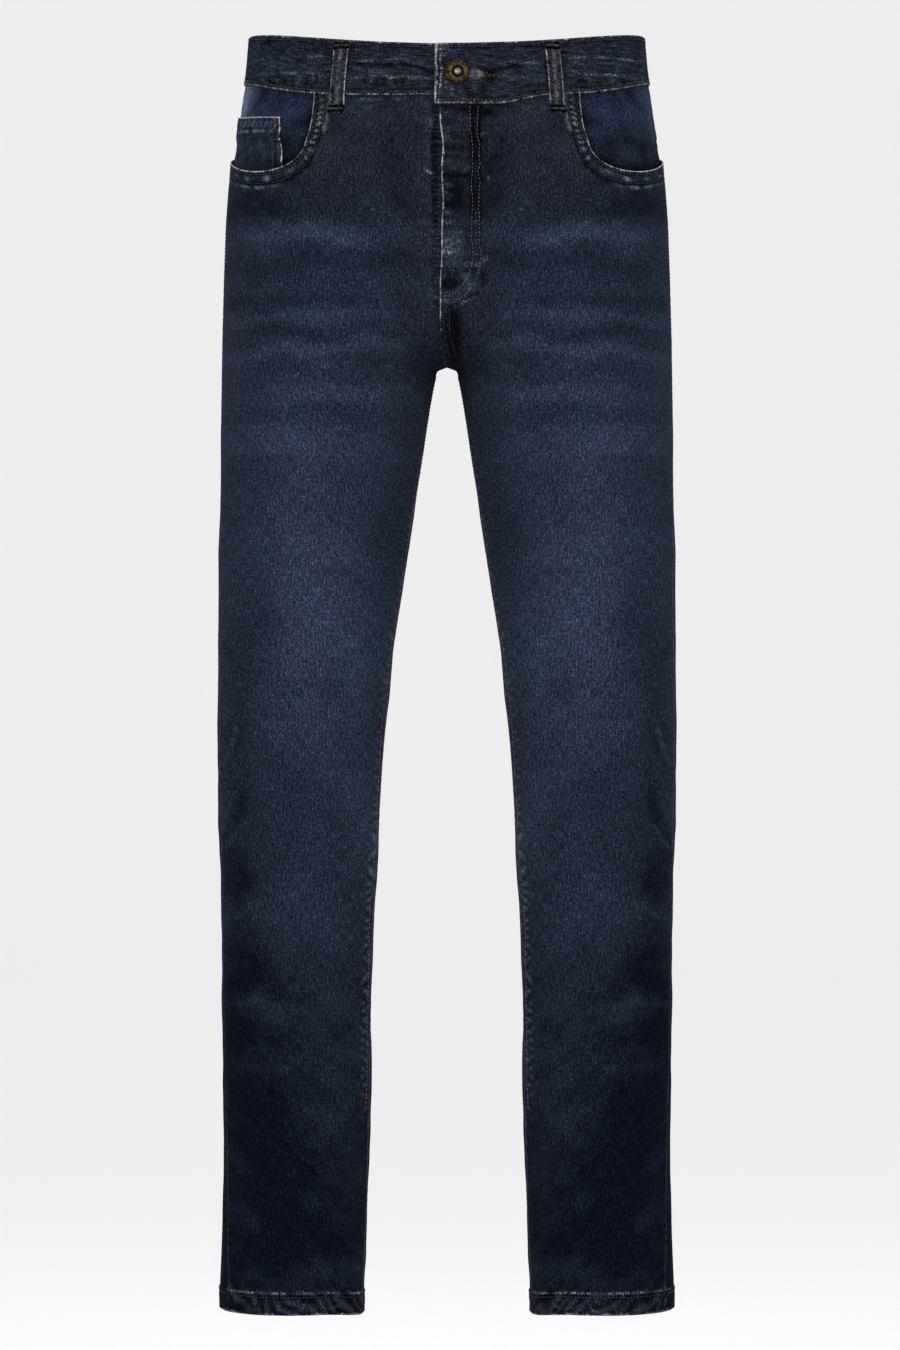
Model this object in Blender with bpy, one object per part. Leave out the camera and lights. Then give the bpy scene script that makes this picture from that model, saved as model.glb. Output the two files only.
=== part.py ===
"""Slim fit jeans in their worn form: hollow, standing up from the hems to the waist, with nobody inside.

Metres, +Z up, the front towards -Y and the wearer's right towards -X. The origin is the middle of the
waist opening, halfway up the waistband. Each piece that a maker would cut is one closed wall of cloth.
"""

import math
from typing import NamedTuple

import bmesh
import bpy
import numpy as np

MM = 0.001

# Cloth
WALL = 1.2 * MM                 # one layer of denim
SEAM_GAP = 0.3 * MM             # between neighbouring pieces
BAND_THICK = 2.6 * MM           # the waistband is folded double
BAND_PROUD = 1.0 * MM           # how far its face stands in front of the panels
HEM_THICK = 3.0 * MM            # a hem is turned up twice
HEM_PROUD = 0.7 * MM
HEM_HEIGHT = 17.5 * MM
HEM_STEP = 0.8 * MM             # its upper edge stands out over this height
HEM_FOOT = -1029.6 * MM
HEM_DROP = 3.9 * MM             # its foot is this much lower on the inner side of the leg
HEM_DROP_FROM = 0.6             # from this share of the way round

# Waistband edges, at the centre front, the sides and the centre back
BAND_TOP_FRONT = 6.3 * MM
BAND_TOP_SIDE = 24.9 * MM
BAND_TOP_BACK = 29.0 * MM
BAND_FOOT_FRONT = -34.7 * MM
BAND_FOOT_SIDE = -16.2 * MM
BAND_FOOT_BACK = -13.2 * MM
WAIST_HALF = 168.0 * MM         # half the width at the foot of the band
DROOP = 7.2 * MM                # the overlapping end hangs lower than the rest
DROOP_FROM = 38 * MM
DROOP_TO = 85 * MM

# Fly: the left front laps over the right one
FLY_EDGE = 5.5 * MM             # its edge lies this far to the wearer's right of the middle
FLY_EDGE_RISE = 30 * MM         # which it reaches over this height above the crotch
UNDERLAP = 6 * MM               # and the right front runs on under it, this far past the middle
FLY_LIFT = 1.9 * MM             # the upper front is raised by this much
FLY_LIFT_FULL = 14 * MM         # as far as this from the middle
FLY_LIFT_END = 48 * MM          # and lies down again here
FLY_FOOT = -190 * MM            # the lap ends here
FLY_FADE = 8 * MM
FLY_LIFT_FROM = 32 * MM         # the raise starts this far below it
FLY_LIFT_RISE = 20 * MM
BAND_END = 9 * MM               # the band's upper end, right of the middle
BAND_UNDER_END = 32 * MM        # the band's lower end, left of the middle
BAND_RAISE = 2.1 * MM           # the upper end is raised by this much
BAND_SINK = 1.5 * MM            # and the lower one sunk by this much
BAND_SHIFT_FROM = 4 * MM        # past the other end by this much they come back
BAND_SHIFT_FADE = 26 * MM       # over this distance
BAND_LEVELS = 4                 # points from its foot to its top

# The body of the jeans, one row for each level, in millimetres. outer and inner are the sides of one
# leg, centre its middle, and side, front and back the depths of its side line, front and back. Where
# inner is below zero the two legs run into each other and make the seat, and blend is the softness of
# the crease between them. square is the exponent of the section's outer half: 2 is an ellipse, more is
# squarer.
SECTION_COLUMNS = ("height", "outer", "centre", "inner", "side", "front", "back", "square", "blend")
SECTIONS = (
    (45, 161.5, 0.0, -161.5, 0, -97, 101, 2.15, 0.1),
    (25, 163.3, 0.0, -163.3, 0, -100, 104, 2.15, 0.1),
    (0, 165.6, 0.0, -165.6, 0, -104, 108, 2.18, 0.1),
    (-20, 168.0, 0.5, -167.0, 0, -107, 113, 2.20, 0.3),
    (-45, 172.2, 2.0, -168.0, 0, -109, 120, 2.20, 2),
    (-70, 176.4, 6.0, -163.0, 0, -111, 126, 2.20, 5),
    (-95, 180.5, 13.0, -149.0, 0, -111.5, 130, 2.20, 11),
    (-120, 182.6, 25.0, -122.0, 1, -111.5, 132, 2.20, 22),
    (-150, 183.8, 43.0, -88.0, 2, -110.5, 131, 2.20, 38),
    (-180, 184.9, 61.0, -54.0, 3, -109, 126, 2.18, 52),
    (-205, 185.6, 75.0, -29.0, 3, -107.2, 119, 2.15, 58),
    (-225, 186.2, 85.5, -12.5, 3, -105.6, 112, 2.12, 53),
    (-240, 186.5, 92.0, -1.0, 2.6, -104.3, 107, 2.10, 44),
    (-251, 186.7, 96.0, 10.1, 2.1, -103.3, 103.5, 2.10, 38),
    (-262, 186.9, 98.8, 11.9, 1.5, -102.3, 100.5, 2.10, 37),
    (-280, 187.1, 101.2, 14.2, 0.3, -100.8, 97, 2.10, 37),
    (-320, 187.6, 104.0, 19.5, -2, -97.8, 90.5, 2.08, 38),
    (-360, 188.3, 107.3, 25.7, -4, -95, 84.5, 2.06, 40),
    (-402, 189.2, 110.3, 31.5, -6, -92, 79, 2.05, 40),
    (-443, 189.0, 113.4, 37.8, -7.6, -88.6, 73.5, 2.05, 40),
    (-485, 189.6, 116.8, 44.0, -8.8, -85, 68, 2.05, 40),
    (-526, 190.0, 119.1, 48.3, -9, -81.4, 63.5, 2.05, 40),
    (-568, 190.0, 120.9, 52.0, -8.6, -78, 60.3, 2.05, 40),
    (-610, 189.0, 121.9, 54.8, -6.6, -74.4, 60, 2.05, 40),
    (-651, 188.2, 122.4, 56.8, -3, -70, 63, 2.05, 40),
    (-692, 187.6, 123.5, 59.5, 0.8, -65.2, 67, 2.05, 40),
    (-734, 187.1, 124.2, 61.3, 3, -61.4, 69.5, 2.05, 40),
    (-775, 186.7, 124.5, 62.3, 4, -59, 70, 2.05, 40),
    (-858, 186.0, 124.6, 63.2, 4, -57.5, 67.5, 2.05, 40),
    (-941, 186.4, 126.0, 65.6, 3, -57, 64, 2.05, 40),
    (-983, 187.1, 127.2, 67.3, 2.5, -57.2, 62.5, 2.05, 40),
    (-1025, 187.6, 128.5, 69.4, 2, -58, 62, 2.05, 40),
    (-1060, 187.6, 128.8, 70.0, 2, -58, 62, 2.05, 40),
)
INNER_SQUARE = 2.0

# Where the seams run round the leg, in degrees: 0 is straight out to the side, 90 the front, 180 inwards
SEAM_COLUMNS = ("height", "side_seam", "inseam")
SEAMS = (
    (45, 0, 180),
    (-20, -1, 180),
    (-80, -5, 180),
    (-150, 2, 180),
    (-251, 9, 180),
    (-300, 12, 177),
    (-400, 16, 173),
    (-480, 17, 171),
    (-650, 15, 170),
    (-800, 16, 169),
    (-950, 24, 169),
    (-1060, 33, 169),
)

# The pocket mouth, from the band to the side seam: distance from the middle and height
MOUTH = (
    (107.5, -32.0),
    (108.8, -47.0),
    (111.6, -62.5),
    (118.0, -80.0),
    (126.5, -87.8),
    (138.0, -92.4),
    (155.0, -93.8),
    (169.0, -90.5),
    (177.0, -84.0),
)
MOUTH_CORNER = 3                # the row of MOUTH where its side turns into its floor
MOUTH_END = -77 * MM            # its height where it meets the side seam
MOUTH_LIFT = 0.8 * MM           # the lip stands away from the facing
FACING_INSET = 3.3 * MM
FACING_MERGE = 22 * MM          # the facing comes up to the side seam over this distance
FACING_UNDER = -55 * MM         # below this height it lies behind the front at the side seam too
FACING_UNDER_FADE = 14 * MM
COIN_TOP_ROW = 2                # the grid lines that the coin pocket's edges follow
COIN_SIDE_COLUMN = 3

# Grid of a front panel
MOUTH_ROWS = (0.0, 0.2, 0.385, 0.6, 0.8, 1.0)
MOUTH_STEPS = 4                 # columns between the side seam and the mouth
FRONT_STEPS = 7                 # columns between the mouth and the middle
FLAT_ROWS = (-88, -103, -121, -141, -162, -184, -205, -222, -236)
FLAT_FADE = (1.0, 0.75, 0.4, 0.12)
CROTCH_ROWS = (8, 2.5, 0.0, -4, -12, -27)
LEG_STEP = 37 * MM

# Back
BACK_STEPS = 11
YOKE_SIDE = -52 * MM            # the yoke seam at the side and at the centre back
YOKE_CENTRE = -92 * MM
YOKE_ROWS = 3
BACK_BASE_CENTRE = -106 * MM    # where the row that starts at the mouth's end reaches the centre back

# Back pocket: distance of its middle from the centre back, its top, widths and lengths
POCKET_MIDDLE = 98 * MM
POCKET_TOP = -97 * MM
POCKET_TILT = 7 * MM            # its inner corners are lower than its middle by this much
POCKET_TOP_HALF = 72 * MM
POCKET_FOOT_HALF = 60 * MM
POCKET_SIDE = 104 * MM
POCKET_POINT = 27 * MM
POCKET_STEPS = 12
POCKET_LIFT = 0.7 * MM

# Belt loops: width, thickness, and how far they reach below the band
LOOP_WIDTH = 12.2 * MM
LOOP_THICK = 1.5 * MM
LOOP_BELOW = 15.5 * MM
LOOP_BELOW_BACK = 12 * MM
LOOP_REST = 0.45 * MM
LOOP_BULGE = 1.0 * MM
LOOP_STEP_DOWN = 4 * MM         # it comes off the band's face over this height
LOOP_STEPS = 9


class Loop(NamedTuple):
    """Where a belt loop sits: which side, and the distances of its top and foot from the middle."""

    name: str
    side: int
    back: bool
    top: float
    foot: float


LOOPS = (
    Loop("loop_front_right", -1, False, 84.5 * MM, 89.8 * MM),
    Loop("loop_front_left", 1, False, 84.5 * MM, 89.8 * MM),
    Loop("loop_back_right", -1, True, 128.0 * MM, 130.0 * MM),
    Loop("loop_back_left", 1, True, 128.0 * MM, 130.0 * MM),
    Loop("loop_back_centre", 1, True, 0.0, 0.0),
)

# Waist button
BUTTON_ACROSS = 8.5 * MM
BUTTON_HEIGHT = -16.0 * MM
BUTTON_SPIN = 28
# Half of the button's outline from the middle of its back to the middle of its face, in millimetres:
# radius, and distance out from the waistband
BUTTON = (
    (0.0, 0.0),
    (4.2, 0.0),
    (4.2, 0.9),
    (9.2, 0.9),
    (10.1, 1.5),
    (10.3, 2.3),
    (9.6, 3.1),
    (8.2, 3.4),
    (6.6, 3.3),
    (5.6, 2.6),
    (3.9, 2.5),
    (3.4, 3.3),
    (2.2, 3.7),
    (0.0, 3.8),
)

DENIM_RGB = (0.020, 0.033, 0.070)
DARK_DENIM_RGB = (0.014, 0.022, 0.048)
BRASS_RGB = (0.36, 0.24, 0.10)

SAMPLES = 110                   # points along each section when lengths are measured on it
HALVINGS = 34
NORMAL_STEP = 0.4 * MM          # the skin's slopes are measured over twice this
FAR_DEPTH = 0.22                # no skin lies deeper than this, in metres
FAR_REACH = 0.35                # or farther from a leg's middle than this
CROTCH_SEARCH = (-230 * MM, -275 * MM)
CROTCH_MARGIN = 0.02 * MM       # the seat's last row is taken this much below its lowest point
EDGE_MARGIN = 0.001 * MM


def smooth_step(value):
    """0 below 0, 1 above 1, and an S-shaped ease between."""
    part = np.clip(value, 0.0, 1.0)
    return part * part * (3.0 - 2.0 * part)


def curve_through(knots, values, at):
    """A smooth curve through the values at rising knots, whose slope at each is that of its neighbours' chord."""
    slopes = np.gradient(values, knots)
    i = np.clip(np.searchsorted(knots, at) - 1, 0, len(knots) - 2)
    width = knots[i + 1] - knots[i]
    t = np.clip((at - knots[i]) / width, 0.0, 1.0)
    start, end = values[i], values[i + 1]
    rise = (2 * t**3 - 3 * t**2 + 1) * start + (3 * t**2 - 2 * t**3) * end
    return rise + width * ((t**3 - 2 * t**2 + t) * slopes[i] + (t**3 - t**2) * slopes[i + 1])


class Table:
    """Rows with named columns, read at any height. Every column but those in plain is in millimetres."""

    def __init__(self, columns, rows, plain=()):
        data = np.array(sorted(rows), float)
        scale = [1.0 if name in plain else MM for name in columns]
        self.columns = {name: data[:, n] * scale[n] for n, name in enumerate(columns)}
        self.heights = self.columns["height"]

    def at(self, name, height):
        return curve_through(self.heights, self.columns[name], height)


BODY = Table(SECTION_COLUMNS, SECTIONS, plain=("square",))
SEAM_ANGLES = Table(SEAM_COLUMNS, SEAMS, plain=("side_seam", "inseam"))


class Level:
    """The sizes of the body's sections at an array of heights."""

    def __init__(self, height):
        size = {name: BODY.at(name, height) for name in SECTION_COLUMNS[1:]}
        self.centre, self.side, self.square = size["centre"], size["side"], size["square"]
        self.out_wide = size["outer"] - self.centre
        self.in_wide = self.centre - size["inner"]
        self.front_deep = self.side - size["front"]
        self.back_deep = size["back"] - self.side
        self.blend = size["blend"]

    def outside_leg(self, across, depth):
        """How far a point lies outside one leg, measured along the line from the leg's middle.

        Each quarter of a leg's section is a superellipse.
        """
        east, front = across - self.centre, self.side - depth
        reach = np.hypot(east, front) + 1e-9
        wide = np.where(east >= 0, self.out_wide, self.in_wide)
        deep = np.where(front >= 0, self.front_deep, self.back_deep)
        power = np.where(east >= 0, self.square, INNER_SQUARE)
        ratio = (np.abs(east / wide) ** power + np.abs(front / deep) ** power) ** (1.0 / power)
        return reach - reach / np.maximum(ratio, 1e-9)

    def outside(self, across, depth):
        """How far a point lies outside the jeans: the two legs joined with a soft crease in the middle."""
        own = self.outside_leg(across, depth)
        other = self.outside_leg(-across, depth)
        overlap = np.maximum(self.blend - np.abs(own - other), 0.0)
        return np.minimum(own, other) - overlap**2 / (4.0 * self.blend)


def normals_at(across, depth, height):
    """Unit vectors straight out of the skin."""
    step = NORMAL_STEP
    level = Level(height)
    slopes = [
        level.outside(across + step, depth) - level.outside(across - step, depth),
        level.outside(across, depth + step) - level.outside(across, depth - step),
        Level(height + step).outside(across, depth) - Level(height - step).outside(across, depth),
    ]
    normal = np.stack(slopes, axis=-1)
    return normal / np.linalg.norm(normal, axis=-1, keepdims=True)


def halve(is_inside, low, high):
    """The place between low, which is inside, and high where a line leaves the jeans."""
    for _ in range(HALVINGS):
        middle = (low + high) / 2
        inside = is_inside(middle)
        low, high = np.where(inside, middle, low), np.where(inside, high, middle)
    return (low + high) / 2


def skin_depth(across, height, back=False):
    """Depth of the front or back skin at a distance from the middle."""
    across, height = np.broadcast_arrays(np.asarray(across, float), np.asarray(height, float))
    level = Level(height)
    start = level.side
    end = np.full_like(start, FAR_DEPTH if back else -FAR_DEPTH)
    return halve(lambda depth: level.outside(across, depth) < 0, start, end)


def find_crotch():
    """Height of the lowest point of the seam between the legs."""
    low, high = CROTCH_SEARCH

    def joined(height):
        level = Level(height)
        return level.outside(0.0, level.side) < 0

    return float(halve(joined, np.array(low), np.array(high))) - CROTCH_MARGIN


CROTCH = find_crotch()


def fly_edge(side, height):
    """Distance from the middle, towards this side, of a front panel's inner edge above the crotch."""
    seam = FLY_EDGE * smooth_step((height - CROTCH) / FLY_EDGE_RISE)
    if side > 0:
        return -seam
    under = smooth_step((height - FLY_FOOT) / FLY_FADE)
    return seam - (FLY_EDGE + UNDERLAP) * under


class Panel:
    """The front or back of one leg: any point of it is named by its share of the way round and its height."""

    def __init__(self, side, back):
        self.side, self.back = side, back

    def middle_edge(self, height):
        """How far from the middle the panel's inner edge lies, down to the crotch."""
        above = np.maximum(height, CROTCH)
        return np.zeros_like(above) if self.back else fly_edge(self.side, above)

    def inner_angle(self, height):
        """Where the panel ends: at the middle seam above the crotch, and at the inseam below it."""
        above = np.maximum(height, CROTCH)
        edge = self.middle_edge(height)
        depth = skin_depth(edge, above, self.back)
        rise = np.arctan2(BODY.at("side", above) - depth, edge - BODY.at("centre", above))
        inseam = np.radians(SEAM_ANGLES.at("inseam", np.minimum(height, CROTCH)))
        if self.back:
            rise = np.where(rise > 0, rise - 2 * math.pi, rise)
            inseam = inseam - 2 * math.pi
        return np.where(height > CROTCH, rise, inseam)

    def section(self, height):
        """Points along the section at each height, from the side seam to the inner edge, with their lengths."""
        start = np.radians(SEAM_ANGLES.at("side_seam", height))
        share = np.linspace(0.0, 1.0, SAMPLES)
        angle = start[:, None] + (self.inner_angle(height) - start)[:, None] * share
        level = Level(height[:, None])
        centre, middle = level.centre, level.side
        cos, sin = np.cos(angle), np.sin(angle)
        to_edge = (centre - self.middle_edge(height)[:, None]) / np.maximum(-cos, 1e-9)
        far = np.minimum(to_edge, FAR_REACH)

        def inside(reach):
            return level.outside(centre + reach * cos, middle - reach * sin) < 0

        reach = halve(inside, np.zeros_like(far), far)
        across, depth = centre + reach * cos, middle - reach * sin
        steps = np.hypot(np.diff(across), np.diff(depth))
        lengths = np.concatenate([np.zeros((len(height), 1)), np.cumsum(steps, axis=1)], axis=1)
        return across, depth, lengths

    def share_at(self, across, height):
        """The share of the way round at which the panel is this far from the middle."""
        found = []
        for one_across, one_height in zip(across, height):
            row, _, lengths = self.section(np.array([one_height]))
            found.append(np.interp(-one_across, -row[0], lengths[0]) / lengths[0, -1])
        return np.array(found)

    def width(self, height):
        return self.section(np.array([height]))[2][0, -1]

    def points(self, share, height):
        """Skin points and their normals. Each end of the section is held back by half a seam gap."""
        flat_share, flat_height = share.ravel(), height.ravel()
        across, depth, lengths = self.section(flat_height)
        target = SEAM_GAP / 2 + flat_share * (lengths[:, -1] - SEAM_GAP)
        place = np.array([np.interp(t, row, np.arange(SAMPLES)) for t, row in zip(target, lengths)])
        low = np.minimum(place.astype(int), SAMPLES - 2)
        part = place - low
        rows = np.arange(len(low))
        x = across[rows, low] * (1 - part) + across[rows, low + 1] * part
        y = depth[rows, low] * (1 - part) + depth[rows, low + 1] * part
        normal = normals_at(x, y, flat_height)
        point = np.stack([x, y, flat_height], axis=-1)
        point = point - normal * Level(flat_height).outside(x, y)[:, None]
        for array in (point, normal):
            array[:, 0] *= self.side
        return point.reshape(share.shape + (3,)), normal.reshape(share.shape + (3,))


def band_foot(across, back, side):
    """Height of the seam under the waistband."""
    share = np.clip(np.abs(across) / WAIST_HALF, 0.0, 1.0)
    if back:
        return BAND_FOOT_SIDE + (BAND_FOOT_BACK - BAND_FOOT_SIDE) * (1 - share**2)
    height = BAND_FOOT_FRONT + (BAND_FOOT_SIDE - BAND_FOOT_FRONT) * share**4
    if side > 0:
        height = height - DROOP * (1 - smooth_step((across - DROOP_FROM) / (DROOP_TO - DROOP_FROM)))
    return height


def band_top(across, back):
    """Height of the top of the waistband."""
    share = np.clip(np.abs(across) / WAIST_HALF, 0.0, 1.0)
    middle = BAND_TOP_BACK if back else BAND_TOP_FRONT
    return middle + (BAND_TOP_SIDE - middle) * share**2


def seam_heights(panel, shares):
    """Heights along the seam under the waistband, found by going back and forth a few times."""
    height = np.full_like(shares, BAND_FOOT_FRONT)
    for _ in range(4):
        across, _, lengths = panel.section(height)
        place = [np.interp(s * row[-1], row, x) for s, row, x in zip(shares, lengths, across)]
        height = band_foot(np.array(place), panel.back, panel.side)
    return height - SEAM_GAP


def lower_rows():
    """Heights of the level rows from the seat to the top of the hem."""
    rows = [height * MM for height in FLAT_ROWS]
    rows += [CROTCH + offset * MM for offset in CROTCH_ROWS]
    hem_top = HEM_FOOT + HEM_HEIGHT
    count = round((rows[-1] - hem_top) / LEG_STEP)
    rows += list(np.linspace(rows[-1], hem_top, count + 1)[1:])
    return np.array(rows)


def levelled(base):
    """The rows below a bent row of the grid, which straighten out over the first few of them."""
    lower = lower_rows()
    fade = np.zeros(len(lower))
    fade[: len(FLAT_FADE)] = FLAT_FADE
    return [level + (base - lower[0]) * part for level, part in zip(lower[1:], fade[1:])]


def with_hem(share, height):
    """Adds the two rows of the hem: its upper edge, just under the last row, and its foot."""
    edge = height[-1] - HEM_STEP
    foot = HEM_FOOT - HEM_DROP * smooth_step((share[-1] - HEM_DROP_FROM) / (1 - HEM_DROP_FROM))
    return np.vstack([share, share[-1], share[-1]]), np.vstack([height, edge, foot])


def front_grid(panel):
    """Shares and heights of a front panel's grid, whose lines follow the pocket mouth.

    Rows 0 to the last of MOUTH_ROWS run from the waistband to the floor of the mouth. In them the
    columns up to MOUTH_STEPS lie inside the mouth, and belong to the facing.
    """
    mouth = np.array(MOUTH) * MM
    mouth_share = panel.share_at(mouth[:, 0], mouth[:, 1])
    corner = MOUTH_CORNER
    # the side of the mouth, from the band down to the corner
    fall = np.array(MOUTH_ROWS)
    along = np.linspace(0, 1, corner + 1)
    side_share = curve_through(along, mouth_share[: corner + 1], fall)
    side_height = curve_through(along, mouth[: corner + 1, 1], fall)
    # its floor, from the side seam in to the corner
    floor_share = np.append(mouth_share[corner:], 0.0)[::-1]
    floor_height = np.append(mouth[corner:, 1], MOUTH_END)[::-1]
    inward = np.linspace(0, floor_share[-1], MOUTH_STEPS + 1)
    floor = curve_through(floor_share, floor_height, inward)

    outer = np.linspace(0, 1, MOUTH_STEPS + 1)
    inner = np.linspace(0, 1, FRONT_STEPS + 1)[1:]
    shares, heights = [], []
    top = seam_heights(panel, np.array([0.0, side_share[0]]))
    for row, part in enumerate(MOUTH_ROWS):
        share = np.append(outer * side_share[row], side_share[row] + (1 - side_share[row]) * inner)
        seam = seam_heights(panel, share)
        floor_line = np.append(floor, np.full(FRONT_STEPS, floor[-1]))
        at_mouth = (seam[MOUTH_STEPS] - side_height[row]) / (seam[MOUTH_STEPS] - floor[-1])
        at_mouth = 0.0 if row == 0 else at_mouth
        fraction = np.append(part + (at_mouth - part) * outer, at_mouth + (part - at_mouth) * inner)
        shares.append(share)
        heights.append(seam + (floor_line - seam) * fraction)
    heights += levelled(heights[-1])
    shares += [shares[-1]] * (len(heights) - len(shares))
    return with_hem(np.array(shares), np.array(heights))


def back_grid(panel):
    """Shares and heights of a back panel's grid, from the yoke seam to the hem."""
    share = np.linspace(0, 1, BACK_STEPS + 1)
    seam = YOKE_SIDE + (YOKE_CENTRE - YOKE_SIDE) * share - SEAM_GAP
    base = MOUTH_END + (BACK_BASE_CENTRE - MOUTH_END) * share
    heights = [seam, (seam + base) / 2, base] + levelled(base)
    shares = np.tile(share, (len(heights), 1))
    return with_hem(shares, np.array(heights))


def piece(name, outer, inner, cells, rgb):
    """A closed wall of cloth between two grids of points, over the cells that are marked."""
    rows, columns = outer.shape[:2]
    index = np.arange(rows * columns).reshape(rows, columns)
    lower = rows * columns
    faces, edges = [], {}
    for i, j in zip(*np.nonzero(cells)):
        loop = [index[i, j], index[i + 1, j], index[i + 1, j + 1], index[i, j + 1]]
        # every quad is split along the same diagonal, so that pieces that lie on each other stay parallel
        for corners in (loop[:3], [loop[0], loop[2], loop[3]]):
            faces.append([int(v) for v in corners])
            faces.append([int(v) + lower for v in reversed(corners)])
        for a, b in zip(loop, loop[1:] + loop[:1]):
            if (b, a) in edges:
                del edges[(b, a)]
            else:
                edges[(a, b)] = True
    for a, b in edges:
        faces.append([int(b), int(a), int(a) + lower, int(b) + lower])
    points = np.concatenate([outer.reshape(-1, 3), inner.reshape(-1, 3)])
    mesh = bpy.data.meshes.new(name)
    mesh.from_pydata(points.tolist(), [], faces)
    return finished(name, mesh, rgb)


def finished(name, mesh, rgb, metallic=0.0, roughness=0.85):
    """Drops spare points, turns the faces outwards, shades them smooth and gives the piece its material."""
    shape = bmesh.new()
    shape.from_mesh(mesh)
    bmesh.ops.delete(shape, geom=[v for v in shape.verts if not v.link_faces], context="VERTS")
    bmesh.ops.recalc_face_normals(shape, faces=shape.faces)
    shape.to_mesh(mesh)
    shape.free()
    mesh.shade_smooth()
    mesh.set_sharp_from_angle(angle=math.radians(40))
    material = bpy.data.materials.new(name)
    material.use_nodes = True
    shader = material.node_tree.nodes["Principled BSDF"]
    shader.inputs["Base Color"].default_value = (*rgb, 1.0)
    shader.inputs["Roughness"].default_value = roughness
    shader.inputs["Metallic"].default_value = metallic
    mesh.materials.append(material)
    obj = bpy.data.objects.new(name, mesh)
    bpy.context.scene.collection.objects.link(obj)
    return obj


def wall(name, point, normal, out, thick, cells=None, rgb=DENIM_RGB):
    """A piece whose outer face is the points moved out, and whose inner face lies one thickness further in."""
    if cells is None:
        cells = np.ones((point.shape[0] - 1, point.shape[1] - 1), bool)
    out, thick = np.asarray(out)[..., None], np.asarray(thick)[..., None]
    outer = point + normal * out
    return piece(name, outer, outer - normal * thick, cells, rgb)


def hem_rows(shape):
    """How far out each grid row stands and how thick it is: the last two rows are the hem."""
    out, thick = np.zeros(shape), np.full(shape, WALL)
    out[-2:], thick[-2:] = HEM_PROUD, HEM_THICK
    return out, thick


def fly_lift(across, height):
    """How far the left front is raised over the right one's edge."""
    near = 1 - smooth_step((across - FLY_LIFT_FULL) / (FLY_LIFT_END - FLY_LIFT_FULL))
    return FLY_LIFT * near * smooth_step((height - FLY_FOOT + FLY_LIFT_FROM) / FLY_LIFT_RISE)


def make_front(side):
    """One front panel, the facing behind its pocket mouth and, on the right, the coin pocket."""
    hand = "left" if side > 0 else "right"
    panel = Panel(side, back=False)
    share, height = front_grid(panel)
    point, normal = panel.points(share, height)
    out, thick = hem_rows(share.shape)
    if side > 0:
        out = out + fly_lift(point[..., 0], height)
    mouth_row = len(MOUTH_ROWS) - 1
    out[: mouth_row + 1, MOUTH_STEPS] += MOUTH_LIFT
    out[mouth_row, 1:MOUTH_STEPS] += MOUTH_LIFT
    cells = np.ones((share.shape[0] - 1, share.shape[1] - 1), bool)
    cells[:mouth_row, :MOUTH_STEPS] = False
    wall("front_" + hand, point, normal, out, thick, cells)

    rows, columns = slice(0, mouth_row + 2), slice(0, MOUTH_STEPS + 2)
    place, facing_normal = point[rows, columns], normal[rows, columns]
    from_seam = share[rows, columns] * panel.width(MOUTH_END)
    below = smooth_step((FACING_UNDER - height[rows, columns]) / FACING_UNDER_FADE)
    inset = FACING_INSET * np.maximum(smooth_step(from_seam / FACING_MERGE), below)
    wall("facing_" + hand, place, facing_normal, -inset, WALL, rgb=DARK_DENIM_RGB)
    if side < 0:
        rows, columns = slice(COIN_TOP_ROW, mouth_row + 2), slice(0, COIN_SIDE_COLUMN + 1)
        lift = WALL + SEAM_GAP - inset[rows, columns]
        wall("coin_pocket", place[rows, columns], facing_normal[rows, columns], lift, WALL)
    return point[0]


def make_back(side):
    """One back panel, its yoke and its patch pocket."""
    hand = "left" if side > 0 else "right"
    panel = Panel(side, back=True)
    share, height = back_grid(panel)
    point, normal = panel.points(share, height)
    out, thick = hem_rows(share.shape)
    wall("back_" + hand, point, normal, out, thick)

    share = np.tile(share[0], (YOKE_ROWS + 1, 1))
    fall = np.linspace(0, 1, YOKE_ROWS + 1)[:, None]
    top = seam_heights(panel, share[0])
    height = top + (YOKE_SIDE + (YOKE_CENTRE - YOKE_SIDE) * share - top) * fall
    yoke, yoke_normal = panel.points(share, height)
    wall("yoke_" + hand, yoke, yoke_normal, 0.0, WALL)
    make_back_pocket(panel, hand)
    return yoke[0]


def make_back_pocket(panel, hand):
    """The patch pocket: narrower at its foot, which comes to a blunt point."""
    across = np.linspace(-1, 1, POCKET_STEPS + 1)
    down = np.linspace(0, 1, POCKET_STEPS + 1)[:, None]
    half = POCKET_TOP_HALF + (POCKET_FOOT_HALF - POCKET_TOP_HALF) * down
    length = POCKET_SIDE + POCKET_POINT * (1 - np.abs(across))
    height = POCKET_TOP + POCKET_TILT * across - down * length
    widths = np.array([panel.width(level) for level in height[:, POCKET_STEPS // 2]])
    share = 1 - (POCKET_MIDDLE + across * half) / widths[:, None]
    point, normal = panel.points(share, height)
    wall("back_pocket_" + hand, point, normal, POCKET_LIFT + WALL, WALL)


def skin_ray(angle, height):
    """Where rays from a leg's middle leave the skin near the waist."""
    level = Level(height)
    cos, sin = np.cos(angle), np.sin(angle)

    def inside(reach):
        return level.outside(level.centre + reach * cos, level.side - reach * sin) < 0

    reach = halve(inside, np.zeros_like(height), np.full_like(height, FAR_REACH))
    return level.centre + reach * cos, level.side - reach * sin


def level_normals(across, depth, height):
    """The skin's normals laid level, for pieces that stand upright."""
    normal = normals_at(across, depth, height)
    normal[:, 2] = 0.0
    return normal / np.linalg.norm(normal, axis=-1, keepdims=True)


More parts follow.
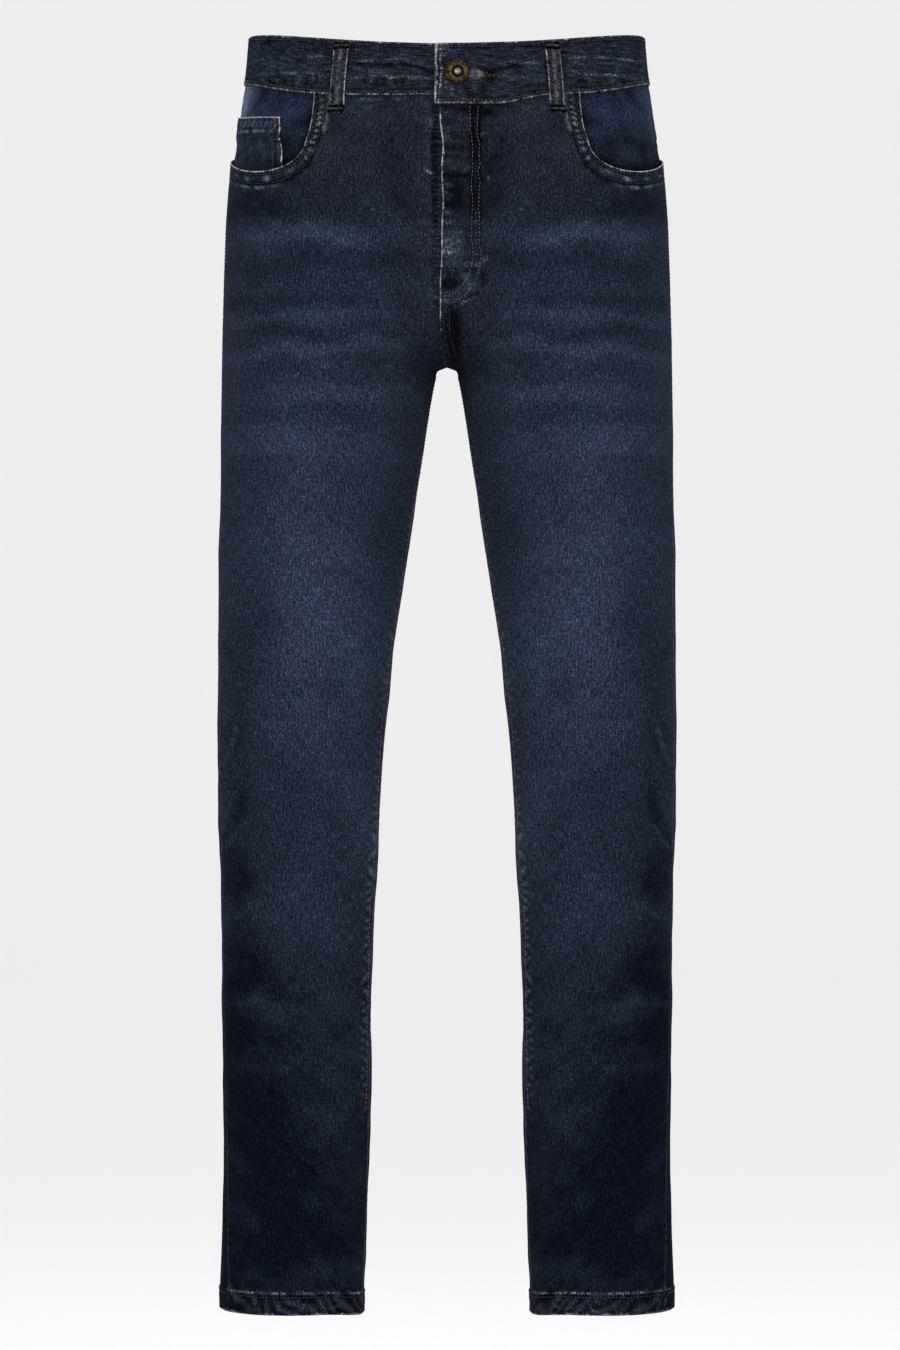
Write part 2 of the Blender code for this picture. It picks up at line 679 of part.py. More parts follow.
def column_at(side, across, depth, height, levels):
    """Skin points straight above each other through one point, and their level normals."""
    start = Level(np.array([height]))
    angle = math.atan2(start.side[0] - depth, across - start.centre[0])
    x, y = skin_ray(np.full(len(levels), angle), levels)
    normal = level_normals(x, y, levels)
    point = np.stack([x, y, levels], axis=-1)
    for array in (point, normal):
        array[:, 0] *= side
    return point, normal


def band_stations(front, back):
    """Places along the waistband's foot: side, distance from the middle, height, back or front."""
    left, right = front[1], front[-1]
    stations = [(1, -BAND_END, left[-1][2], False)]
    stations += [(1, p[0], p[2], False) for p in left[::-1]]
    stations += [(1, p[0], p[2], True) for p in back[1][1:]]
    stations += [(-1, -p[0], p[2], True) for p in back[-1][-2:0:-1]]
    stations += [(-1, -p[0], p[2], False) for p in right]
    stations += [(-1, -x, right[-1][2], False) for x in (BAND_UNDER_END / 2, BAND_UNDER_END)]
    return stations


def band_shift(side, across, is_back):
    """How far the band is raised where it lies over its other end, or sunk where it lies under it."""
    if is_back:
        return 0.0
    reach, shift = (BAND_UNDER_END, BAND_RAISE) if side > 0 else (BAND_END, -BAND_SINK)
    return shift * float(1 - smooth_step((across - reach - BAND_SHIFT_FROM) / BAND_SHIFT_FADE))


def make_waistband(front, back):
    """The waistband: from its upper end at the front, by the wearer's left and the back, to its lower end.

    front and back hold the top rows of the panels, by side, so that the band follows their points.
    """
    outer, inner = [], []
    for side, across, foot, is_back in band_stations(front, back):
        levels = np.linspace(foot + SEAM_GAP, float(band_top(across, is_back)), BAND_LEVELS)
        at_foot = Level(np.array([foot]))
        across = min(across, float(at_foot.out_wide[0] + at_foot.centre[0]) - EDGE_MARGIN)
        depth = float(skin_depth(across, foot, is_back))
        point, normal = column_at(side, across, depth, foot, levels)
        face = point + normal * (BAND_PROUD + band_shift(side, across, is_back))
        outer.append(face)
        inner.append(face - normal * BAND_THICK)
    outer, inner = np.array(outer), np.array(inner)
    cells = np.ones((len(outer) - 1, BAND_LEVELS - 1), bool)
    piece("waistband", outer, inner, cells, DENIM_RGB)


def make_loop(loop):
    """A belt loop: sewn to the panel below the band and to the band's top, and bowed a little between."""
    top = float(band_top(loop.top, loop.back)) - SEAM_GAP
    seam = float(band_foot(loop.foot, loop.back, loop.side))
    foot = seam - (LOOP_BELOW_BACK if loop.back else LOOP_BELOW)
    fall = np.linspace(0, 1, LOOP_STEPS + 1)
    height = top + (foot - top) * fall
    across = loop.top + (loop.foot - loop.top) * fall
    depth = skin_depth(across, height, loop.back)
    point = np.stack([loop.side * across, depth, height], axis=-1)
    normal = level_normals(across, depth, height)
    normal[:, 0] *= loop.side
    over_band = smooth_step((height - seam + LOOP_STEP_DOWN) / LOOP_STEP_DOWN)
    bulge = np.sin(np.pi * np.clip((height - seam) / (top - seam), 0, 1))
    out = LOOP_REST + BAND_PROUD * over_band + LOOP_BULGE * bulge
    along = np.stack([-normal[:, 1], normal[:, 0], 0 * height], axis=-1)
    middle = point + normal * (out + LOOP_THICK)[:, None]
    outer = np.stack([middle + along * LOOP_WIDTH * part for part in (-0.5, 0.0, 0.5)], axis=1)
    inner = outer - normal[:, None] * LOOP_THICK
    piece(loop.name, outer, inner, np.ones((LOOP_STEPS, 2), bool), DENIM_RGB)


def make_button():
    """The waist button: a turned cap with a rolled rim, a sunk ring and a raised post, on a short shank."""
    depth = skin_depth(np.array([BUTTON_ACROSS]), np.array([BUTTON_HEIGHT]))
    normal = normals_at(np.array([BUTTON_ACROSS]), depth, np.array([BUTTON_HEIGHT]))[0]
    along = np.array([-normal[1], normal[0], 0.0]) / np.hypot(normal[0], normal[1])
    up = np.cross(normal, along)
    base = np.array([BUTTON_ACROSS, depth[0] - BAND_PROUD - BAND_RAISE, BUTTON_HEIGHT])
    base = base + normal * SEAM_GAP
    turn = np.arange(BUTTON_SPIN) * 2 * math.pi / BUTTON_SPIN
    ring = np.cos(turn)[:, None] * along + np.sin(turn)[:, None] * up
    points, rings = [], []
    for radius, out in BUTTON:
        count = BUTTON_SPIN if radius else 1
        rings.append([len(points) + (n % count) for n in range(BUTTON_SPIN)])
        points += list(base + normal * out * MM + ring[:count] * radius * MM)
    faces = []
    for lower, upper in zip(rings, rings[1:]):
        for n in range(BUTTON_SPIN):
            after = (n + 1) % BUTTON_SPIN
            face = [lower[n], lower[after], upper[after], upper[n]]
            faces.append(list(dict.fromkeys(face)))
    mesh = bpy.data.meshes.new("button")
    mesh.from_pydata([p.tolist() for p in points], [], faces)
    finished("button", mesh, BRASS_RGB, metallic=1.0, roughness=0.4)


def main():
    for obj in list(bpy.data.objects):
        bpy.data.objects.remove(obj, do_unlink=True)
    front = {side: make_front(side) for side in (-1, 1)}
    back = {side: make_back(side) for side in (-1, 1)}
    make_waistband(front, back)
    for loop in LOOPS:
        make_loop(loop)
    make_button()


main()
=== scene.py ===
"""Slim fit jeans, dressed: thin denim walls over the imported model, with their folds, seams, sewing and wash.

Every cloth piece is a grid of points on the body of the jeans, named by its share of the way round a
panel and its height, then moved out along the normal by its folds. Metres, +Z up, front towards -Y.
"""

import logging
import math
from dataclasses import dataclass, field
from enum import Enum
from typing import Callable, Optional, Sequence

import bpy
import numpy as np
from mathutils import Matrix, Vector
from mathutils.bvhtree import BVHTree

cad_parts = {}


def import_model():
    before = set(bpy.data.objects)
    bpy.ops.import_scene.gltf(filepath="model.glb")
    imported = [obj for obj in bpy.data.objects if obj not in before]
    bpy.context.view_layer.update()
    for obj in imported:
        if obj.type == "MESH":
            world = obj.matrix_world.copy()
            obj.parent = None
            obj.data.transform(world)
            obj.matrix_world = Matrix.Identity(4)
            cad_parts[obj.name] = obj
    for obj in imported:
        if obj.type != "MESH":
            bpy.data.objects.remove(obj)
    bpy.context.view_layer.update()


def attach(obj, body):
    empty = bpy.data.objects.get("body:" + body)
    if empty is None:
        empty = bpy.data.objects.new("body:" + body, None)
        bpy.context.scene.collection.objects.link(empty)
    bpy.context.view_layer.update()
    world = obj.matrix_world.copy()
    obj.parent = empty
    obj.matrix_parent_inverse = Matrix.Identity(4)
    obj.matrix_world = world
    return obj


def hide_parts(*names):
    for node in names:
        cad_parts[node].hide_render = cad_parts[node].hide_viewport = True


Array = np.ndarray
LOG = logging.getLogger("jeans")
MM = 0.001
ROOT = "root"


# ---------------------------------------------------------------- curves and waves


def unit(value: Array) -> Array:
    """The value held between 0 and 1."""
    return np.clip(value, 0.0, 1.0)


def smooth_step(value: Array) -> Array:
    """0 below 0, 1 above 1, and an S-shaped ease, 3t^2 - 2t^3, between."""
    part = unit(value)
    return part * part * (3.0 - 2.0 * part)


def rise(value: Array, start: float, over: float) -> Array:
    """A smooth rise from 0 at start to 1 so far above it, both in millimetres."""
    return smooth_step((value - start * MM) / (over * MM))


def drop(value: Array, start: float, over: float) -> Array:
    """A smooth rise from 0 at start to 1 so far below it, both in millimetres."""
    return smooth_step((start * MM - value) / (over * MM))


def bell(distance: Array, width: Array) -> Array:
    """A bell, exp(-(distance / width)^2)."""
    return np.exp(-np.square(distance / width))


def hump(value: Array, middle: float, width: float) -> Array:
    """A bell about a middle, which is given in millimetres like its width."""
    return bell(value - middle * MM, width * MM)


def plateau(value: Array, low: float, high: float, ease: float) -> Array:
    """1 from low to high and 0 outside, with a smooth rise and fall over ease, in metres."""
    return smooth_step((value - low) / ease + 0.5) * smooth_step((high - value) / ease + 0.5)


def between(value: Array, low: float, high: float, ease: float) -> Array:
    """The same, with the three lengths in millimetres."""
    return plateau(value, low * MM, high * MM, ease * MM)


def ripples(along: Array, pitch: float, phase: Array) -> Array:
    """A sine along a line, its pitch in metres and its phase in radians."""
    return np.sin(2 * math.pi * along / pitch + phase)


def curve_through(knots: Array, values: Array, at: Array) -> Array:
    """A cubic Hermite curve through the values, each slope that of the neighbours' chord.

    Args:
        knots: rising places.
        values: the value at each.
        at: where the curve is read.

    Returns:
        The curve's values.
    """
    slopes = np.gradient(values, knots)
    i = np.clip(np.searchsorted(knots, at) - 1, 0, len(knots) - 2)
    width = knots[i + 1] - knots[i]
    t = unit((at - knots[i]) / width)
    start, end = values[i], values[i + 1]
    level = (2 * t**3 - 3 * t**2 + 1) * start + (3 * t**2 - 2 * t**3) * end
    return level + width * ((t**3 - 2 * t**2 + t) * slopes[i] + (t**3 - t**2) * slopes[i + 1])


def graded(length: float, coarse: float, low: tuple[float, float] = (0.0, 1.0),
           high: tuple[float, float] = (0.0, 1.0)) -> Array:
    """Fractions of a length, stepped coarsely in the middle and finely near its ends.

    The steps follow the inverse of the wanted step, summed along the length.

    Args:
        length: the whole length.
        coarse: the step in the middle.
        low: width of the fine stretch at the start, and its step.
        high: the same at the end.

    Returns:
        Rising fractions from 0 to 1.
    """
    place = np.linspace(0.0, length, 2001)
    step = np.full_like(place, coarse)
    for width, fine, distance in ((*low, place), (*high, length - place)):
        if width > 0:
            step = np.minimum(step, fine + (coarse - fine) * smooth_step((distance - width) / (width + coarse)))
    count = np.concatenate([[0.0], np.cumsum(np.diff(place) * 2 / (step[1:] + step[:-1]))])
    steps = max(int(round(count[-1])), 2)
    return np.interp(np.linspace(0, count[-1], steps + 1), count, place) / length


@dataclass(frozen=True)
class Waves:
    """A smooth uneven field: a sum of sine waves of random heading and phase, about -1 to 1.

    Attributes:
        size: the typical distance between crests, in millimetres.
        seed: the seed of the random headings.
        count: how many waves are summed.
    """

    size: float
    seed: int
    count: int = 9

    def at(self, u: Array, v: Array) -> Array:
        """The field's values.

        Args:
            u: distances one way.
            v: distances the other way.

        Returns:
            Values of the same shape.
        """
        random = np.random.default_rng(self.seed)
        heading = random.uniform(0, 2 * math.pi, self.count)
        number = 2 * math.pi / (self.size * MM) * random.uniform(0.55, 1.6, self.count)
        phase = random.uniform(0, 2 * math.pi, self.count)
        total = np.zeros(np.broadcast(u, v).shape)
        for turn, wave, start in zip(heading, number, phase):
            total = total + np.sin(wave * (u * math.cos(turn) + v * math.sin(turn)) + start)
        return total * 1.2 / math.sqrt(self.count)

    def along(self, place: Array) -> Array:
        """The field's values along a single line."""
        return self.at(place, 0 * place)


# ---------------------------------------------------------------- the body of the jeans


class Side(Enum):
    """The wearer's right or left."""

    RIGHT = -1
    LEFT = 1

    @property
    def word(self) -> str:
        """The side's name in node names."""
        return "left" if self is Side.LEFT else "right"


class Face(Enum):
    """The front or the back of the jeans."""

    FRONT = 0
    BACK = 1


# Sections through the jeans, in millimetres: height, then the sides of one leg and its middle, the depths
# of its side line, front and back, the exponent of its outer half, and the softness of the middle crease.
SECTION_COLUMNS = ("height", "outer", "centre", "inner", "side", "front", "back", "square", "blend")
SECTIONS = (
    (45, 161.5, 0.0, -161.5, 0, -97, 101, 2.15, 0.1),
    (25, 163.3, 0.0, -163.3, 0, -100, 104, 2.15, 0.1),
    (0, 165.6, 0.0, -165.6, 0, -104, 108, 2.18, 0.1),
    (-20, 168.0, 0.5, -167.0, 0, -107, 113, 2.20, 0.3),
    (-45, 172.2, 2.0, -168.0, 0, -109, 120, 2.20, 2),
    (-70, 176.4, 6.0, -163.0, 0, -111, 126, 2.20, 5),
    (-95, 180.5, 13.0, -149.0, 0, -111.5, 130, 2.20, 11),
    (-120, 182.6, 25.0, -122.0, 1, -111.5, 132, 2.20, 22),
    (-150, 183.8, 43.0, -88.0, 2, -110.5, 131, 2.20, 38),
    (-180, 184.9, 61.0, -54.0, 3, -109, 126, 2.18, 52),
    (-205, 185.6, 75.0, -29.0, 3, -107.2, 119, 2.15, 58),
    (-225, 186.2, 85.5, -12.5, 3, -105.6, 112, 2.12, 53),
    (-240, 186.5, 92.0, -1.0, 2.6, -104.3, 107, 2.10, 44),
    (-251, 186.7, 96.0, 10.1, 2.1, -103.3, 103.5, 2.10, 38),
    (-262, 186.9, 98.8, 11.9, 1.5, -102.3, 100.5, 2.10, 37),
    (-280, 187.1, 101.2, 14.2, 0.3, -100.8, 97, 2.10, 37),
    (-320, 187.6, 104.0, 19.5, -2, -97.8, 90.5, 2.08, 38),
    (-360, 188.3, 107.3, 25.7, -4, -95, 84.5, 2.06, 40),
    (-402, 189.2, 110.3, 31.5, -6, -92, 79, 2.05, 40),
    (-443, 189.0, 113.4, 37.8, -7.6, -88.6, 73.5, 2.05, 40),
    (-485, 189.6, 116.8, 44.0, -8.8, -85, 68, 2.05, 40),
    (-526, 190.0, 119.1, 48.3, -9, -81.4, 63.5, 2.05, 40),
    (-568, 190.0, 120.9, 52.0, -8.6, -78, 60.3, 2.05, 40),
    (-610, 189.0, 121.9, 54.8, -6.6, -74.4, 60, 2.05, 40),
    (-651, 188.2, 122.4, 56.8, -3, -70, 63, 2.05, 40),
    (-692, 187.6, 123.5, 59.5, 0.8, -65.2, 67, 2.05, 40),
    (-734, 187.1, 124.2, 61.3, 3, -61.4, 69.5, 2.05, 40),
    (-775, 186.7, 124.5, 62.3, 4, -59, 70, 2.05, 40),
    (-858, 186.0, 124.6, 63.2, 4, -57.5, 67.5, 2.05, 40),
    (-941, 186.4, 126.0, 65.6, 3, -57, 64, 2.05, 40),
    (-983, 187.1, 127.2, 67.3, 2.5, -57.2, 62.5, 2.05, 40),
    (-1025, 187.6, 128.5, 69.4, 2, -58, 62, 2.05, 40),
    (-1060, 187.6, 128.8, 70.0, 2, -58, 62, 2.05, 40),
)
INNER_SQUARE = 2.0

# Where the seams run round the leg: height in millimetres, then the side seam and the inseam in degrees,
# with 0 straight out to the side, 90 the front and 180 inwards.
SEAM_COLUMNS = ("height", "side_seam", "inseam")
SEAMS = (
    (45, 0, 180),
    (-20, -1, 180),
    (-80, -5, 180),
    (-150, 2, 180),
    (-251, 9, 180),
    (-300, 12, 177),
    (-400, 16, 173),
    (-480, 17, 171),
    (-650, 15, 170),
    (-800, 16, 169),
    (-950, 24, 169),
    (-1060, 33, 169),
)


class Table:
    """Rows with named columns, read at any height. Every column but those in plain is in millimetres."""

    def __init__(self, columns: Sequence[str], rows: Sequence[Sequence[float]], plain: Sequence[str] = ()) -> None:
        """Sorts the rows by height.

        Args:
            columns: the columns' names, the height first.
            rows: their numbers.
            plain: the columns that aren't lengths.
        """
        data = np.array(sorted(rows), float)
        scale = [1.0 if name in plain else MM for name in columns]
        self.columns = {name: data[:, n] * scale[n] for n, name in enumerate(columns)}

    def at(self, name: str, height: Array) -> Array:
        """One column at any heights.

        Args:
            name: the column.
            height: heights in metres.

        Returns:
            Its values there.
        """
        return curve_through(self.columns["height"], self.columns[name], height)


BODY = Table(SECTION_COLUMNS, SECTIONS, plain=("square",))
SEAM_ANGLES = Table(SEAM_COLUMNS, SEAMS, plain=("side_seam", "inseam"))
HALVINGS = 30
FAR_REACH = 0.35
NORMAL_STEP = 0.4 * MM


class Level:
    """The sizes of the body's sections at an array of heights."""

    def __init__(self, height: Array) -> None:
        """Reads the table at these heights."""
        size = {name: BODY.at(name, height) for name in SECTION_COLUMNS[1:]}
        self.centre, self.side, self.square = size["centre"], size["side"], size["square"]
        self.out_wide = size["outer"] - self.centre
        self.in_wide = self.centre - size["inner"]
        self.front_deep = self.side - size["front"]
        self.back_deep = size["back"] - self.side
        self.blend = size["blend"]

    def outside_leg(self, across: Array, depth: Array) -> Array:
        """How far a point lies outside one leg, along the line from the leg's middle.

        Each quarter of a leg's section is a superellipse, |x/a|^p + |y/b|^p = 1.
        """
        east, front = across - self.centre, self.side - depth
        reach = np.hypot(east, front) + 1e-9
        wide = np.where(east >= 0, self.out_wide, self.in_wide)
        deep = np.where(front >= 0, self.front_deep, self.back_deep)
        power = np.where(east >= 0, self.square, INNER_SQUARE)
        ratio = (np.abs(east / wide) ** power + np.abs(front / deep) ** power) ** (1.0 / power)
        return reach - reach / np.maximum(ratio, 1e-9)

    def outside(self, across: Array, depth: Array) -> Array:
        """How far a point lies outside the jeans.

        The smaller of the two legs' distances, less (blend - difference)^2 / (4 blend) where they are close.
        """
        own = self.outside_leg(across, depth)
        other = self.outside_leg(-across, depth)
        overlap = np.maximum(self.blend - np.abs(own - other), 0.0)
        return np.minimum(own, other) - overlap**2 / (4.0 * self.blend)


def normals_at(across: Array, depth: Array, height: Array) -> Array:
    """Unit vectors straight out of the skin, from the slopes of the distance outside it."""
    step = NORMAL_STEP
    level = Level(height)
    slopes = [
        level.outside(across + step, depth) - level.outside(across - step, depth),
        level.outside(across, depth + step) - level.outside(across, depth - step),
        Level(height + step).outside(across, depth) - Level(height - step).outside(across, depth),
    ]
    normal = np.stack(slopes, axis=-1)
    return normal / np.maximum(np.linalg.norm(normal, axis=-1, keepdims=True), 1e-12)


def halve(is_inside: Callable[[Array], Array], low: Array, high: Array) -> Array:
    """The place between low, which is inside, and high where a line leaves the jeans, by halving."""
    for _ in range(HALVINGS):
        middle = (low + high) / 2
        inside = is_inside(middle)
        low, high = np.where(inside, middle, low), np.where(inside, high, middle)
    return (low + high) / 2


def skin_depth(across: Array, height: Array, face: Face = Face.FRONT) -> Array:
    """Depth of the front or back skin at a distance from the middle."""
    across, height = np.broadcast_arrays(np.asarray(across, float), np.asarray(height, float))
    level = Level(height)
    end = np.full_like(level.side, 0.22 if face is Face.BACK else -0.22)
    return halve(lambda depth: level.outside(across, depth) < 0, level.side, end)


def find_crotch() -> float:
    """Height of the lowest point of the seam between the legs."""

    def joined(height: Array) -> Array:
        """Whether the legs still meet in the middle at this height."""
        level = Level(height)
        return level.outside(np.float64(0.0), level.side) < 0

    return float(halve(joined, np.array(-230 * MM), np.array(-275 * MM)))


CROTCH = find_crotch()


@dataclass(frozen=True)
class Cut:
    """Sizes that the pieces share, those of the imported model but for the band's sides and the fly's waver.

    A height or a distance from the middle is where the piece's edge lies; the rest are sizes.
    """

    wall: float = 1.2 * MM
    gap: float = 0.3 * MM
    waist_half: float = 168.0 * MM
    band_top_front: float = 6.3 * MM
    band_top_side: float = 21.6 * MM
    band_top_back: float = 29.0 * MM
    band_foot_front: float = -34.7 * MM
    band_foot_side: float = -16.2 * MM
    band_foot_back: float = -13.2 * MM
    droop: float = 7.2 * MM
    droop_from: float = 38 * MM
    droop_to: float = 85 * MM
    fly_edge: float = 5.5 * MM
    fly_edge_rise: float = 30 * MM
    underlap: float = 6 * MM
    fly_lift: float = 1.9 * MM
    fly_foot: float = -190 * MM
    fly_fade: float = 8 * MM
    hem_height: float = 17.5 * MM
    hem_foot: float = -1029.6 * MM
    hem_drop: float = 3.9 * MM
    hem_drop_from: float = 0.6
    hem_proud: float = 0.7 * MM
    hem_thick: float = 3.0 * MM
    yoke_side: float = -52 * MM
    yoke_centre: float = -92 * MM
    mouth_end: float = -77 * MM

    def band_foot(self, across: Array, face: Face, side: Side) -> Array:
        """Height of the seam under the waistband: a shallow curve, lower at the front overlap."""
        share = unit(np.abs(across) / self.waist_half)
        if face is Face.BACK:
            return self.band_foot_side + (self.band_foot_back - self.band_foot_side) * (1 - share**2)
        height = self.band_foot_front + (self.band_foot_side - self.band_foot_front) * share**4
        if side is Side.LEFT:
            height = height - self.droop * (1 - smooth_step((across - self.droop_from)
                                                            / (self.droop_to - self.droop_from)))
        return height

    def band_top(self, across: Array, is_back: Array) -> Array:
        """Height of the top of the waistband: a shallow curve between the middle and the side."""
        share = unit(np.abs(across) / self.waist_half)
        middle = np.where(is_back, self.band_top_back, self.band_top_front)
        return middle + (self.band_top_side - middle) * share**2

    def fly_edge_at(self, side: Side, height: Array) -> Array:
        """Distance from the middle, towards this side, of a front panel's inner edge above the crotch."""
        seam = self.fly_edge * smooth_step((height - CROTCH) / self.fly_edge_rise)
        if side is Side.LEFT:
            waver = 1.3 * MM * between(height, -176, -64, 18)
            return waver + 1.1 * MM * hump(height, -78, 9) + 1.2 * MM * hump(height, -122, 12) - seam
        return seam - (self.fly_edge + self.underlap) * smooth_step((height - self.fly_foot) / self.fly_fade)

    def hem_foot_at(self, share: Array) -> Array:
        """Height of the hem's foot, lower on the inner side of the leg."""
        return self.hem_foot - self.hem_drop * smooth_step((share - self.hem_drop_from) / (1 - self.hem_drop_from))


CUT = Cut()


class PanelForm:
    """The front or back of one leg, its points named by their share of the way round and their height."""

    SAMPLES = 170
    SHARES = np.linspace(0.0, 1.0, 241)
    TOP = 4 * MM
    FOOT = -1040 * MM

    def __init__(self, side: Side, face: Face) -> None:
        """Works out the panel's sections once, so that its points can be read from them."""
        self.side, self.face = side, face
        levels = np.arange(self.TOP, self.FOOT, -3 * MM)
        near_crotch = CROTCH + np.array([3, 2, 1, 0.4, 0.1, 0.0, -0.1, -0.4, -1, -2, -3]) * MM
        self.levels = np.unique(np.concatenate([levels, near_crotch]))
        across, depth, lengths = self.section(self.levels)
        target = self.SHARES[None, :] * lengths[:, -1:]
        self.across = np.array([np.interp(t, row, x) for t, row, x in zip(target, lengths, across)])
        self.depth = np.array([np.interp(t, row, y) for t, row, y in zip(target, lengths, depth)])
        self.widths = lengths[:, -1]

    def middle_edge(self, height: Array) -> Array:
        """How far from the middle the panel's inner edge lies, down to the crotch."""
        above = np.maximum(height, CROTCH)
        return np.zeros_like(above) if self.face is Face.BACK else CUT.fly_edge_at(self.side, above)

    def inner_angle(self, height: Array) -> Array:
        """Where the panel ends: at the middle seam above the crotch, and at the inseam below it."""
        above = np.maximum(height, CROTCH)
        edge = self.middle_edge(height)
        depth = skin_depth(edge, above, self.face)
        middle = np.arctan2(BODY.at("side", above) - depth, edge - BODY.at("centre", above))
        inseam = np.radians(SEAM_ANGLES.at("inseam", np.minimum(height, CROTCH)))
        if self.face is Face.BACK:
            middle = np.where(middle > 0, middle - 2 * math.pi, middle)
            inseam = inseam - 2 * math.pi
        return np.where(height > CROTCH, middle, inseam)

    def section(self, height: Array) -> tuple[Array, Array, Array]:
        """Points along the section at each height, found where rays from the leg's middle leave the skin.

        Args:
            height: the sections' heights.

        Returns:
            Distances from the middle, depths, and lengths from the side seam, a row for each height.
        """
        start = np.radians(SEAM_ANGLES.at("side_seam", height))
        share = np.linspace(0.0, 1.0, self.SAMPLES)
        angle = start[:, None] + (self.inner_angle(height) - start)[:, None] * share
        level = Level(height[:, None])
        cos, sin = np.cos(angle), np.sin(angle)
        to_edge = (level.centre - self.middle_edge(height)[:, None]) / np.maximum(-cos, 1e-9)
        far = np.minimum(to_edge, FAR_REACH)

        def inside(reach: Array) -> Array:
            """Whether points this far along the rays are inside the jeans."""
            return level.outside(level.centre + reach * cos, level.side - reach * sin) < 0

        reach = halve(inside, np.zeros_like(far), far)
        across, depth = level.centre + reach * cos, level.side - reach * sin
        steps = np.hypot(np.diff(across), np.diff(depth))
        lengths = np.concatenate([np.zeros((len(height), 1)), np.cumsum(steps, axis=1)], axis=1)
        return across, depth, lengths

    def width(self, height: Array) -> Array:
        """The panel's length round the leg at any heights."""
        return np.interp(height, self.levels, self.widths)

    def place(self, share: Array, height: Array) -> tuple[Array, Array]:
        """Skin points and normals, by a look into the sections and two steps onto the true skin.

        Args:
            share: shares of the way round.
            height: heights.

        Returns:
            Points and unit normals with a last axis of 3, on the panel's own side.
        """
        wide = self.width(height)
        held = (CUT.gap / 2 + share * (wide - CUT.gap)) / wide
        row = np.clip(np.searchsorted(self.levels, height) - 1, 0, len(self.levels) - 2)
        down = (height - self.levels[row]) / (self.levels[row + 1] - self.levels[row])
        place = unit(held) * (len(self.SHARES) - 1)
        column = np.clip(place.astype(int), 0, len(self.SHARES) - 2)
        part = place - column
        point = []
        for table in (self.across, self.depth):
            low = table[row, column] * (1 - part) + table[row, column + 1] * part
            high = table[row + 1, column] * (1 - part) + table[row + 1, column + 1] * part
            point.append(low * (1 - down) + high * down)
        x, y = point
        for _ in range(2):
            normal = normals_at(x, y, height)
            away = Level(height).outside(x, y)
            level_length = np.maximum(np.hypot(normal[..., 0], normal[..., 1]), 0.3)
            x = x - away * normal[..., 0] / level_length
            y = y - away * normal[..., 1] / level_length
        normal = normals_at(x, y, height)
        points = np.stack([x * self.side.value, y, height], axis=-1)
        normal[..., 0] *= self.side.value
        return points, normal

    def share_at(self, across: Array, height: Array) -> Array:
        """The share of the way round at which the panel is this far from the middle."""
        rows = [np.array([np.interp(h, self.levels, self.across[:, k]) for k in range(len(self.SHARES))])
                for h in np.atleast_1d(height)]
        return np.array([np.interp(-x, -row, self.SHARES) for x, row in zip(np.atleast_1d(across), rows)])


# ---------------------------------------------------------------- cloth grids and their meshes


@dataclass
class Cloth:
    """A grid of points on the jeans, with what the denim finish reads at each.

    Attributes:
        point: skin points, rows by columns by 3.
        normal: unit normals.
        u: distance along the cloth one way, for the weave.
        v: distance the other way.
        out: how far the face stands out of the skin.
        thick: the wall's thickness.
        wear: how washed out the cloth is, 0 dark to 1 pale.
        edge: how bare its surface is rubbed, 0 to 1.
        shade: how much darker the cloth is made, 0 to 1: painted shade in hollows, folds, seam dents and covered
            places.
        soil: how grey the indigo is, 0 blue to 1 grey.
    """

    point: Array
    normal: Array
    u: Array
    v: Array
    out: Array = field(init=False)
    thick: Array = field(init=False)
    wear: Array = field(init=False)
    edge: Array = field(init=False)
    shade: Array = field(init=False)
    soil: Array = field(init=False)

    def __post_init__(self) -> None:
        """Starts with a plain wall on the skin."""
        shape = self.point.shape[:2]
        self.out = np.zeros(shape)
        self.thick = np.full(shape, CUT.wall)
        self.wear, self.edge, self.shade = np.zeros(shape), np.zeros(shape), np.zeros(shape)
        self.soil = greyed(self.point)

    def face_points(self) -> Array:
        """The points of the cloth's face."""
        return self.point + self.normal * self.out[..., None]

    def part(self, rows: slice, columns: slice) -> "Cloth":
        """A new plain cloth on some of the grid's rows and columns."""
        return Cloth(self.point[rows, columns], self.normal[rows, columns], self.u[rows, columns],
                     self.v[rows, columns])


def greyed(point: Array) -> Array:
    """How grey the indigo is: most over the seat's middle and the waist, and again at the hems."""
    height, across = point[..., 2], np.abs(point[..., 0])
    seat = rise(height, -150, 40) * (1 - 0.75 * rise(across, 95, 55))
    fork = hump(across, 0, 32) * rise(height, -330, 120)
    waist = 0.75 * rise(height, -40, 20) * (1 - 0.9 * rise(across, 90, 40))
    hem = 0.9 * drop(height, -1006, 12)
    return unit(seat + waist + hem + fork)


ROUNDING = 0.42                 # how far a cut edge bulges, as a share of the wall's thickness


def edge_outwards(face: Array, cells: Array) -> Array:
    """Directions off the cloth at its edges: the sum, over the meeting cells, of point minus cell middle."""
    middle = (face[:-1, :-1] + face[1:, :-1] + face[1:, 1:] + face[:-1, 1:]) / 4
    away = np.zeros_like(face)
    mask = cells[..., None]
    for di, dj in ((0, 0), (1, 0), (1, 1), (0, 1)):
        rows = slice(di, face.shape[0] - 1 + di)
        columns = slice(dj, face.shape[1] - 1 + dj)
        away[rows, columns] += np.where(mask, face[rows, columns] - middle, 0.0)
    return away


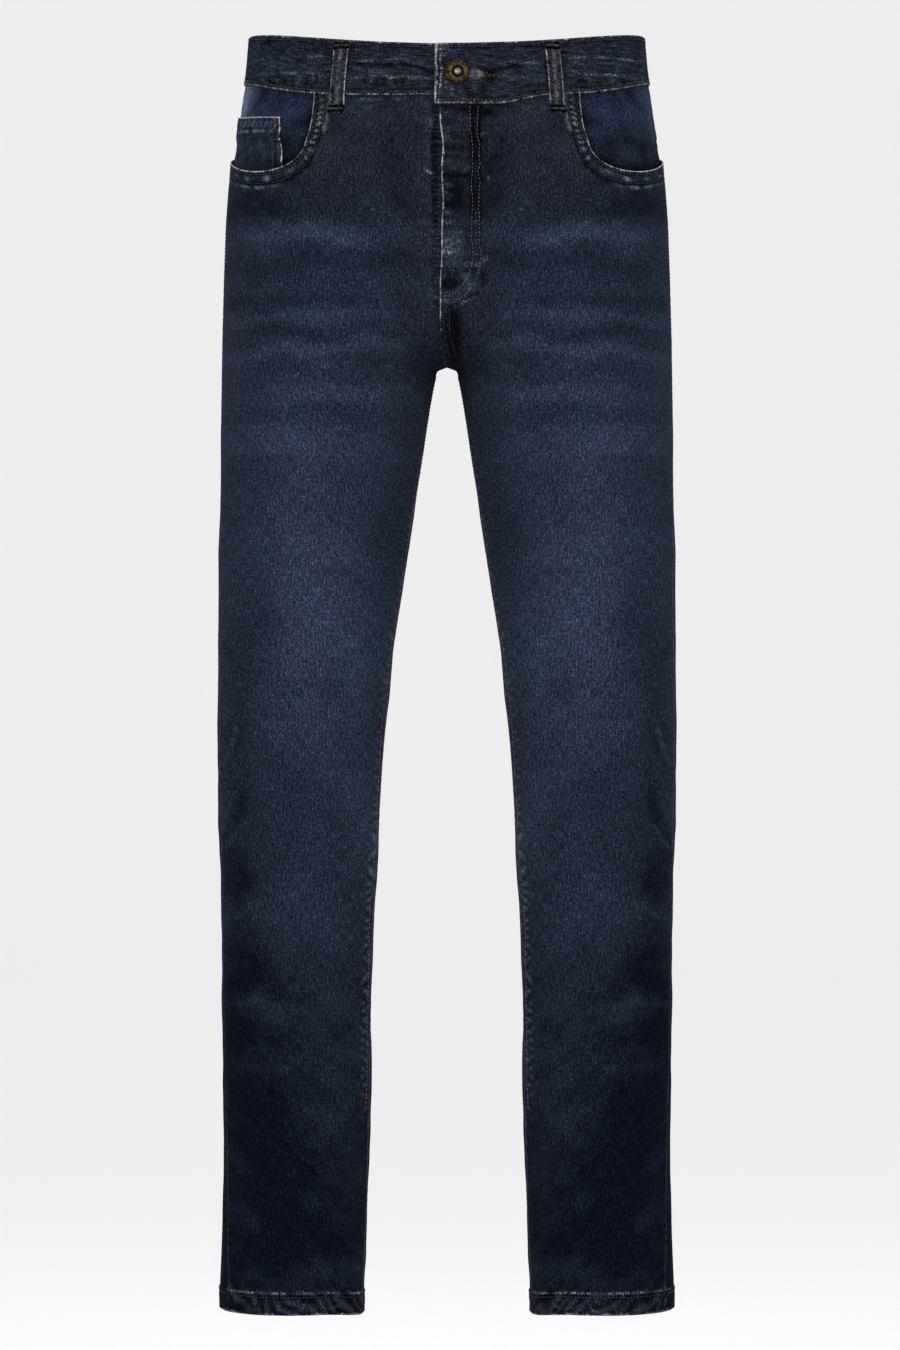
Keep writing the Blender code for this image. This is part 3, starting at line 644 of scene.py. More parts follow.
def shell_mesh(name: str, cloth: Cloth, cells: Optional[Array] = None) -> bpy.types.Object:
    """A closed wall of cloth: face, back, and a rounded edge between them.

    The back is the face moved in by the thickness, and the edge's middle row stands off the cloth by a
    share of it. The weave's UV map and the wear, edge, shade and inside values go with the points.

    Args:
        name: the piece's name.
        cloth: the grid.
        cells: which cells are cloth, or None for all.

    Returns:
        The new object, linked to the scene.
    """
    face = cloth.face_points()
    back = face - cloth.normal * cloth.thick[..., None]
    rows, columns = face.shape[:2]
    if cells is None:
        cells = np.ones((rows - 1, columns - 1), bool)
    away = edge_outwards(face, cells)
    away -= cloth.normal * np.sum(away * cloth.normal, axis=-1, keepdims=True)
    away /= np.maximum(np.linalg.norm(away, axis=-1, keepdims=True), 1e-9)
    middle = (face + back) / 2 + away * (ROUNDING * cloth.thick)[..., None]
    count = rows * columns
    index = np.arange(count).reshape(rows, columns)
    loops = [index[:-1, :-1], index[1:, :-1], index[1:, 1:], index[:-1, 1:]]
    present = np.pad(cells, 1)
    missing = [~present[1:-1, :-2], ~present[2:, 1:-1], ~present[1:-1, 2:], ~present[:-2, 1:-1]]
    front = np.stack([corner[cells] for corner in loops], axis=-1)
    faces = [front, front[:, ::-1] + count]
    for side in range(4):
        open_edge = cells & missing[side]
        a, b = loops[side][open_edge], loops[(side + 1) % 4][open_edge]
        faces.append(np.stack([b, a, a + 2 * count, b + 2 * count], axis=-1))
        faces.append(np.stack([b + 2 * count, a + 2 * count, a + count, b + count], axis=-1))
    quads = np.concatenate(faces)
    points = np.concatenate([face.reshape(-1, 3), back.reshape(-1, 3), middle.reshape(-1, 3)])
    sample = front[len(front) // 2]
    across = points[sample[2]] - points[sample[0]]
    down = points[sample[3]] - points[sample[1]]
    if np.dot(np.cross(across, down), cloth.normal.reshape(-1, 3)[sample[0]]) < 0:
        quads = quads[:, ::-1]
    used, packed = np.unique(quads, return_inverse=True)
    values = {
        "wear": np.tile(cloth.wear.ravel(), 3),
        "edge": np.concatenate([cloth.edge.ravel(), np.zeros(count), np.maximum(cloth.edge.ravel(), 0.0)]),
        "shade": np.tile(cloth.shade.ravel(), 3),
        "soil": np.tile(cloth.soil.ravel(), 3),
        "inside": np.repeat([0.0, 1.0, 0.35], count),
    }
    uv = np.tile(np.stack([cloth.u.ravel(), cloth.v.ravel()], axis=-1), (3, 1))
    return make_mesh(name, points[used], packed.reshape(quads.shape), uv[used],
                     {key: value[used] for key, value in values.items()})


def make_mesh(name: str, points: Array, quads: Array, uv: Optional[Array] = None,
              values: Optional[dict[str, Array]] = None) -> bpy.types.Object:
    """A smooth-shaded object from whole arrays, at the origin.

    Args:
        name: the piece's name.
        points: its points.
        quads: four point numbers for each face, a triangle's last one given twice as -1.
        uv: one pair for each point.
        values: named numbers, one for each point.

    Returns:
        The new object, linked to the scene.
    """
    mesh = bpy.data.meshes.new(name)
    corners = quads >= 0
    sizes = corners.sum(axis=1)
    flat = quads[corners].astype(np.int32)
    mesh.vertices.add(len(points))
    mesh.vertices.foreach_set("co", points.astype(np.float32).ravel())
    mesh.loops.add(len(flat))
    mesh.loops.foreach_set("vertex_index", flat)
    mesh.polygons.add(len(quads))
    mesh.polygons.foreach_set("loop_start", np.concatenate([[0], np.cumsum(sizes)[:-1]]).astype(np.int32))
    mesh.polygons.foreach_set("use_smooth", np.ones(len(quads), bool))
    mesh.update(calc_edges=True)
    mesh.validate()
    if uv is not None:
        layer = mesh.uv_layers.new(name="cloth")
        layer.data.foreach_set("uv", uv[flat].astype(np.float32).ravel())
    for key, value in (values or {}).items():
        attribute = mesh.attributes.new(key, "FLOAT", "POINT")
        attribute.data.foreach_set("value", value.astype(np.float32))
    obj = bpy.data.objects.new(name, mesh)
    bpy.context.scene.collection.objects.link(obj)
    return obj


# ---------------------------------------------------------------- finishes

Colour = tuple[float, float, float]


class NodeBench:
    """A material's node tree, with short words for adding to it."""

    def __init__(self, name: str) -> None:
        """Starts an empty material with its shader.

        Args:
            name: the finish's name.
        """
        self.material = bpy.data.materials.new(name)
        self.material.use_nodes = True
        self.tree = self.material.node_tree
        self.shader = self.tree.nodes["Principled BSDF"]

    def add(self, kind: str, **values: object) -> bpy.types.Node:
        """A new node with its properties set."""
        node = self.tree.nodes.new(kind)
        for key, value in values.items():
            setattr(node, key, value)
        return node

    def feed(self, socket: bpy.types.NodeSocket, value: object) -> None:
        """Links a socket to another, or sets its value."""
        if isinstance(value, bpy.types.NodeSocket):
            self.tree.links.new(value, socket)
        elif isinstance(value, tuple) and len(value) == 3 and socket.type == "RGBA":
            socket.default_value = (*value, 1.0)
        else:
            socket.default_value = value

    def maths(self, kind: str, a: object, b: object = 0.0, clamp: bool = False) -> bpy.types.NodeSocket:
        """One operation on two numbers or sockets."""
        node = self.add("ShaderNodeMath", operation=kind, use_clamp=clamp)
        self.feed(node.inputs[0], a)
        self.feed(node.inputs[1], b)
        return node.outputs[0]

    def plus(self, a: object, b: object, clamp: bool = False) -> bpy.types.NodeSocket:
        """The sum of two numbers or sockets."""
        return self.maths("ADD", a, b, clamp)

    def less(self, a: object, b: object, clamp: bool = False) -> bpy.types.NodeSocket:
        """The first number or socket less the second."""
        return self.maths("SUBTRACT", a, b, clamp)

    def times(self, a: object, b: object) -> bpy.types.NodeSocket:
        """The product of two numbers or sockets."""
        return self.maths("MULTIPLY", a, b)

    def lit(self, colour: object, light: bpy.types.NodeSocket) -> bpy.types.NodeSocket:
        """A colour times a number."""
        node = self.add("ShaderNodeVectorMath", operation="SCALE")
        self.feed(node.inputs[0], colour)
        self.feed(node.inputs["Scale"], light)
        return node.outputs[0]

    def surface(self, **values: object) -> None:
        """Feeds the shader's sockets, named with underscores for their spaces."""
        for key, value in values.items():
            self.feed(self.shader.inputs[key.replace("_", " ")], value)

    def ramp(self, value: object, low: float, high: float, start: float = 0.0,
             end: float = 1.0) -> bpy.types.NodeSocket:
        """Maps low..high to start..end with a smooth, held ease."""
        node = self.add("ShaderNodeMapRange", interpolation_type="SMOOTHSTEP")
        for key, number in (("Value", value), ("From Min", low), ("From Max", high), ("To Min", start),
                            ("To Max", end)):
            self.feed(node.inputs[key], number)
        return node.outputs[0]

    def blend(self, share: object, a: object, b: object, mode: str = "MIX") -> bpy.types.NodeSocket:
        """Mixes two colours."""
        node = self.add("ShaderNodeMix", data_type="RGBA", blend_type=mode)
        self.feed(node.inputs["Factor"], share)
        self.feed(node.inputs[6], a)
        self.feed(node.inputs[7], b)
        return node.outputs[2]

    def noise(self, vector: object, scale: float, detail: float = 2.0, rough: float = 0.5) -> bpy.types.NodeSocket:
        """A noise texture's value."""
        node = self.add("ShaderNodeTexNoise")
        self.feed(node.inputs["Vector"], vector)
        self.feed(node.inputs["Scale"], scale)
        self.feed(node.inputs["Detail"], detail)
        self.feed(node.inputs["Roughness"], rough)
        return node.outputs["Fac"]

    def value(self, name: str) -> bpy.types.NodeSocket:
        """A number that the mesh carries at each point."""
        return self.add("ShaderNodeAttribute", attribute_name=name).outputs["Fac"]

    def scaled(self, vector: object, across: float, along: float, turn: float = 0.0) -> bpy.types.NodeSocket:
        """Weave coordinates turned, then stretched by so many repeats a metre each way."""
        node = self.add("ShaderNodeMapping", vector_type="POINT")
        self.feed(node.inputs["Vector"], vector)
        node.inputs["Rotation"].default_value = (0.0, 0.0, turn)
        node.inputs["Scale"].default_value = (across, along, 1.0)
        return node.outputs[0]

    def bump(self, height: object, distance: float, strength: float,
             normal: Optional[bpy.types.NodeSocket] = None) -> bpy.types.NodeSocket:
        """Small relief from a value."""
        node = self.add("ShaderNodeBump")
        node.inputs["Distance"].default_value = distance
        node.inputs["Strength"].default_value = strength
        self.feed(node.inputs["Height"], height)
        if normal is not None:
            self.feed(node.inputs["Normal"], normal)
        return node.outputs[0]


@dataclass(frozen=True)
class DenimFinish:
    """Indigo twill: dark warp with pale weft flecks, washed out where it is worn, and darkened by painted shade.

    Attributes:
        name: the material's name.
        deep: the unwashed indigo.
        washed: the indigo where it is worn.
        pale: the indigo where it is worn most.
        yarn: the white yarn's core, which shows in flecks and on bare edges.
        reverse: the cloth's inner face.
        contrast: how much the yarns differ from each other.
    """

    name: str = "indigo denim"
    deep: Colour = (0.0020, 0.0030, 0.0078)
    washed: Colour = (0.0250, 0.0340, 0.0578)
    pale: Colour = (0.090, 0.108, 0.140)
    yarn: Colour = (0.31, 0.325, 0.335)
    reverse: Colour = (0.060, 0.074, 0.105)
    contrast: float = 7.2

    def yarns(self, bench: NodeBench, weave: bpy.types.NodeSocket) -> bpy.types.NodeSocket:
        """The unevenness of the yarns, about 0.5: long slubs, single floats and a finer speckle."""
        slub = bench.noise(bench.scaled(weave, 820.0, 120.0), 1.0, 1.0)
        floats = bench.noise(bench.scaled(weave, 700.0, 440.0), 1.0, 1.0)
        speck = bench.noise(bench.scaled(weave, 1150.0, 850.0), 1.0, 0.0)
        mixed = bench.plus(bench.times(slub, 0.34), bench.times(floats, 0.42))
        return bench.plus(mixed, bench.times(speck, 0.24))

    def build(self) -> bpy.types.Material:
        """The finish as a material."""
        bench = NodeBench(self.name)
        weave = bench.add("ShaderNodeUVMap", uv_map="cloth").outputs[0]
        wear, edge, inside = bench.value("wear"), bench.value("edge"), bench.value("inside")
        shade, soil = bench.value("shade"), bench.value("soil")
        streak = self.yarns(bench, weave)
        patch = bench.noise(bench.scaled(weave, 60.0, 38.0), 1.0, 3.0)
        hue = bench.noise(bench.scaled(weave, 21.0, 13.0), 1.0, 2.0)
        twill = bench.add("ShaderNodeTexWave", wave_type="BANDS", bands_direction="X", wave_profile="SIN")
        bench.feed(twill.inputs["Vector"], bench.scaled(weave, 180.0, 180.0, math.radians(62)))
        twill.inputs["Scale"].default_value = 1.0
        twill.inputs["Distortion"].default_value = 1.2
        line = twill.outputs["Fac"]

        tone = bench.plus(wear, bench.times(bench.less(patch, 0.5), 0.20))
        tone = bench.times(tone, 0.77)
        cloth = bench.blend(bench.plus(tone, 0.0, clamp=True), self.deep, self.washed)
        cloth = bench.blend(bench.less(tone, 1.0, clamp=True), cloth, self.pale)
        tint = bench.blend(bench.ramp(hue, 0.32, 0.68), (1.05, 0.985, 1.02), (0.93, 1.02, 0.99))
        cloth = bench.blend(1.0, cloth, tint, "MULTIPLY")
        cloth = bench.blend(soil, cloth, bench.blend(1.0, cloth, (1.10, 0.97, 0.86), "MULTIPLY"))
        salt = bench.times(bench.less(streak, 0.5), self.contrast)
        salt = bench.maths("MINIMUM", bench.times(bench.maths("EXPONENT", salt), 0.92), 3.4)
        ridge = bench.less(1.16, bench.times(line, 0.32))
        light = bench.times(salt, ridge)
        # painted shade: the mesh's shade value darkens the colour
        unshaded = bench.less(1.0, bench.times(shade, 0.9), clamp=True)
        light = bench.times(light, unshaded)
        cloth = bench.lit(cloth, light)
        fleck = bench.times(bench.ramp(streak, 0.60, 0.80), bench.ramp(tone, 0.0, 0.6, 0.015, 0.075))
        cloth = bench.blend(fleck, cloth, self.yarn)
        broken = bench.noise(bench.scaled(weave, 230.0, 170.0), 1.0, 2.0)
        rubbed = bench.plus(edge, bench.times(bench.less(broken, 0.5), 0.9))
        rubbed = bench.plus(rubbed, bench.times(bench.less(streak, 0.5), 2.0))
        rubbed = bench.times(bench.ramp(rubbed, 0.30, 1.15), bench.ramp(edge, 0.02, 0.25))
        cloth = bench.blend(rubbed, cloth, self.yarn)
        back = bench.lit(self.reverse, salt)
        bench.surface(Base_Color=bench.blend(inside, cloth, back), Roughness=0.9, Specular_IOR_Level=0.015,
                      Sheen_Weight=0.006, Sheen_Roughness=0.4, Sheen_Tint=(0.62, 0.74, 1.0))
        soft = bench.bump(line, 0.25 * MM, 0.5)
        bench.surface(Normal=bench.bump(streak, 0.35 * MM, 0.55, soft))
        return bench.material


@dataclass(frozen=True)
class ThreadFinish:
    """Sewing thread: matt, with a fine twist.

    Attributes:
        name: the material's name.
        colour: the thread's colour.
        worn: its colour where it is rubbed.
    """

    name: str
    colour: Colour
    worn: Colour

    def build(self) -> bpy.types.Material:
        """The finish as a material."""
        bench = NodeBench(self.name)
        place = bench.add("ShaderNodeTexCoord").outputs["Object"]
        patch = bench.noise(place, 330.0, 2.0)
        twist = bench.noise(place, 2600.0, 1.0)
        colour = bench.blend(bench.ramp(patch, 0.4, 0.68), self.colour, self.worn)
        colour = bench.blend(bench.times(twist, 0.4), colour, (0.0, 0.0, 0.0))
        bench.surface(Base_Color=colour, Roughness=0.75, Specular_IOR_Level=0.3,
                      Normal=bench.bump(twist, 0.1 * MM, 0.6))
        return bench.material


@dataclass(frozen=True)
class MetalFinish:
    """Cast metal with dark patina in its hollows, and painted glints in bright specks.

    Attributes:
        name: the material's name.
        bright: the metal where it is rubbed.
        dull: the patina.
        rough: the shader's roughness.
    """

    name: str
    bright: Colour
    dull: Colour
    rough: float

    def build(self) -> bpy.types.Material:
        """The finish as a material."""
        bench = NodeBench(self.name)
        place = bench.add("ShaderNodeTexCoord").outputs["Object"]
        patch = bench.noise(place, 420.0, 4.0, 0.6)
        fine = bench.noise(place, 2100.0, 2.0)
        worn = bench.plus(bench.value("wear"), bench.times(bench.less(patch, 0.5), 2.6))
        colour = bench.blend(bench.ramp(worn, 0.1, 1.15), self.dull, self.bright)
        # Painted glints: specks brighter than the rubbed metal, where it is worn.
        spark = bench.times(bench.ramp(bench.noise(place, 900.0, 2.0), 0.60, 0.72), bench.ramp(worn, 0.4, 1.0))
        colour = bench.blend(bench.times(spark, 0.8), colour, tuple(3.2 * part for part in self.bright))
        bench.surface(Base_Color=colour, Metallic=1.0, Roughness=self.rough,
                      Normal=bench.bump(fine, 0.12 * MM, 0.4))
        return bench.material


class Slot(Enum):
    """The record's material slots."""

    DENIM = "denim"
    FACING = "facing"
    BUTTON = "button"


def dress(obj: bpy.types.Object, material: bpy.types.Material, nodes: Sequence[str] = ()) -> None:
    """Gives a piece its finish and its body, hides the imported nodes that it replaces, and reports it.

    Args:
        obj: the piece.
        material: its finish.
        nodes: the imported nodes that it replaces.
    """
    obj.data.materials.append(material)
    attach(obj, ROOT)
    if nodes:
        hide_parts(*nodes)
    LOG.info("%s: %d faces", obj.name, len(obj.data.polygons))


def cloth_piece(node: str, cloth: Cloth, material: bpy.types.Material,
                cells: Optional[Array] = None) -> bpy.types.Object:
    """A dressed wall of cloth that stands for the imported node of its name."""
    piece = shell_mesh("denim_" + node, cloth, cells)
    dress(piece, material, [node])
    return piece


# ---------------------------------------------------------------- wash and folds


@dataclass(frozen=True)
class Fade:
    """A soft washed or dark patch of the cloth, an oval bell in millimetres.

    Attributes:
        across: distance of its middle from the centre of the jeans.
        height: height of its middle.
        wide: half its width.
        tall: half its height.
        turn: how far it is turned, in degrees, rising outwards.
        amount: how much it washes out, or darkens below zero.
    """

    across: float
    height: float
    wide: float
    tall: float
    turn: float
    amount: float


# The wash of one leg's front, the same on the other
FRONT_FADES = tuple(Fade(*row) for row in (
    # the seat: dark beside the fly and under the pocket, then whiskers down the thigh
    (42, -96, 20, 74, 0, -0.15), (150, -118, 52, 17, -2, -0.20), (100, -128, 78, 8, 0, -0.12),
    (118, -147, 74, 8, 2, 0.42), (112, -171, 84, 9, -2, -0.22), (120, -186, 78, 5, 3, -0.07),
    (106, -202, 80, 5, 2, -0.18), (118, -214, 76, 5.5, -3, 0.26), (110, -227, 82, 5, 2, -0.14),
    (108, -240, 78, 6, -4, 0.34), (112, -262, 80, 6, 3, -0.06), (104, -278, 76, 9, -2, 0.34),
    (100, -318, 76, 20, 4, 0.30), (112, -352, 80, 13, 0, 0.12),
    # thigh
    (118, -430, 46, 70, 14, 0.34), (104, -500, 40, 60, 10, 0.26), (112, -585, 44, 56, 0, 0.24),
    (160, -475, 26, 60, 0, -0.12), (62, -380, 26, 60, 0, -0.08),
    # knee; the pale bells along its inner rim, here and down the shin, are partly wash and partly painted light on
    # that rim
    (133, -622, 18, 32, 0, -0.12), (180, -650, 16, 56, 0, -0.14), (100, -645, 26, 50, 0, 0.10),
    (66, -640, 15, 70, 0, 0.42), (72, -840, 12, 80, 0, 0.12), (112, -705, 32, 32, 8, 0.18),
    (166, -746, 22, 26, 0, -0.10), (148, -778, 34, 6, 0, 0.06), (140, -808, 50, 16, 0, -0.06),
    # shin
    (118, -860, 42, 50, 0, 0.05), (150, -935, 28, 80, 10, -0.05), (92, -915, 24, 80, -8, 0.04),
    (112, -985, 60, 40, 0, -0.05),
    # slow clouds of the wash down the leg
    (150, -469, 26, 26, 0, -0.27), (58, -490, 24, 52, 0, 0.24), (86, -468, 18, 24, 0, 0.12),
    (72, -520, 26, 22, 0, 0.08), (46, -495, 12, 40, 0, 0.10), (115, -518, 26, 24, 0, -0.10),
    (112, -600, 20, 32, 0, -0.10), (118, -664, 18, 22, 0, 0.16), (168, -664, 20, 22, 0, -0.16),
    (152, -712, 24, 24, 0, -0.08), (178, -788, 18, 42, 0, -0.22), (94, -813, 36, 22, 0, 0.20),
    (152, -862, 26, 22, 0, -0.22), (150, -812, 24, 20, 0, 0.09), (94, -862, 16, 24, 0, 0.16),
    (180, -911, 16, 24, 0, 0.12), (128, -911, 22, 24, 0, -0.03), (72, -930, 14, 48, 0, 0.09),
    (168, -958, 14, 22, 0, 0.14), (100, -998, 60, 17, 0, 0.22), (120, -1026, 90, 9, 0, 0.14),
    (72, -1000, 20, 18, 0, 0.09),
))
# The same for the back: the seat, the backs of the thighs and the calves
BACK_FADES = tuple(Fade(*row) for row in (
    (92, -165, 62, 60, 0, 0.24), (95, -265, 70, 12, -6, 0.14), (95, -292, 66, 8, -6, -0.10),
    (100, -330, 70, 30, 0, 0.14), (112, -440, 50, 90, 0, 0.20), (120, -600, 50, 10, 6, 0.14),
    (118, -625, 50, 8, 8, -0.12), (118, -655, 50, 9, -5, 0.14), (120, -760, 40, 70, 0, 0.14),
    (120, -900, 36, 60, 0, 0.06),
))
# The cloth's general tone down the leg: height in millimetres and wear
TONE_COLUMNS = ("height", "wear")
TONE = (
    (40, 0.40), (-60, 0.385), (-110, 0.395), (-150, 0.48), (-200, 0.53), (-300, 0.56), (-420, 0.58), (-500, 0.53),
    (-560, 0.42), (-640, 0.41), (-700, 0.36), (-760, 0.27), (-820, 0.14), (-900, 0.05), (-1010, 0.01), (-1060, 0.01),
)
TONES = Table(TONE_COLUMNS, TONE, plain=("wear",))


def washed(fades: Sequence[Fade], across: Array, height: Array) -> Array:
    """The wear at points of a panel: the tone at that height plus every fade's bell, wavered by soft waves.

    Args:
        fades: the panel's fades.
        across: distances from the centre of the jeans.
        height: heights.

    Returns:
        The wear.
    """
    wear = TONES.at("wear", height)
    rim = rise(across, 148, 32) * drop(height, -100, 60)
    wear = wear - 0.02 * rim * rise(height, -860, 120)
    bend = Waves(90, 5).at(across, height) * 2.2 * MM
    for fade in fades:
        turn = math.radians(fade.turn)
        x, z = across - fade.across * MM, height + bend - fade.height * MM
        along = (x * math.cos(turn) + z * math.sin(turn)) / (fade.wide * MM)
        over = (z * math.cos(turn) - x * math.sin(turn)) / (fade.tall * MM)
        wear = wear + fade.amount * np.exp(-(np.abs(along) ** 2.6) - over**2)
    return wear + 0.035 * Waves(34, 8).at(across, height) + 0.03 * Waves(14, 9).at(across, height)


@dataclass(frozen=True)
class Crease:
    """A fold: a soft trough with a lower ridge beside it, along a bowed line on the panel.

    Attributes:
        start: the line's start, as distance from the side seam and height, in millimetres.
        end: its end.
        bow: how far its middle is bowed to the side, in millimetres.
        width: half the trough's width, in millimetres.
        depth: its depth, in millimetres, or a ridge's height below zero.
    """

    start: tuple[float, float]
    end: tuple[float, float]
    bow: float
    width: float
    depth: float

    def relief(self, u: Array, v: Array) -> Array:
        """Height of the cloth over this fold, in metres.

        The distance to the nearest of the curve's points gives a bell for the trough, and a second one
        beside it gives the ridge; both fade towards the curve's ends.
        """
        t = np.linspace(0.0, 1.0, 25)
        start, end = np.array(self.start) * MM, np.array(self.end) * MM
        run = end - start
        across = np.array([-run[1], run[0]]) / np.linalg.norm(run)
        curve = start + run * t[:, None] + across * (np.sin(np.pi * t) * self.bow * MM)[:, None]
        margin = np.array([[-1], [1]]) * 4.5 * self.width * MM
        box = np.array([curve.min(axis=0), curve.max(axis=0)]) + margin
        near = (u > box[0, 0]) & (u < box[1, 0]) & (v > box[0, 1]) & (v < box[1, 1])
        relief = np.zeros(u.shape)
        if not near.any():
            return relief
        du = u[near][:, None] - curve[:, 0]
        dv = v[near][:, None] - curve[:, 1]
        nearest = np.argmin(du**2 + dv**2, axis=1)
        rows = np.arange(len(nearest))
        du, dv, along = du[rows, nearest], dv[rows, nearest], t[nearest]
        off = du * across[0] + dv * across[1]
        away = np.hypot(du, dv)
        taper = np.sin(np.pi * (0.04 + 0.92 * along)) ** 0.8
        width = self.width * MM * (0.75 + 0.5 * taper)
        trough = np.exp(-np.square(away / width))
        beyond = np.maximum(away - 3 * width, 0)
        ridge = np.exp(-np.square((off - 1.9 * width) / width) - np.square(beyond / width))
        relief[near] = self.depth * MM * taper * (0.55 * ridge - trough)
        return relief


# Folds of one front leg, the same on the other, by distance from the side seam
FRONT_CREASES = tuple(Crease(*row) for row in (
    ((8, -150), (150, -168), 8, 9, 0.8), ((6, -196), (160, -206), -8, 9, 0.8),
    ((10, -236), (165, -242), 10, 9, 0.9), ((14, -280), (150, -292), -9, 11, 0.9),
    ((16, -345), (120, -352), 7, 12, 0.8), ((170, -262), (120, -330), 8, 9, 0.9),
    ((176, -300), (110, -420), -8, 12, 0.9), ((4, -585), (36, -520), -6, 7, 1.3),
    ((4, -655), (42, -585), -8, 7, 1.6), ((10, -700), (70, -672), 6, 9, 1.0),
    ((6, -795), (90, -806), -5, 8, 1.1), ((4, -765), (54, -758), 4, 6, 0.9),
    ((90, -826), (166, -790), 6, 9, 0.8), ((130, -700), (176, -650), 7, 9, 0.8),
    ((132, -640), (176, -600), 6, 8, 0.7), ((20, -880), (60, -960), 9, 13, 1.0),
    ((100, -880), (60, -985), -8, 14, 0.9), ((140, -900), (168, -860), 4, 8, 0.7),
    ((6, -985), (50, -1000), 4, 8, 0.7),
))
# Folds of one back leg, the same on the other
BACK_CREASES = tuple(Crease(*row) for row in (
    ((250, -262), (90, -285), -14, 9, 2.4), ((255, -284), (120, -312), -12, 8, 1.8),
    ((240, -246), (150, -262), -6, 7, 1.2), ((60, -300), (190, -330), 10, 12, 1.3),
    ((20, -590), (190, -612), 8, 8, 1.9), ((30, -640), (180, -622), -8, 8, 2.1),
    ((16, -668), (170, -662), 9, 9, 1.8), ((40, -700), (190, -690), -8, 10, 1.5),
    ((30, -560), (150, -566), 6, 9, 1.1), ((20, -800), (110, -770), 7, 11, 1.1),
    ((180, -810), (90, -850), -8, 12, 1.1), ((30, -920), (130, -940), 8, 13, 1.1),
    ((180, -960), (80, -985), -6, 11, 0.9),
))


def folded(creases: Sequence[Crease], u: Array, v: Array) -> Array:
    """The relief of all the creases, with the cloth's soft unevenness."""
    relief = sum((crease.relief(u, v) for crease in creases), np.zeros(u.shape))
    return relief + 0.35 * MM * Waves(95, 21).at(u, v) + 0.12 * MM * Waves(30, 22).at(u, v)


@dataclass(frozen=True)
class Roping:
    """The puckered strip beside a seam: two layers thick, dented under its sewing, with ripples across it.

    Attributes:
        rows: distances of its rows of sewing from the edge.
        ripple: height of its ripples.
        pitch: distance from ripple to ripple.
        slant: how far a ripple leans along the seam for each length across it.
        proud: how far the doubled strip stands out.
        seed: the seed of its unevenness.
    """

    rows: tuple[float, ...]
    ripple: float = 0.30 * MM
    pitch: float = 8.5 * MM
    slant: float = 0.6
    proud: float = 0.5 * MM
    seed: int = 3

    def relief(self, away: Array, along: Array) -> Array:
        """Height of the strip.

        A flat doubled strip as far as the last row, less a bell-shaped dent at each row, plus a sine
        along the seam whose phase leans and wanders, strongest between the rows.

        Args:
            away: distances from the seam's edge, below zero off the strip.
            along: distances along the seam.

        Returns:
            Heights in metres.
        """
        last = self.rows[-1]
        strip = plateau(away, -4 * MM, last, 1.6 * MM)
        dent = sum(hump(away - row, 0, 0.9) for row in self.rows)
        wander = 2.2 * Waves(38, self.seed).at(along, away)
        wave = ripples(along + self.slant * away, self.pitch, wander)
        swell = 0.6 + 0.4 * Waves(60, self.seed + 1).along(along)
        reach = plateau(away, -4 * MM, last + 3 * MM, 6 * MM)
        return self.proud * strip - 0.28 * MM * dent + self.ripple * swell * wave * reach
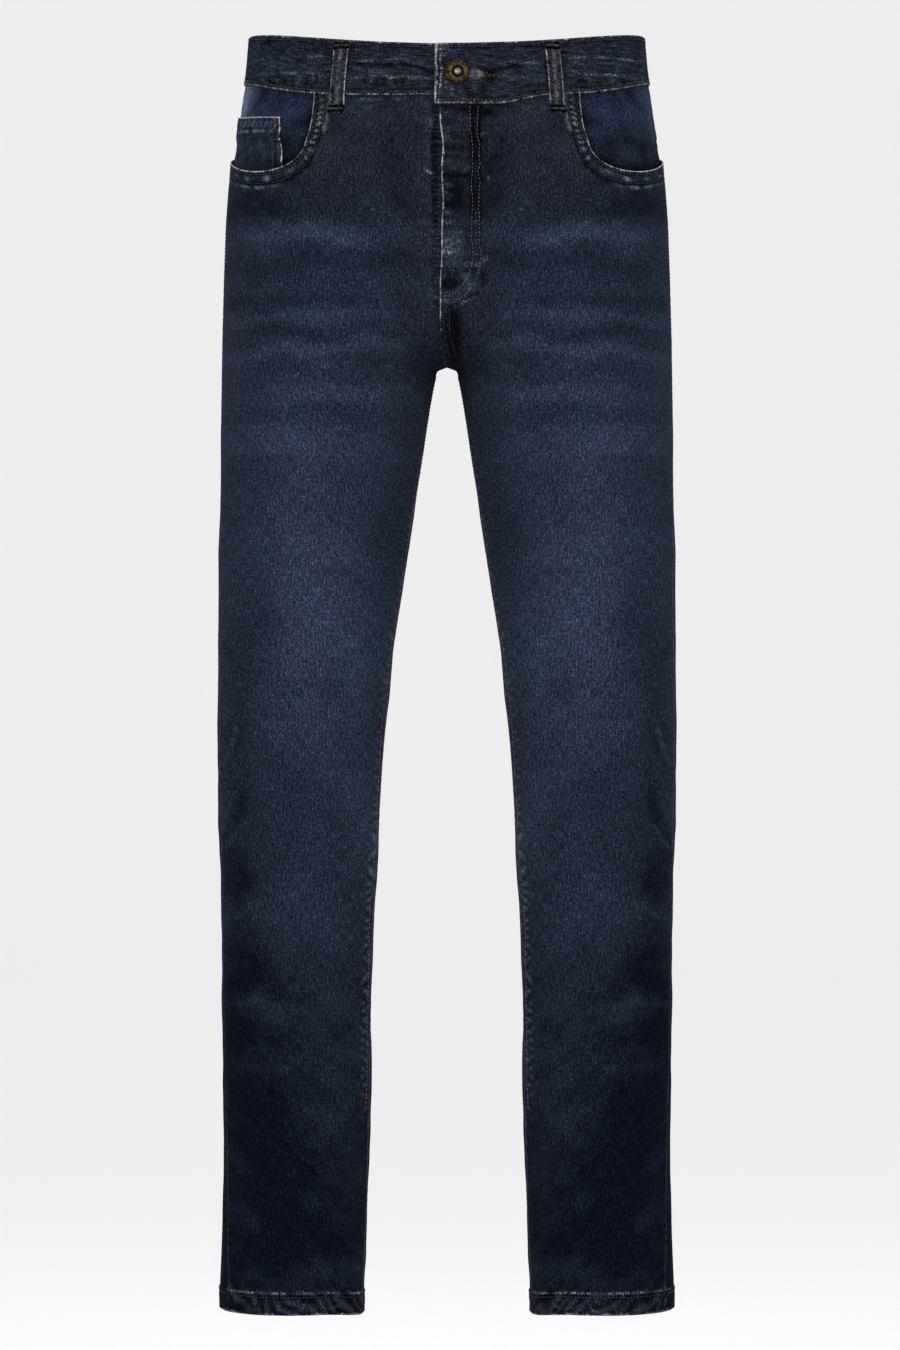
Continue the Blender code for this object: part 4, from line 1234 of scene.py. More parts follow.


# Puckers, rubbed places and hollows of the front, as oval bells: the place of its
# middle across and its height, half its length and half its width, in millimetres, its turn from level in
# degrees, and how far it stands up, or sinks in below zero. First those of the fly, then those beside it,
# along the waistband, and on one leg's hem and outer side, the other leg having the same.
# A mark that sinks in is also darkened with painted shade; the outer side's marks paint the highlight and the shade
# of two creases.
FLY_MARKS = (
    (0.1, -68.1, 4.9, 2.4, 90, 0.6), (10.6, -64.0, 11.3, 6.5, 90, 0.2), (14.7, -96.4, 4.1, 1.1, 28, 0.5),
    (4.9, -95.2, 3.2, 1.0, 0, 0.3), (8.2, -101.3, 11.3, 2.1, 0, -0.5), (8.2, -116.7, 12.2, 7.3, 90, -0.45),
    (1.7, -109.4, 3.2, 0.8, 0, 0.4), (2.5, -118.3, 4.1, 0.8, 4, 0.45), (0.9, -131.3, 3.2, 1.1, 6, 0.5),
    (1.7, -139.4, 3.2, 1.3, 8, 0.55), (1.7, -113.5, 4.1, 1.4, 0, -0.3), (1.7, -124.8, 4.9, 2.1, 0, -0.35),
    (0.9, -135.3, 3.2, 1.1, 0, -0.25), (2.5, -158.0, 9.7, 7.3, 90, 0.42), (0.1, -161.2, 4.1, 2.4, 90, 0.25),
    (7.4, -171.0, 5.7, 3.2, 0, 0.25), (9.8, -151.5, 8.1, 2.4, 90, 0.2), (16.3, -153.1, 11.3, 1.6, 90, -0.15),
    (2.5, -187.2, 8.1, 4.5, 0, -0.85), (30.9, -168.5, 3.2, 1.6, 35, 0.55), (25.2, -172.6, 3.2, 2.0, 30, 0.55),
    (17.1, -171.8, 4.1, 2.0, 10, 0.4), (15.5, -182.3, 3.2, 2.4, 0, 0.45), (18.7, -189.6, 4.1, 2.8, -10, 0.35),
    (9.0, -191.2, 2.4, 1.6, 40, 0.45), (18.7, -177.0, 6.5, 1.8, 10, -0.45), (29.2, -183.9, 6.5, 2.4, 90, -0.5),
    (21.1, -196.9, 6.5, 1.6, 25, -0.5), (1.7, -194.1, 6.5, 0.8, 0, 0.4), (4.1, -199.7, 7.3, 0.8, 5, 0.35),
    (13.4, -202.2, 11.3, 1.1, 25, 0.7), (-1.1, -202.6, 5.7, 2.1, 90, 0.4), (-0.7, -209.0, 1.9, 1.1, 0, 0.5),
    (-0.7, -214.7, 1.9, 1.1, 0, 0.4), (-0.7, -220.0, 1.9, 1.1, 0, 0.45), (-0.7, -225.2, 1.9, 1.1, 0, 0.4),
    (-0.7, -230.5, 1.9, 1.1, 0, 0.45), (-0.7, -235.8, 1.9, 1.1, 0, 0.4), (-0.7, -240.6, 1.9, 1.1, 0, 0.35),
    (-0.7, -245.5, 1.8, 1.0, 0, 0.25), (4.9, -232.5, 29.2, 7.3, 90, -0.55), (33.3, -49.5, 4.9, 3.2, 0, -0.55),
    (18.7, -47.8, 8.1, 3.2, 0, -0.3), (29.2, -67.3, 3.2, 1.6, 35, 0.55), (25.2, -73.0, 4.9, 1.6, 0, -0.35),
    (33.3, -102.9, 2.4, 1.2, 20, 0.45), (21.9, -80.2, 11.3, 1.6, 90, -0.2), (34.9, -80.2, 8.1, 1.1, 90, 0.2),
    (0.1, -49.5, 2.4, 1.6, 0, 0.35), (23.6, -132.1, 2.4, 0.8, 0, 0.3), (23.6, -138.6, 3.2, 1.0, 0, 0.4),
    (26.0, -163.7, 2.4, 1.6, 90, 0.3), (34.1, -92.4, 9.7, 2.4, 90, -0.2),
)
BESIDE_FLY_MARKS = (
    (-9.7, -92.4, 48.6, 2.9, 90, -0.65), (-12.9, -59.2, 5.7, 1.4, 90, 0.7), (-13.7, -98.5, 4.9, 1.1, -24, 0.75),
    (-8.8, -117.5, 3.2, 1.0, 8, 0.5), (-12.9, -128.0, 4.1, 1.0, -15, 0.3), (-10.5, -205.8, 2.4, 0.9, -25, 0.5),
    (-12.9, -195.3, 6.5, 1.6, 90, 0.25), (-10.5, -146.7, 2.4, 1.0, 0, 0.3),
    (-13.7, -153.1, 11.3, 2.4, 90, 0.15), (-11.3, -171.0, 24.3, 1.9, 90, -0.2),
    (-15.3, -80.2, 13.0, 2.4, 90, 0.12), (-62.3, -38.5, 11.3, 1.2, 0, 0.4), (-39.6, -38.1, 6.5, 1.1, 0, 0.3),
    (-19.4, -109.4, 4.9, 1.2, -20, 0.25), (-18.6, -120.8, 4.9, 1.0, -12, 0.2),
    (-16.9, -138.6, 4.9, 1.1, -10, 0.25),
    # the rungs beside the fly
    *((-9.0, round(-51.08 - 3.6455 * n, 1), 1.6, 0.7, (-6, 6)[n % 2], (0.5, 0.38, 0.45)[n % 3])
      for n in range(23)),
)
BAND_MARKS = (
    (-153.0, -3.3, 4.9, 1.0, 2, 0.4), (-132.0, -4.1, 4.9, 0.9, -3, 0.4), (-106.9, -4.4, 8.9, 1.0, 0, 0.5),
    (-143.3, -7.3, 8.1, 1.1, -4, 0.15), (-147.4, -16.3, 8.1, 1.1, -6, 0.3), (-127.9, -17.1, 7.3, 1.1, -3, 0.6),
    (-110.9, -17.5, 5.7, 1.1, -2, 0.3), (-101.2, -19.5, 4.9, 1.6, -10, 0.22),
    (-119.0, -12.2, 16.2, 1.2, -10, 0.18), (-139.2, -11.4, 8.1, 1.1, -8, 0.22),
    (-149.8, -21.9, 3.2, 1.1, 90, 0.35), (-144.9, -21.9, 3.2, 1.3, 90, -0.35),
    (-132.0, -23.5, 3.2, 1.6, 90, -0.35), (-125.5, -22.7, 3.2, 1.5, 90, -0.3),
    (-119.8, -22.7, 2.4, 1.1, 90, 0.2), (-108.5, -21.1, 4.1, 1.2, 90, 0.45),
    (-114.1, -23.5, 3.2, 1.4, 90, -0.3), (-102.0, -22.7, 3.2, 1.3, 90, 0.22),
    (-138.4, -23.5, 3.2, 1.3, 90, 0.15), (-66.4, -7.3, 8.9, 1.0, 5, 0.5), (-42.1, -5.7, 8.1, 1.1, 2, 0.35),
    (-25.9, -8.2, 8.1, 1.1, -12, 0.3), (-68.8, -9.6, 8.1, 1.0, -10, -0.7), (-50.2, -10.3, 9.7, 1.0, 0, -0.6),
    (-31.5, -10.6, 8.1, 1.0, -14, -0.65), (-16.9, -15.0, 7.3, 1.1, -25, -0.7),
    (-62.3, -14.6, 12.2, 1.3, -5, 0.18), (-50.2, -16.3, 8.1, 1.1, 0, 0.15), (-72.0, -21.1, 5.7, 1.1, 2, 0.5),
    (-58.3, -19.5, 6.5, 1.1, 4, 0.4), (-44.5, -20.3, 6.5, 1.2, -3, 0.6), (-29.9, -20.7, 6.5, 1.1, -4, 0.4),
    (-17.8, -21.9, 5.7, 1.1, -3, 0.45), (-67.2, -23.5, 3.2, 1.6, 90, -0.4), (-61.5, -23.5, 3.2, 1.1, 90, 0.3),
    (-56.6, -23.5, 3.2, 1.3, 90, -0.3), (-51.0, -24.4, 3.2, 1.3, 90, -0.3), (-46.1, -23.5, 3.2, 1.1, 90, 0.22),
    (-41.2, -23.5, 4.1, 1.6, 90, -0.4), (-35.6, -24.4, 3.2, 1.3, 90, -0.35), (-28.3, -25.2, 3.2, 1.2, 90, -0.2),
    (-86.6, -7.3, 6.5, 3.2, 0, -0.3), (-78.5, 0.8, 4.1, 8.1, 0, -0.2), (-119.0, 2.4, 24.3, 4.1, 0, -0.12),
    (-4.4, -9.0, 3.2, 1.3, -35, -0.8), (-0.7, -1.7, 4.1, 1.0, 40, 0.35), (4.1, 0.8, 4.1, 1.3, -15, 0.22),
    (-0.7, -25.2, 6.5, 1.6, 90, 0.25), (4.1, -31.6, 5.7, 1.3, 90, 0.25), (10.6, -30.0, 4.1, 1.3, 90, 0.3),
    (22.8, -30.0, 4.1, 1.3, 90, 0.25), (29.2, -29.2, 4.1, 1.5, 90, -0.25), (17.1, -31.6, 4.1, 1.6, 90, -0.2),
    (55.2, -7.3, 4.9, 1.0, 3, 0.4), (68.9, -8.6, 6.5, 1.0, 3, 0.6), (43.0, -9.8, 4.9, 1.1, -5, 0.25),
    (51.1, -12.2, 9.7, 1.4, 8, -0.4), (39.0, -14.6, 4.9, 1.3, 20, -0.4), (71.4, -12.2, 6.5, 1.1, 5, 0.25),
    (59.2, -21.1, 8.1, 1.2, -4, 0.35), (73.8, -22.7, 5.7, 1.1, -3, 0.3), (47.1, -19.5, 4.9, 1.1, -8, 0.25),
    (106.2, -5.3, 8.1, 1.1, 3, 0.5), (126.4, -4.5, 7.3, 1.0, 0, 0.45), (146.7, -4.1, 7.3, 1.1, 2, 0.55),
    (158.0, -3.3, 3.2, 1.0, 3, 0.35), (124.0, -9.8, 24.3, 1.1, 3, 0.15), (115.9, -19.1, 6.5, 1.1, 3, 0.5),
    (133.7, -18.3, 7.3, 1.1, 3, 0.6), (149.9, -18.7, 7.3, 1.1, -5, 0.4), (103.8, -17.1, 4.9, 1.1, -20, 0.3),
    (160.5, -20.3, 4.1, 2.4, 90, 0.35), (107.8, -25.2, 3.2, 1.5, 90, -0.3), (115.9, -23.5, 3.2, 1.2, 90, 0.25),
    (124.0, -24.4, 3.2, 1.5, 90, -0.3), (133.7, -23.5, 3.2, 1.2, 90, 0.2), (144.2, -23.5, 3.2, 1.5, 90, -0.3),
    (150.7, -22.7, 3.2, 1.2, 90, 0.25), (21.9, -17.5, 4.1, 3.2, 0, 0.55), (30.0, -17.9, 9.7, 4.5, -8, -0.4),
    (25.2, -40.6, 11.3, 2.8, -3, -0.5), (15.5, -39.7, 3.2, 0.8, -8, 0.4), (25.2, -38.5, 4.9, 0.8, -6, 0.4),
    (31.7, -41.4, 4.9, 0.8, -5, 0.45), (88.4, -9.0, 6.5, 3.2, 0, -0.3),
)
HEM_MARKS = (
    (172.9, -1019.5, 4.9, 1.8, 90, 0.3), (165.5, -1020.3, 4.9, 2.5, 90, -0.25),
    (158.2, -1018.6, 4.9, 1.5, 90, 0.35), (150.0, -1020.3, 4.1, 2.5, 90, -0.2),
    (137.7, -1023.6, 2.5, 2.5, -40, 0.4), (122.1, -1018.6, 3.3, 1.6, 90, 0.45),
    (118.8, -1025.2, 4.1, 1.6, -60, 0.55), (130.3, -1021.1, 4.9, 3.3, 0, 0.12),
    (91.8, -1017.0, 3.3, 1.3, -50, 0.45), (88.5, -1022.7, 3.3, 1.3, -60, 0.45),
    (79.5, -1019.5, 4.9, 3.3, 0, -0.2), (95.9, -1025.2, 11.5, 0.9, 0, 0.4), (159.8, -1026.8, 4.9, 1.0, 0, 0.3),
    (120.5, -1027.2, 6.6, 1.0, 0, 0.3), (104.1, -1021.1, 6.6, 2.0, -20, 0.15),
    (112.3, -1014.5, 13.1, 1.0, 0, -0.2), (179.5, -1009.6, 2.5, 1.2, -40, 0.6),
)
LEG_MARKS = (
    (176.5, -560.0, 20.0, 2.4, 111, 0.55), (170.5, -558.0, 22.0, 4.0, 111, -0.26),
    (173.0, -634.4, 17.0, 2.4, 128, 0.50), (168.5, -630.0, 18.0, 4.0, 128, -0.24),
    (170.0, -700.0, 18.0, 3.0, 150, 0.16), (168.0, -775.0, 22.0, 3.4, 172, 0.12),
)


def marked(marks: Sequence[Sequence[float]], x: Array, z: Array) -> Array:
    """The sum of all the marks' bells at places on the front."""
    total = np.zeros(x.shape)
    for across, height, long, wide, angle, amount in marks:
        turn = math.radians(angle)
        off, up = x - across * MM, z - height * MM
        along = (off * math.cos(turn) + up * math.sin(turn)) / (long * MM)
        over = (up * math.cos(turn) - off * math.sin(turn)) / (wide * MM)
        total += amount * np.exp(-(along**4) - over**2)
    return total


def rub_and_shade(cloth: Cloth, total: Array, relief: float = 0.45 * MM, pale: float = 3.2, dark: float = 2.1) -> None:
    """Works marks into a cloth: ridges stand out and are pale, hollows sink in and are darkened with painted shade.

    Args:
        cloth: the cloth.
        total: the marks at its points.
        relief: the height of a mark of amount one.
        pale: how much a ridge is washed out.
        dark: how dark a hollow's painted shade is.
    """
    high, low = np.clip(total, 0, 1.2), unit(-total)
    broken = np.clip(0.85 + 0.75 * Waves(3.4, 19).at(1.6 * cloth.u, cloth.v), 0, 1.6)
    cloth.out = cloth.out + relief * total
    cloth.wear = cloth.wear + pale * high * broken
    cloth.edge = unit(cloth.edge + 0.55 * unit(high * broken - 0.30))
    cloth.shade = np.clip(cloth.shade + dark * low, 0, 0.92)


def rubbed_highs_shaded_lows(relief: Array, size: float) -> tuple[Array, Array]:
    """Wear where a small relief stands high, and shade where it lies low."""
    return unit(relief / size), unit(-relief / size)


# ---------------------------------------------------------------- sewing

# Distances of rows of sewing from the edge or seam that they follow
DOUBLE_ROWS = (2.2 * MM, 8.6 * MM)          # the yokes' seams and the centre back
PATCH_ROWS = (2.0 * MM, 8.0 * MM)           # round a patch pocket
PATCH_TOP_ROWS = (2.0 * MM, 13.0 * MM)      # under its top
FLY_ROWS = (20.3 * MM, 26.4 * MM)           # down the fly, from the middle of the jeans
BAND_ROWS = (2.4 * MM, 2.2 * MM)            # above the waistband's foot, and below its top
LOOP_ROW = 2.9 * MM                         # inside a belt loop's sides
HEM_SEWING = 13.6 * MM                      # above a hem's foot


@dataclass(frozen=True)
class Stitch:
    """One stitch: a short swollen thread.

    Attributes:
        length: its length.
        radius: its half thickness.
        pitch: distance from stitch to stitch.
    """

    length: float = 2.5 * MM
    radius: float = 0.28 * MM
    pitch: float = 3.1 * MM


class Sewing:
    """Rows of stitches laid on the faces of finished pieces."""

    SPIN = 5

    def __init__(self, stitch: Stitch) -> None:
        """Starts with no rows.

        Args:
            stitch: the size of its stitches.
        """
        self.stitch = stitch
        self.middles: list[Array] = []
        self.alongs: list[Array] = []
        self.outs: list[Array] = []

    def row(self, line: Array, normal: Array, wander: float = 0.15 * MM, seed: int = 1,
            slant: float = 0.0) -> None:
        """Lays stitches along a line of points by its length.

        Args:
            line: points on the cloth's face.
            normal: the face's normals there.
            wander: how far stitches stray.
            seed: the seed of that.
            slant: how far a stitch leans across the line for its length.
        """
        steps = np.linalg.norm(np.diff(line, axis=0), axis=1)
        length = np.concatenate([[0.0], np.cumsum(steps)])
        count = max(int(length[-1] / self.stitch.pitch), 1)
        at = (np.arange(count) + 0.5) * length[-1] / count
        ahead = np.clip(at + self.stitch.length * 0.4, 0, length[-1])
        behind = np.clip(at - self.stitch.length * 0.4, 0, length[-1])

        def read(where: Array, table: Array) -> Array:
            """The rows of a table of vectors at lengths along the line."""
            return np.stack([np.interp(where, length, table[:, k]) for k in range(3)], axis=-1)

        middle, along = read(at, line), read(ahead, line) - read(behind, line)
        out = read(at, normal)
        out /= np.linalg.norm(out, axis=1, keepdims=True)
        along /= np.maximum(np.linalg.norm(along, axis=1, keepdims=True), 1e-9)
        aside = np.cross(out, along)
        stray = np.random.default_rng(seed).normal(0.0, 1.0, (count, 2))
        middle = middle + aside * (stray[:, :1] * wander)
        along = along + aside * (stray[:, 1:] * 0.06 + slant)
        self.middles.append(middle)
        self.alongs.append(along)
        self.outs.append(out)

    def tack(self, start: Array, end: Array, normal: Array, width: float, threads: int = 15) -> None:
        """A bartack: short threads laid close across a line.

        Args:
            start: one end of the line.
            end: the other.
            normal: the cloth's normal.
            width: the length of each thread.
            threads: how many there are.
        """
        at = np.linspace(0, 1, threads)[:, None]
        middle = start + (end - start) * at
        run = (end - start) / np.linalg.norm(end - start)
        aside = np.cross(normal, run)
        lean = 0.12 * np.where(np.arange(threads) % 2, 1, -1)[:, None]
        along = aside * (width / self.stitch.length) + run * lean
        self.middles.append(middle + normal * 0.12 * MM)
        self.alongs.append(along)
        self.outs.append(np.repeat(normal[None], threads, axis=0))

    def build(self, name: str) -> bpy.types.Object:
        """All the stitches as one mesh: each is a spun profile, bowed down at its ends into the cloth."""
        middle, along, out = (np.concatenate(part) for part in (self.middles, self.alongs, self.outs))
        aside = np.cross(out, along)
        aside /= np.maximum(np.linalg.norm(aside, axis=1, keepdims=True), 1e-9)
        turn = np.arange(self.SPIN) * 2 * math.pi / self.SPIN
        half, radius = self.stitch.length / 2, self.stitch.radius
        places = np.array([-1.0, -0.72, 0.0, 0.72, 1.0])
        thick = np.array([0.0, 0.8, 1.0, 0.8, 0.0]) * radius
        sink = np.array([-1.1, -0.15, 0.35, -0.15, -1.1]) * radius
        points, starts = [], []
        for place, size, lift in zip(places, thick, sink):
            spin = turn if size else turn[:1]
            starts.append(len(points))
            for angle in spin:
                points.append((place * half, math.cos(angle) * size, math.sin(angle) * size + lift))
        points = np.array(points)
        faces = []
        for k in range(self.SPIN):
            n = (k + 1) % self.SPIN
            faces.append((starts[0], starts[1] + n, starts[1] + k, -1))
            faces.append((starts[1] + k, starts[1] + n, starts[2] + n, starts[2] + k))
            faces.append((starts[2] + k, starts[2] + n, starts[3] + n, starts[3] + k))
            faces.append((starts[3] + k, starts[3] + n, starts[4], -1))
        faces = np.array(faces)
        world = (middle[:, None] + points[None, :, :1] * along[:, None] + points[None, :, 1:2] * aside[:, None]
                 + points[None, :, 2:] * out[:, None])
        offset = np.arange(len(middle))[:, None, None] * len(points)
        quads = np.where(faces[None] < 0, -1, faces[None] + offset).reshape(-1, 4)
        return make_mesh(name, world.reshape(-1, 3), quads)


class Surface:
    """The faces of finished pieces, on which lines are laid."""

    def __init__(self, *pieces: bpy.types.Object) -> None:
        """Gathers the pieces' faces into search trees."""
        self.trees = []
        for piece in pieces:
            mesh = piece.data
            points = np.empty(len(mesh.vertices) * 3, np.float32)
            mesh.vertices.foreach_get("co", points)
            faces = [tuple(p.vertices) for p in mesh.polygons]
            self.trees.append(BVHTree.FromPolygons(points.reshape(-1, 3).tolist(), faces))

    def lay(self, points: Array, normals: Array, reach: float = 9 * MM) -> tuple[Array, Array]:
        """Drops points onto the outermost face below them.

        Args:
            points: points near the faces.
            normals: the way out of the cloth at each.
            reach: from how far out they are dropped.

        Returns:
            The points on the faces that were met, and the faces' normals.
        """
        found, outs = [], []
        for point, normal in zip(points, normals):
            start = Vector(point + normal * reach)
            hits = [tree.ray_cast(start, Vector(-normal), 2.2 * reach) for tree in self.trees]
            hits = [hit for hit in hits if hit[0] is not None]
            if hits:
                best = min(hits, key=lambda hit: hit[3])
                out = best[1] if best[1].dot(Vector(normal)) > 0 else -best[1]
                found.append(best[0][:])
                outs.append((Vector(normal) + out)[:])
        return np.array(found), np.array(outs)


# ---------------------------------------------------------------- front panels, facings and coin pocket


@dataclass
class FrontPanels:
    """The two fronts, with the pocket mouths cut out, the fly lapped, and the hems turned up.

    Attributes:
        mouth: the pocket mouth from the band to the side seam, distance from the middle and height.
        mouth_corner: the row of mouth where its side turns into its floor.
        mouth_rows: distances of its two rows of sewing from its lip.
        mouth_lift: how far its lip stands away from the facing.
        floor_top: height at which the rows below the mouth are level with each other.
        floor_fade: over which height they straighten out.
        coin_side: the coin pocket's folded side, as a distance from the middle.
        coin_top: the height of its top at the side seam.
        coin_foot: the height of its foot, below the mouth.
        coin_slope: how much lower its top is at its folded side.
        fly_lift_full: how far from the middle the lapped front is fully lifted.
        fly_lift_end: where it comes down to the skin again.
    """

    mouth: tuple[tuple[float, float], ...] = (
        (107.5, -32.0), (108.8, -47.0), (111.6, -62.5), (118.0, -80.0), (126.5, -87.8), (138.0, -92.4),
        (155.0, -93.8), (169.0, -90.5), (177.0, -84.0),
    )
    mouth_corner: int = 3
    mouth_rows: tuple[float, float] = (2.3 * MM, 9.9 * MM)
    mouth_lift: float = 0.8 * MM
    floor_top: float = -88 * MM
    floor_fade: float = 62 * MM
    coin_side: float = 136.2 * MM
    coin_top: float = -42.8 * MM
    coin_foot: float = -98.0 * MM
    coin_slope: float = 6.6 * MM
    fly_lift_full: float = 14 * MM
    fly_lift_end: float = 48 * MM

    def grid(self, form: PanelForm) -> tuple[Array, Array, int, int]:
        """Shares and heights of a panel's points, in lines that follow the pocket mouth.

        Above the floor of the mouth, a row runs a part of the way from the band's seam to the floor, and
        the columns crowd towards the mouth's side. Below it the rows level out.

        Args:
            form: the panel's body.

        Returns:
            Shares, heights, and the row and column of the mouth's corner.
        """
        mouth = np.array(self.mouth) * MM
        mouth_share = form.share_at(mouth[:, 0], mouth[:, 1])
        corner = self.mouth_corner
        outer = graded(72 * MM, 3.4 * MM, low=(5 * MM, 1.4 * MM), high=(1 * MM, 1.2 * MM))
        inner = graded(118 * MM, 3.0 * MM, low=(14 * MM, 1.15 * MM), high=(34 * MM, 1.35 * MM))[1:]
        fall = graded(62 * MM, 1.6 * MM, low=(2 * MM, 1.2 * MM), high=(1 * MM, 1.2 * MM))
        along = np.linspace(0, 1, corner + 1)
        side_share = curve_through(along, mouth_share[: corner + 1], fall)
        side_height = curve_through(along, mouth[: corner + 1, 1], fall)
        floor_share = np.append(mouth_share[corner:], 0.0)[::-1]
        floor_height = np.append(mouth[corner:, 1], CUT.mouth_end)[::-1]
        floor = curve_through(floor_share, floor_height, outer * floor_share[-1])
        floor_line = np.append(floor, np.full(len(inner), floor[-1]))
        columns = len(outer) - 1
        shares = np.array([np.append(outer * s, s + (1 - s) * inner) for s in side_share])
        seam = self.seam(form, shares)
        at_mouth = (seam[:, columns] - side_height) / (seam[:, columns] - floor[-1])
        at_mouth[0] = 0.0
        part = fall[:, None]
        at_mouth = at_mouth[:, None]
        fraction = np.hstack([part + (at_mouth - part) * outer, at_mouth + (part - at_mouth) * inner])
        heights = seam + (floor_line - seam) * fraction

        hem_top = CUT.hem_foot + CUT.hem_height
        steps = graded(self.floor_top - hem_top, 3.4 * MM, low=(118 * MM, 1.45 * MM), high=(4 * MM, 1.2 * MM))
        level = self.floor_top - (self.floor_top - hem_top) * steps
        level[np.argmin(np.abs(level - CROTCH))] = CROTCH
        fade = 1 - smooth_step((self.floor_top - level) / self.floor_fade)
        lower = level[1:, None] + (heights[-1] - self.floor_top) * fade[1:, None]
        share = shares[-1]
        hem = np.linspace(0, 1, 19)[1:, None]
        foot = hem_top + (CUT.hem_foot_at(share) - hem_top) * hem
        heights = np.vstack([heights, lower, foot])
        shares = np.vstack([shares, np.tile(share, (len(heights) - len(shares), 1))])
        return shares, heights, len(fall) - 1, columns

    def seam(self, form: PanelForm, shares: Array) -> Array:
        """Heights of the seam under the band at each share, found by going back and forth."""
        height = np.full_like(shares, CUT.band_foot_front)
        for _ in range(4):
            point, _ = form.place(shares, height)
            across = point[..., 0] * form.side.value
            height = CUT.band_foot(across, Face.FRONT, form.side)
        return height - CUT.gap

    def mouth_line(self, form: PanelForm, offset: float) -> tuple[Array, Array]:
        """The mouth's curve on the flat panel, moved away from the pocket.

        Args:
            form: the panel's body.
            offset: how far it is moved.

        Returns:
            Distances from the side seam and heights.
        """
        mouth = np.array(self.mouth) * MM
        share = form.share_at(mouth[:, 0], mouth[:, 1])
        u, v = share * form.width(mouth[:, 1]), mouth[:, 1]
        u, v = np.append(u, 0.0), np.append(v, CUT.mouth_end)
        knots = np.concatenate([[0.0], np.cumsum(np.hypot(np.diff(u), np.diff(v)))])
        at = np.linspace(0, knots[-1], 160)
        curve = np.stack([curve_through(knots, u, at), curve_through(knots, v, at)], axis=-1)
        run = np.gradient(curve, axis=0)
        run /= np.linalg.norm(run, axis=1, keepdims=True)
        curve = curve + np.stack([-run[:, 1], run[:, 0]], axis=-1) * offset
        return curve[:, 0], curve[:, 1]

    def mouth_shade(self, away: Array, along: Array) -> Array:
        """Painted shade in the strip between the mouth's rows of sewing, deepest beside the lip and near the band,
        and in the rows' dents.
        """
        strip = between(away, 1.2, 11.4, 1.6)
        deep = 0.32 - 0.16 * rise(along, 30, 30)
        sewn = 0.5 * hump(away - self.mouth_rows[0], 0, 1.1) + 0.45 * hump(away - self.mouth_rows[1], 0, 0.9)
        return strip * deep + sewn * (away < 0.9)

    def away_from_mouth(self, form: PanelForm, u: Array, v: Array) -> tuple[Array, Array]:
        """Distance of points from the mouth's curve, above zero on the panel, and their place along it."""
        line_u, line_v = self.mouth_line(form, 0.0)
        line = np.stack([line_u, line_v], axis=-1)
        length = np.concatenate([[0.0], np.cumsum(np.linalg.norm(np.diff(line, axis=0), axis=1))])
        away, along = np.full(u.shape, 1.0), np.zeros(u.shape)
        near = v > -130 * MM
        du, dv = u[near][:, None] - line_u, v[near][:, None] - line_v
        square = du**2 + dv**2
        best = np.argmin(square, axis=1)
        away[near] = np.sqrt(square[np.arange(len(best)), best])
        along[near] = length[best]
        return away, along

    def build(self, side: Side, denim: bpy.types.Material, facing: bpy.types.Material) -> dict[str, object]:
        """Makes one front with the facing behind its mouth, and on the right the coin pocket.

        Args:
            side: which front.
            denim: the denim finish.
            facing: the facing's finish.

        Returns:
            The pieces by name, and the form for laying seams.
        """
        form = PanelForm(side, Face.FRONT)
        share, height, mouth_row, mouth_column = self.grid(form)
        point, normal = form.place(share, height)
        wide = form.width(height)
        u, v = share * wide, height
        cloth = Cloth(point, normal, u, v)
        across, from_inner = point[..., 0] * side.value, wide - u

        away, along = self.away_from_mouth(form, u, v)
        lip = Roping(rows=self.mouth_rows, ripple=0.22 * MM, pitch=5.2 * MM, slant=0.25, seed=31 + side.value)
        lip_relief = np.where(away < 0.9, lip.relief(away, along), 0.0)
        near_band = CUT.band_foot(across, Face.FRONT, side) - height
        fly_zone = rise(height - CUT.fly_foot, -26, 18)
        lift = CUT.fly_lift * (1 - smooth_step((across - self.fly_lift_full)
                                               / (self.fly_lift_end - self.fly_lift_full)))
        lift = lift * rise(height - CUT.fly_foot, -32, 20) if side is Side.LEFT else 0 * lift
        fly = self.fly_relief(side, across, height, fly_zone)
        seams = self.seam_relief(u, from_inner, height)
        hem, hem_wear, doubled = hem_relief(u, height, CUT.hem_foot_at(share), 51 + side.value)
        folds = folded(FRONT_CREASES, u, v) * between(height, -1000, -110, 60)
        folds = folds * (1 - hump(away, 0, 14)) * rise(u, 0, 10) * rise(from_inner, 0, 10)
        lip_lift = self.mouth_lift * hump(away, 0, 3.5)
        small = lip_relief + fly + seams + hem
        cloth.out = lift + lip_lift + folds + small + doubled
        cloth.thick = np.where(height < CUT.hem_foot + CUT.hem_height - 1 * MM, CUT.hem_thick, cloth.thick)

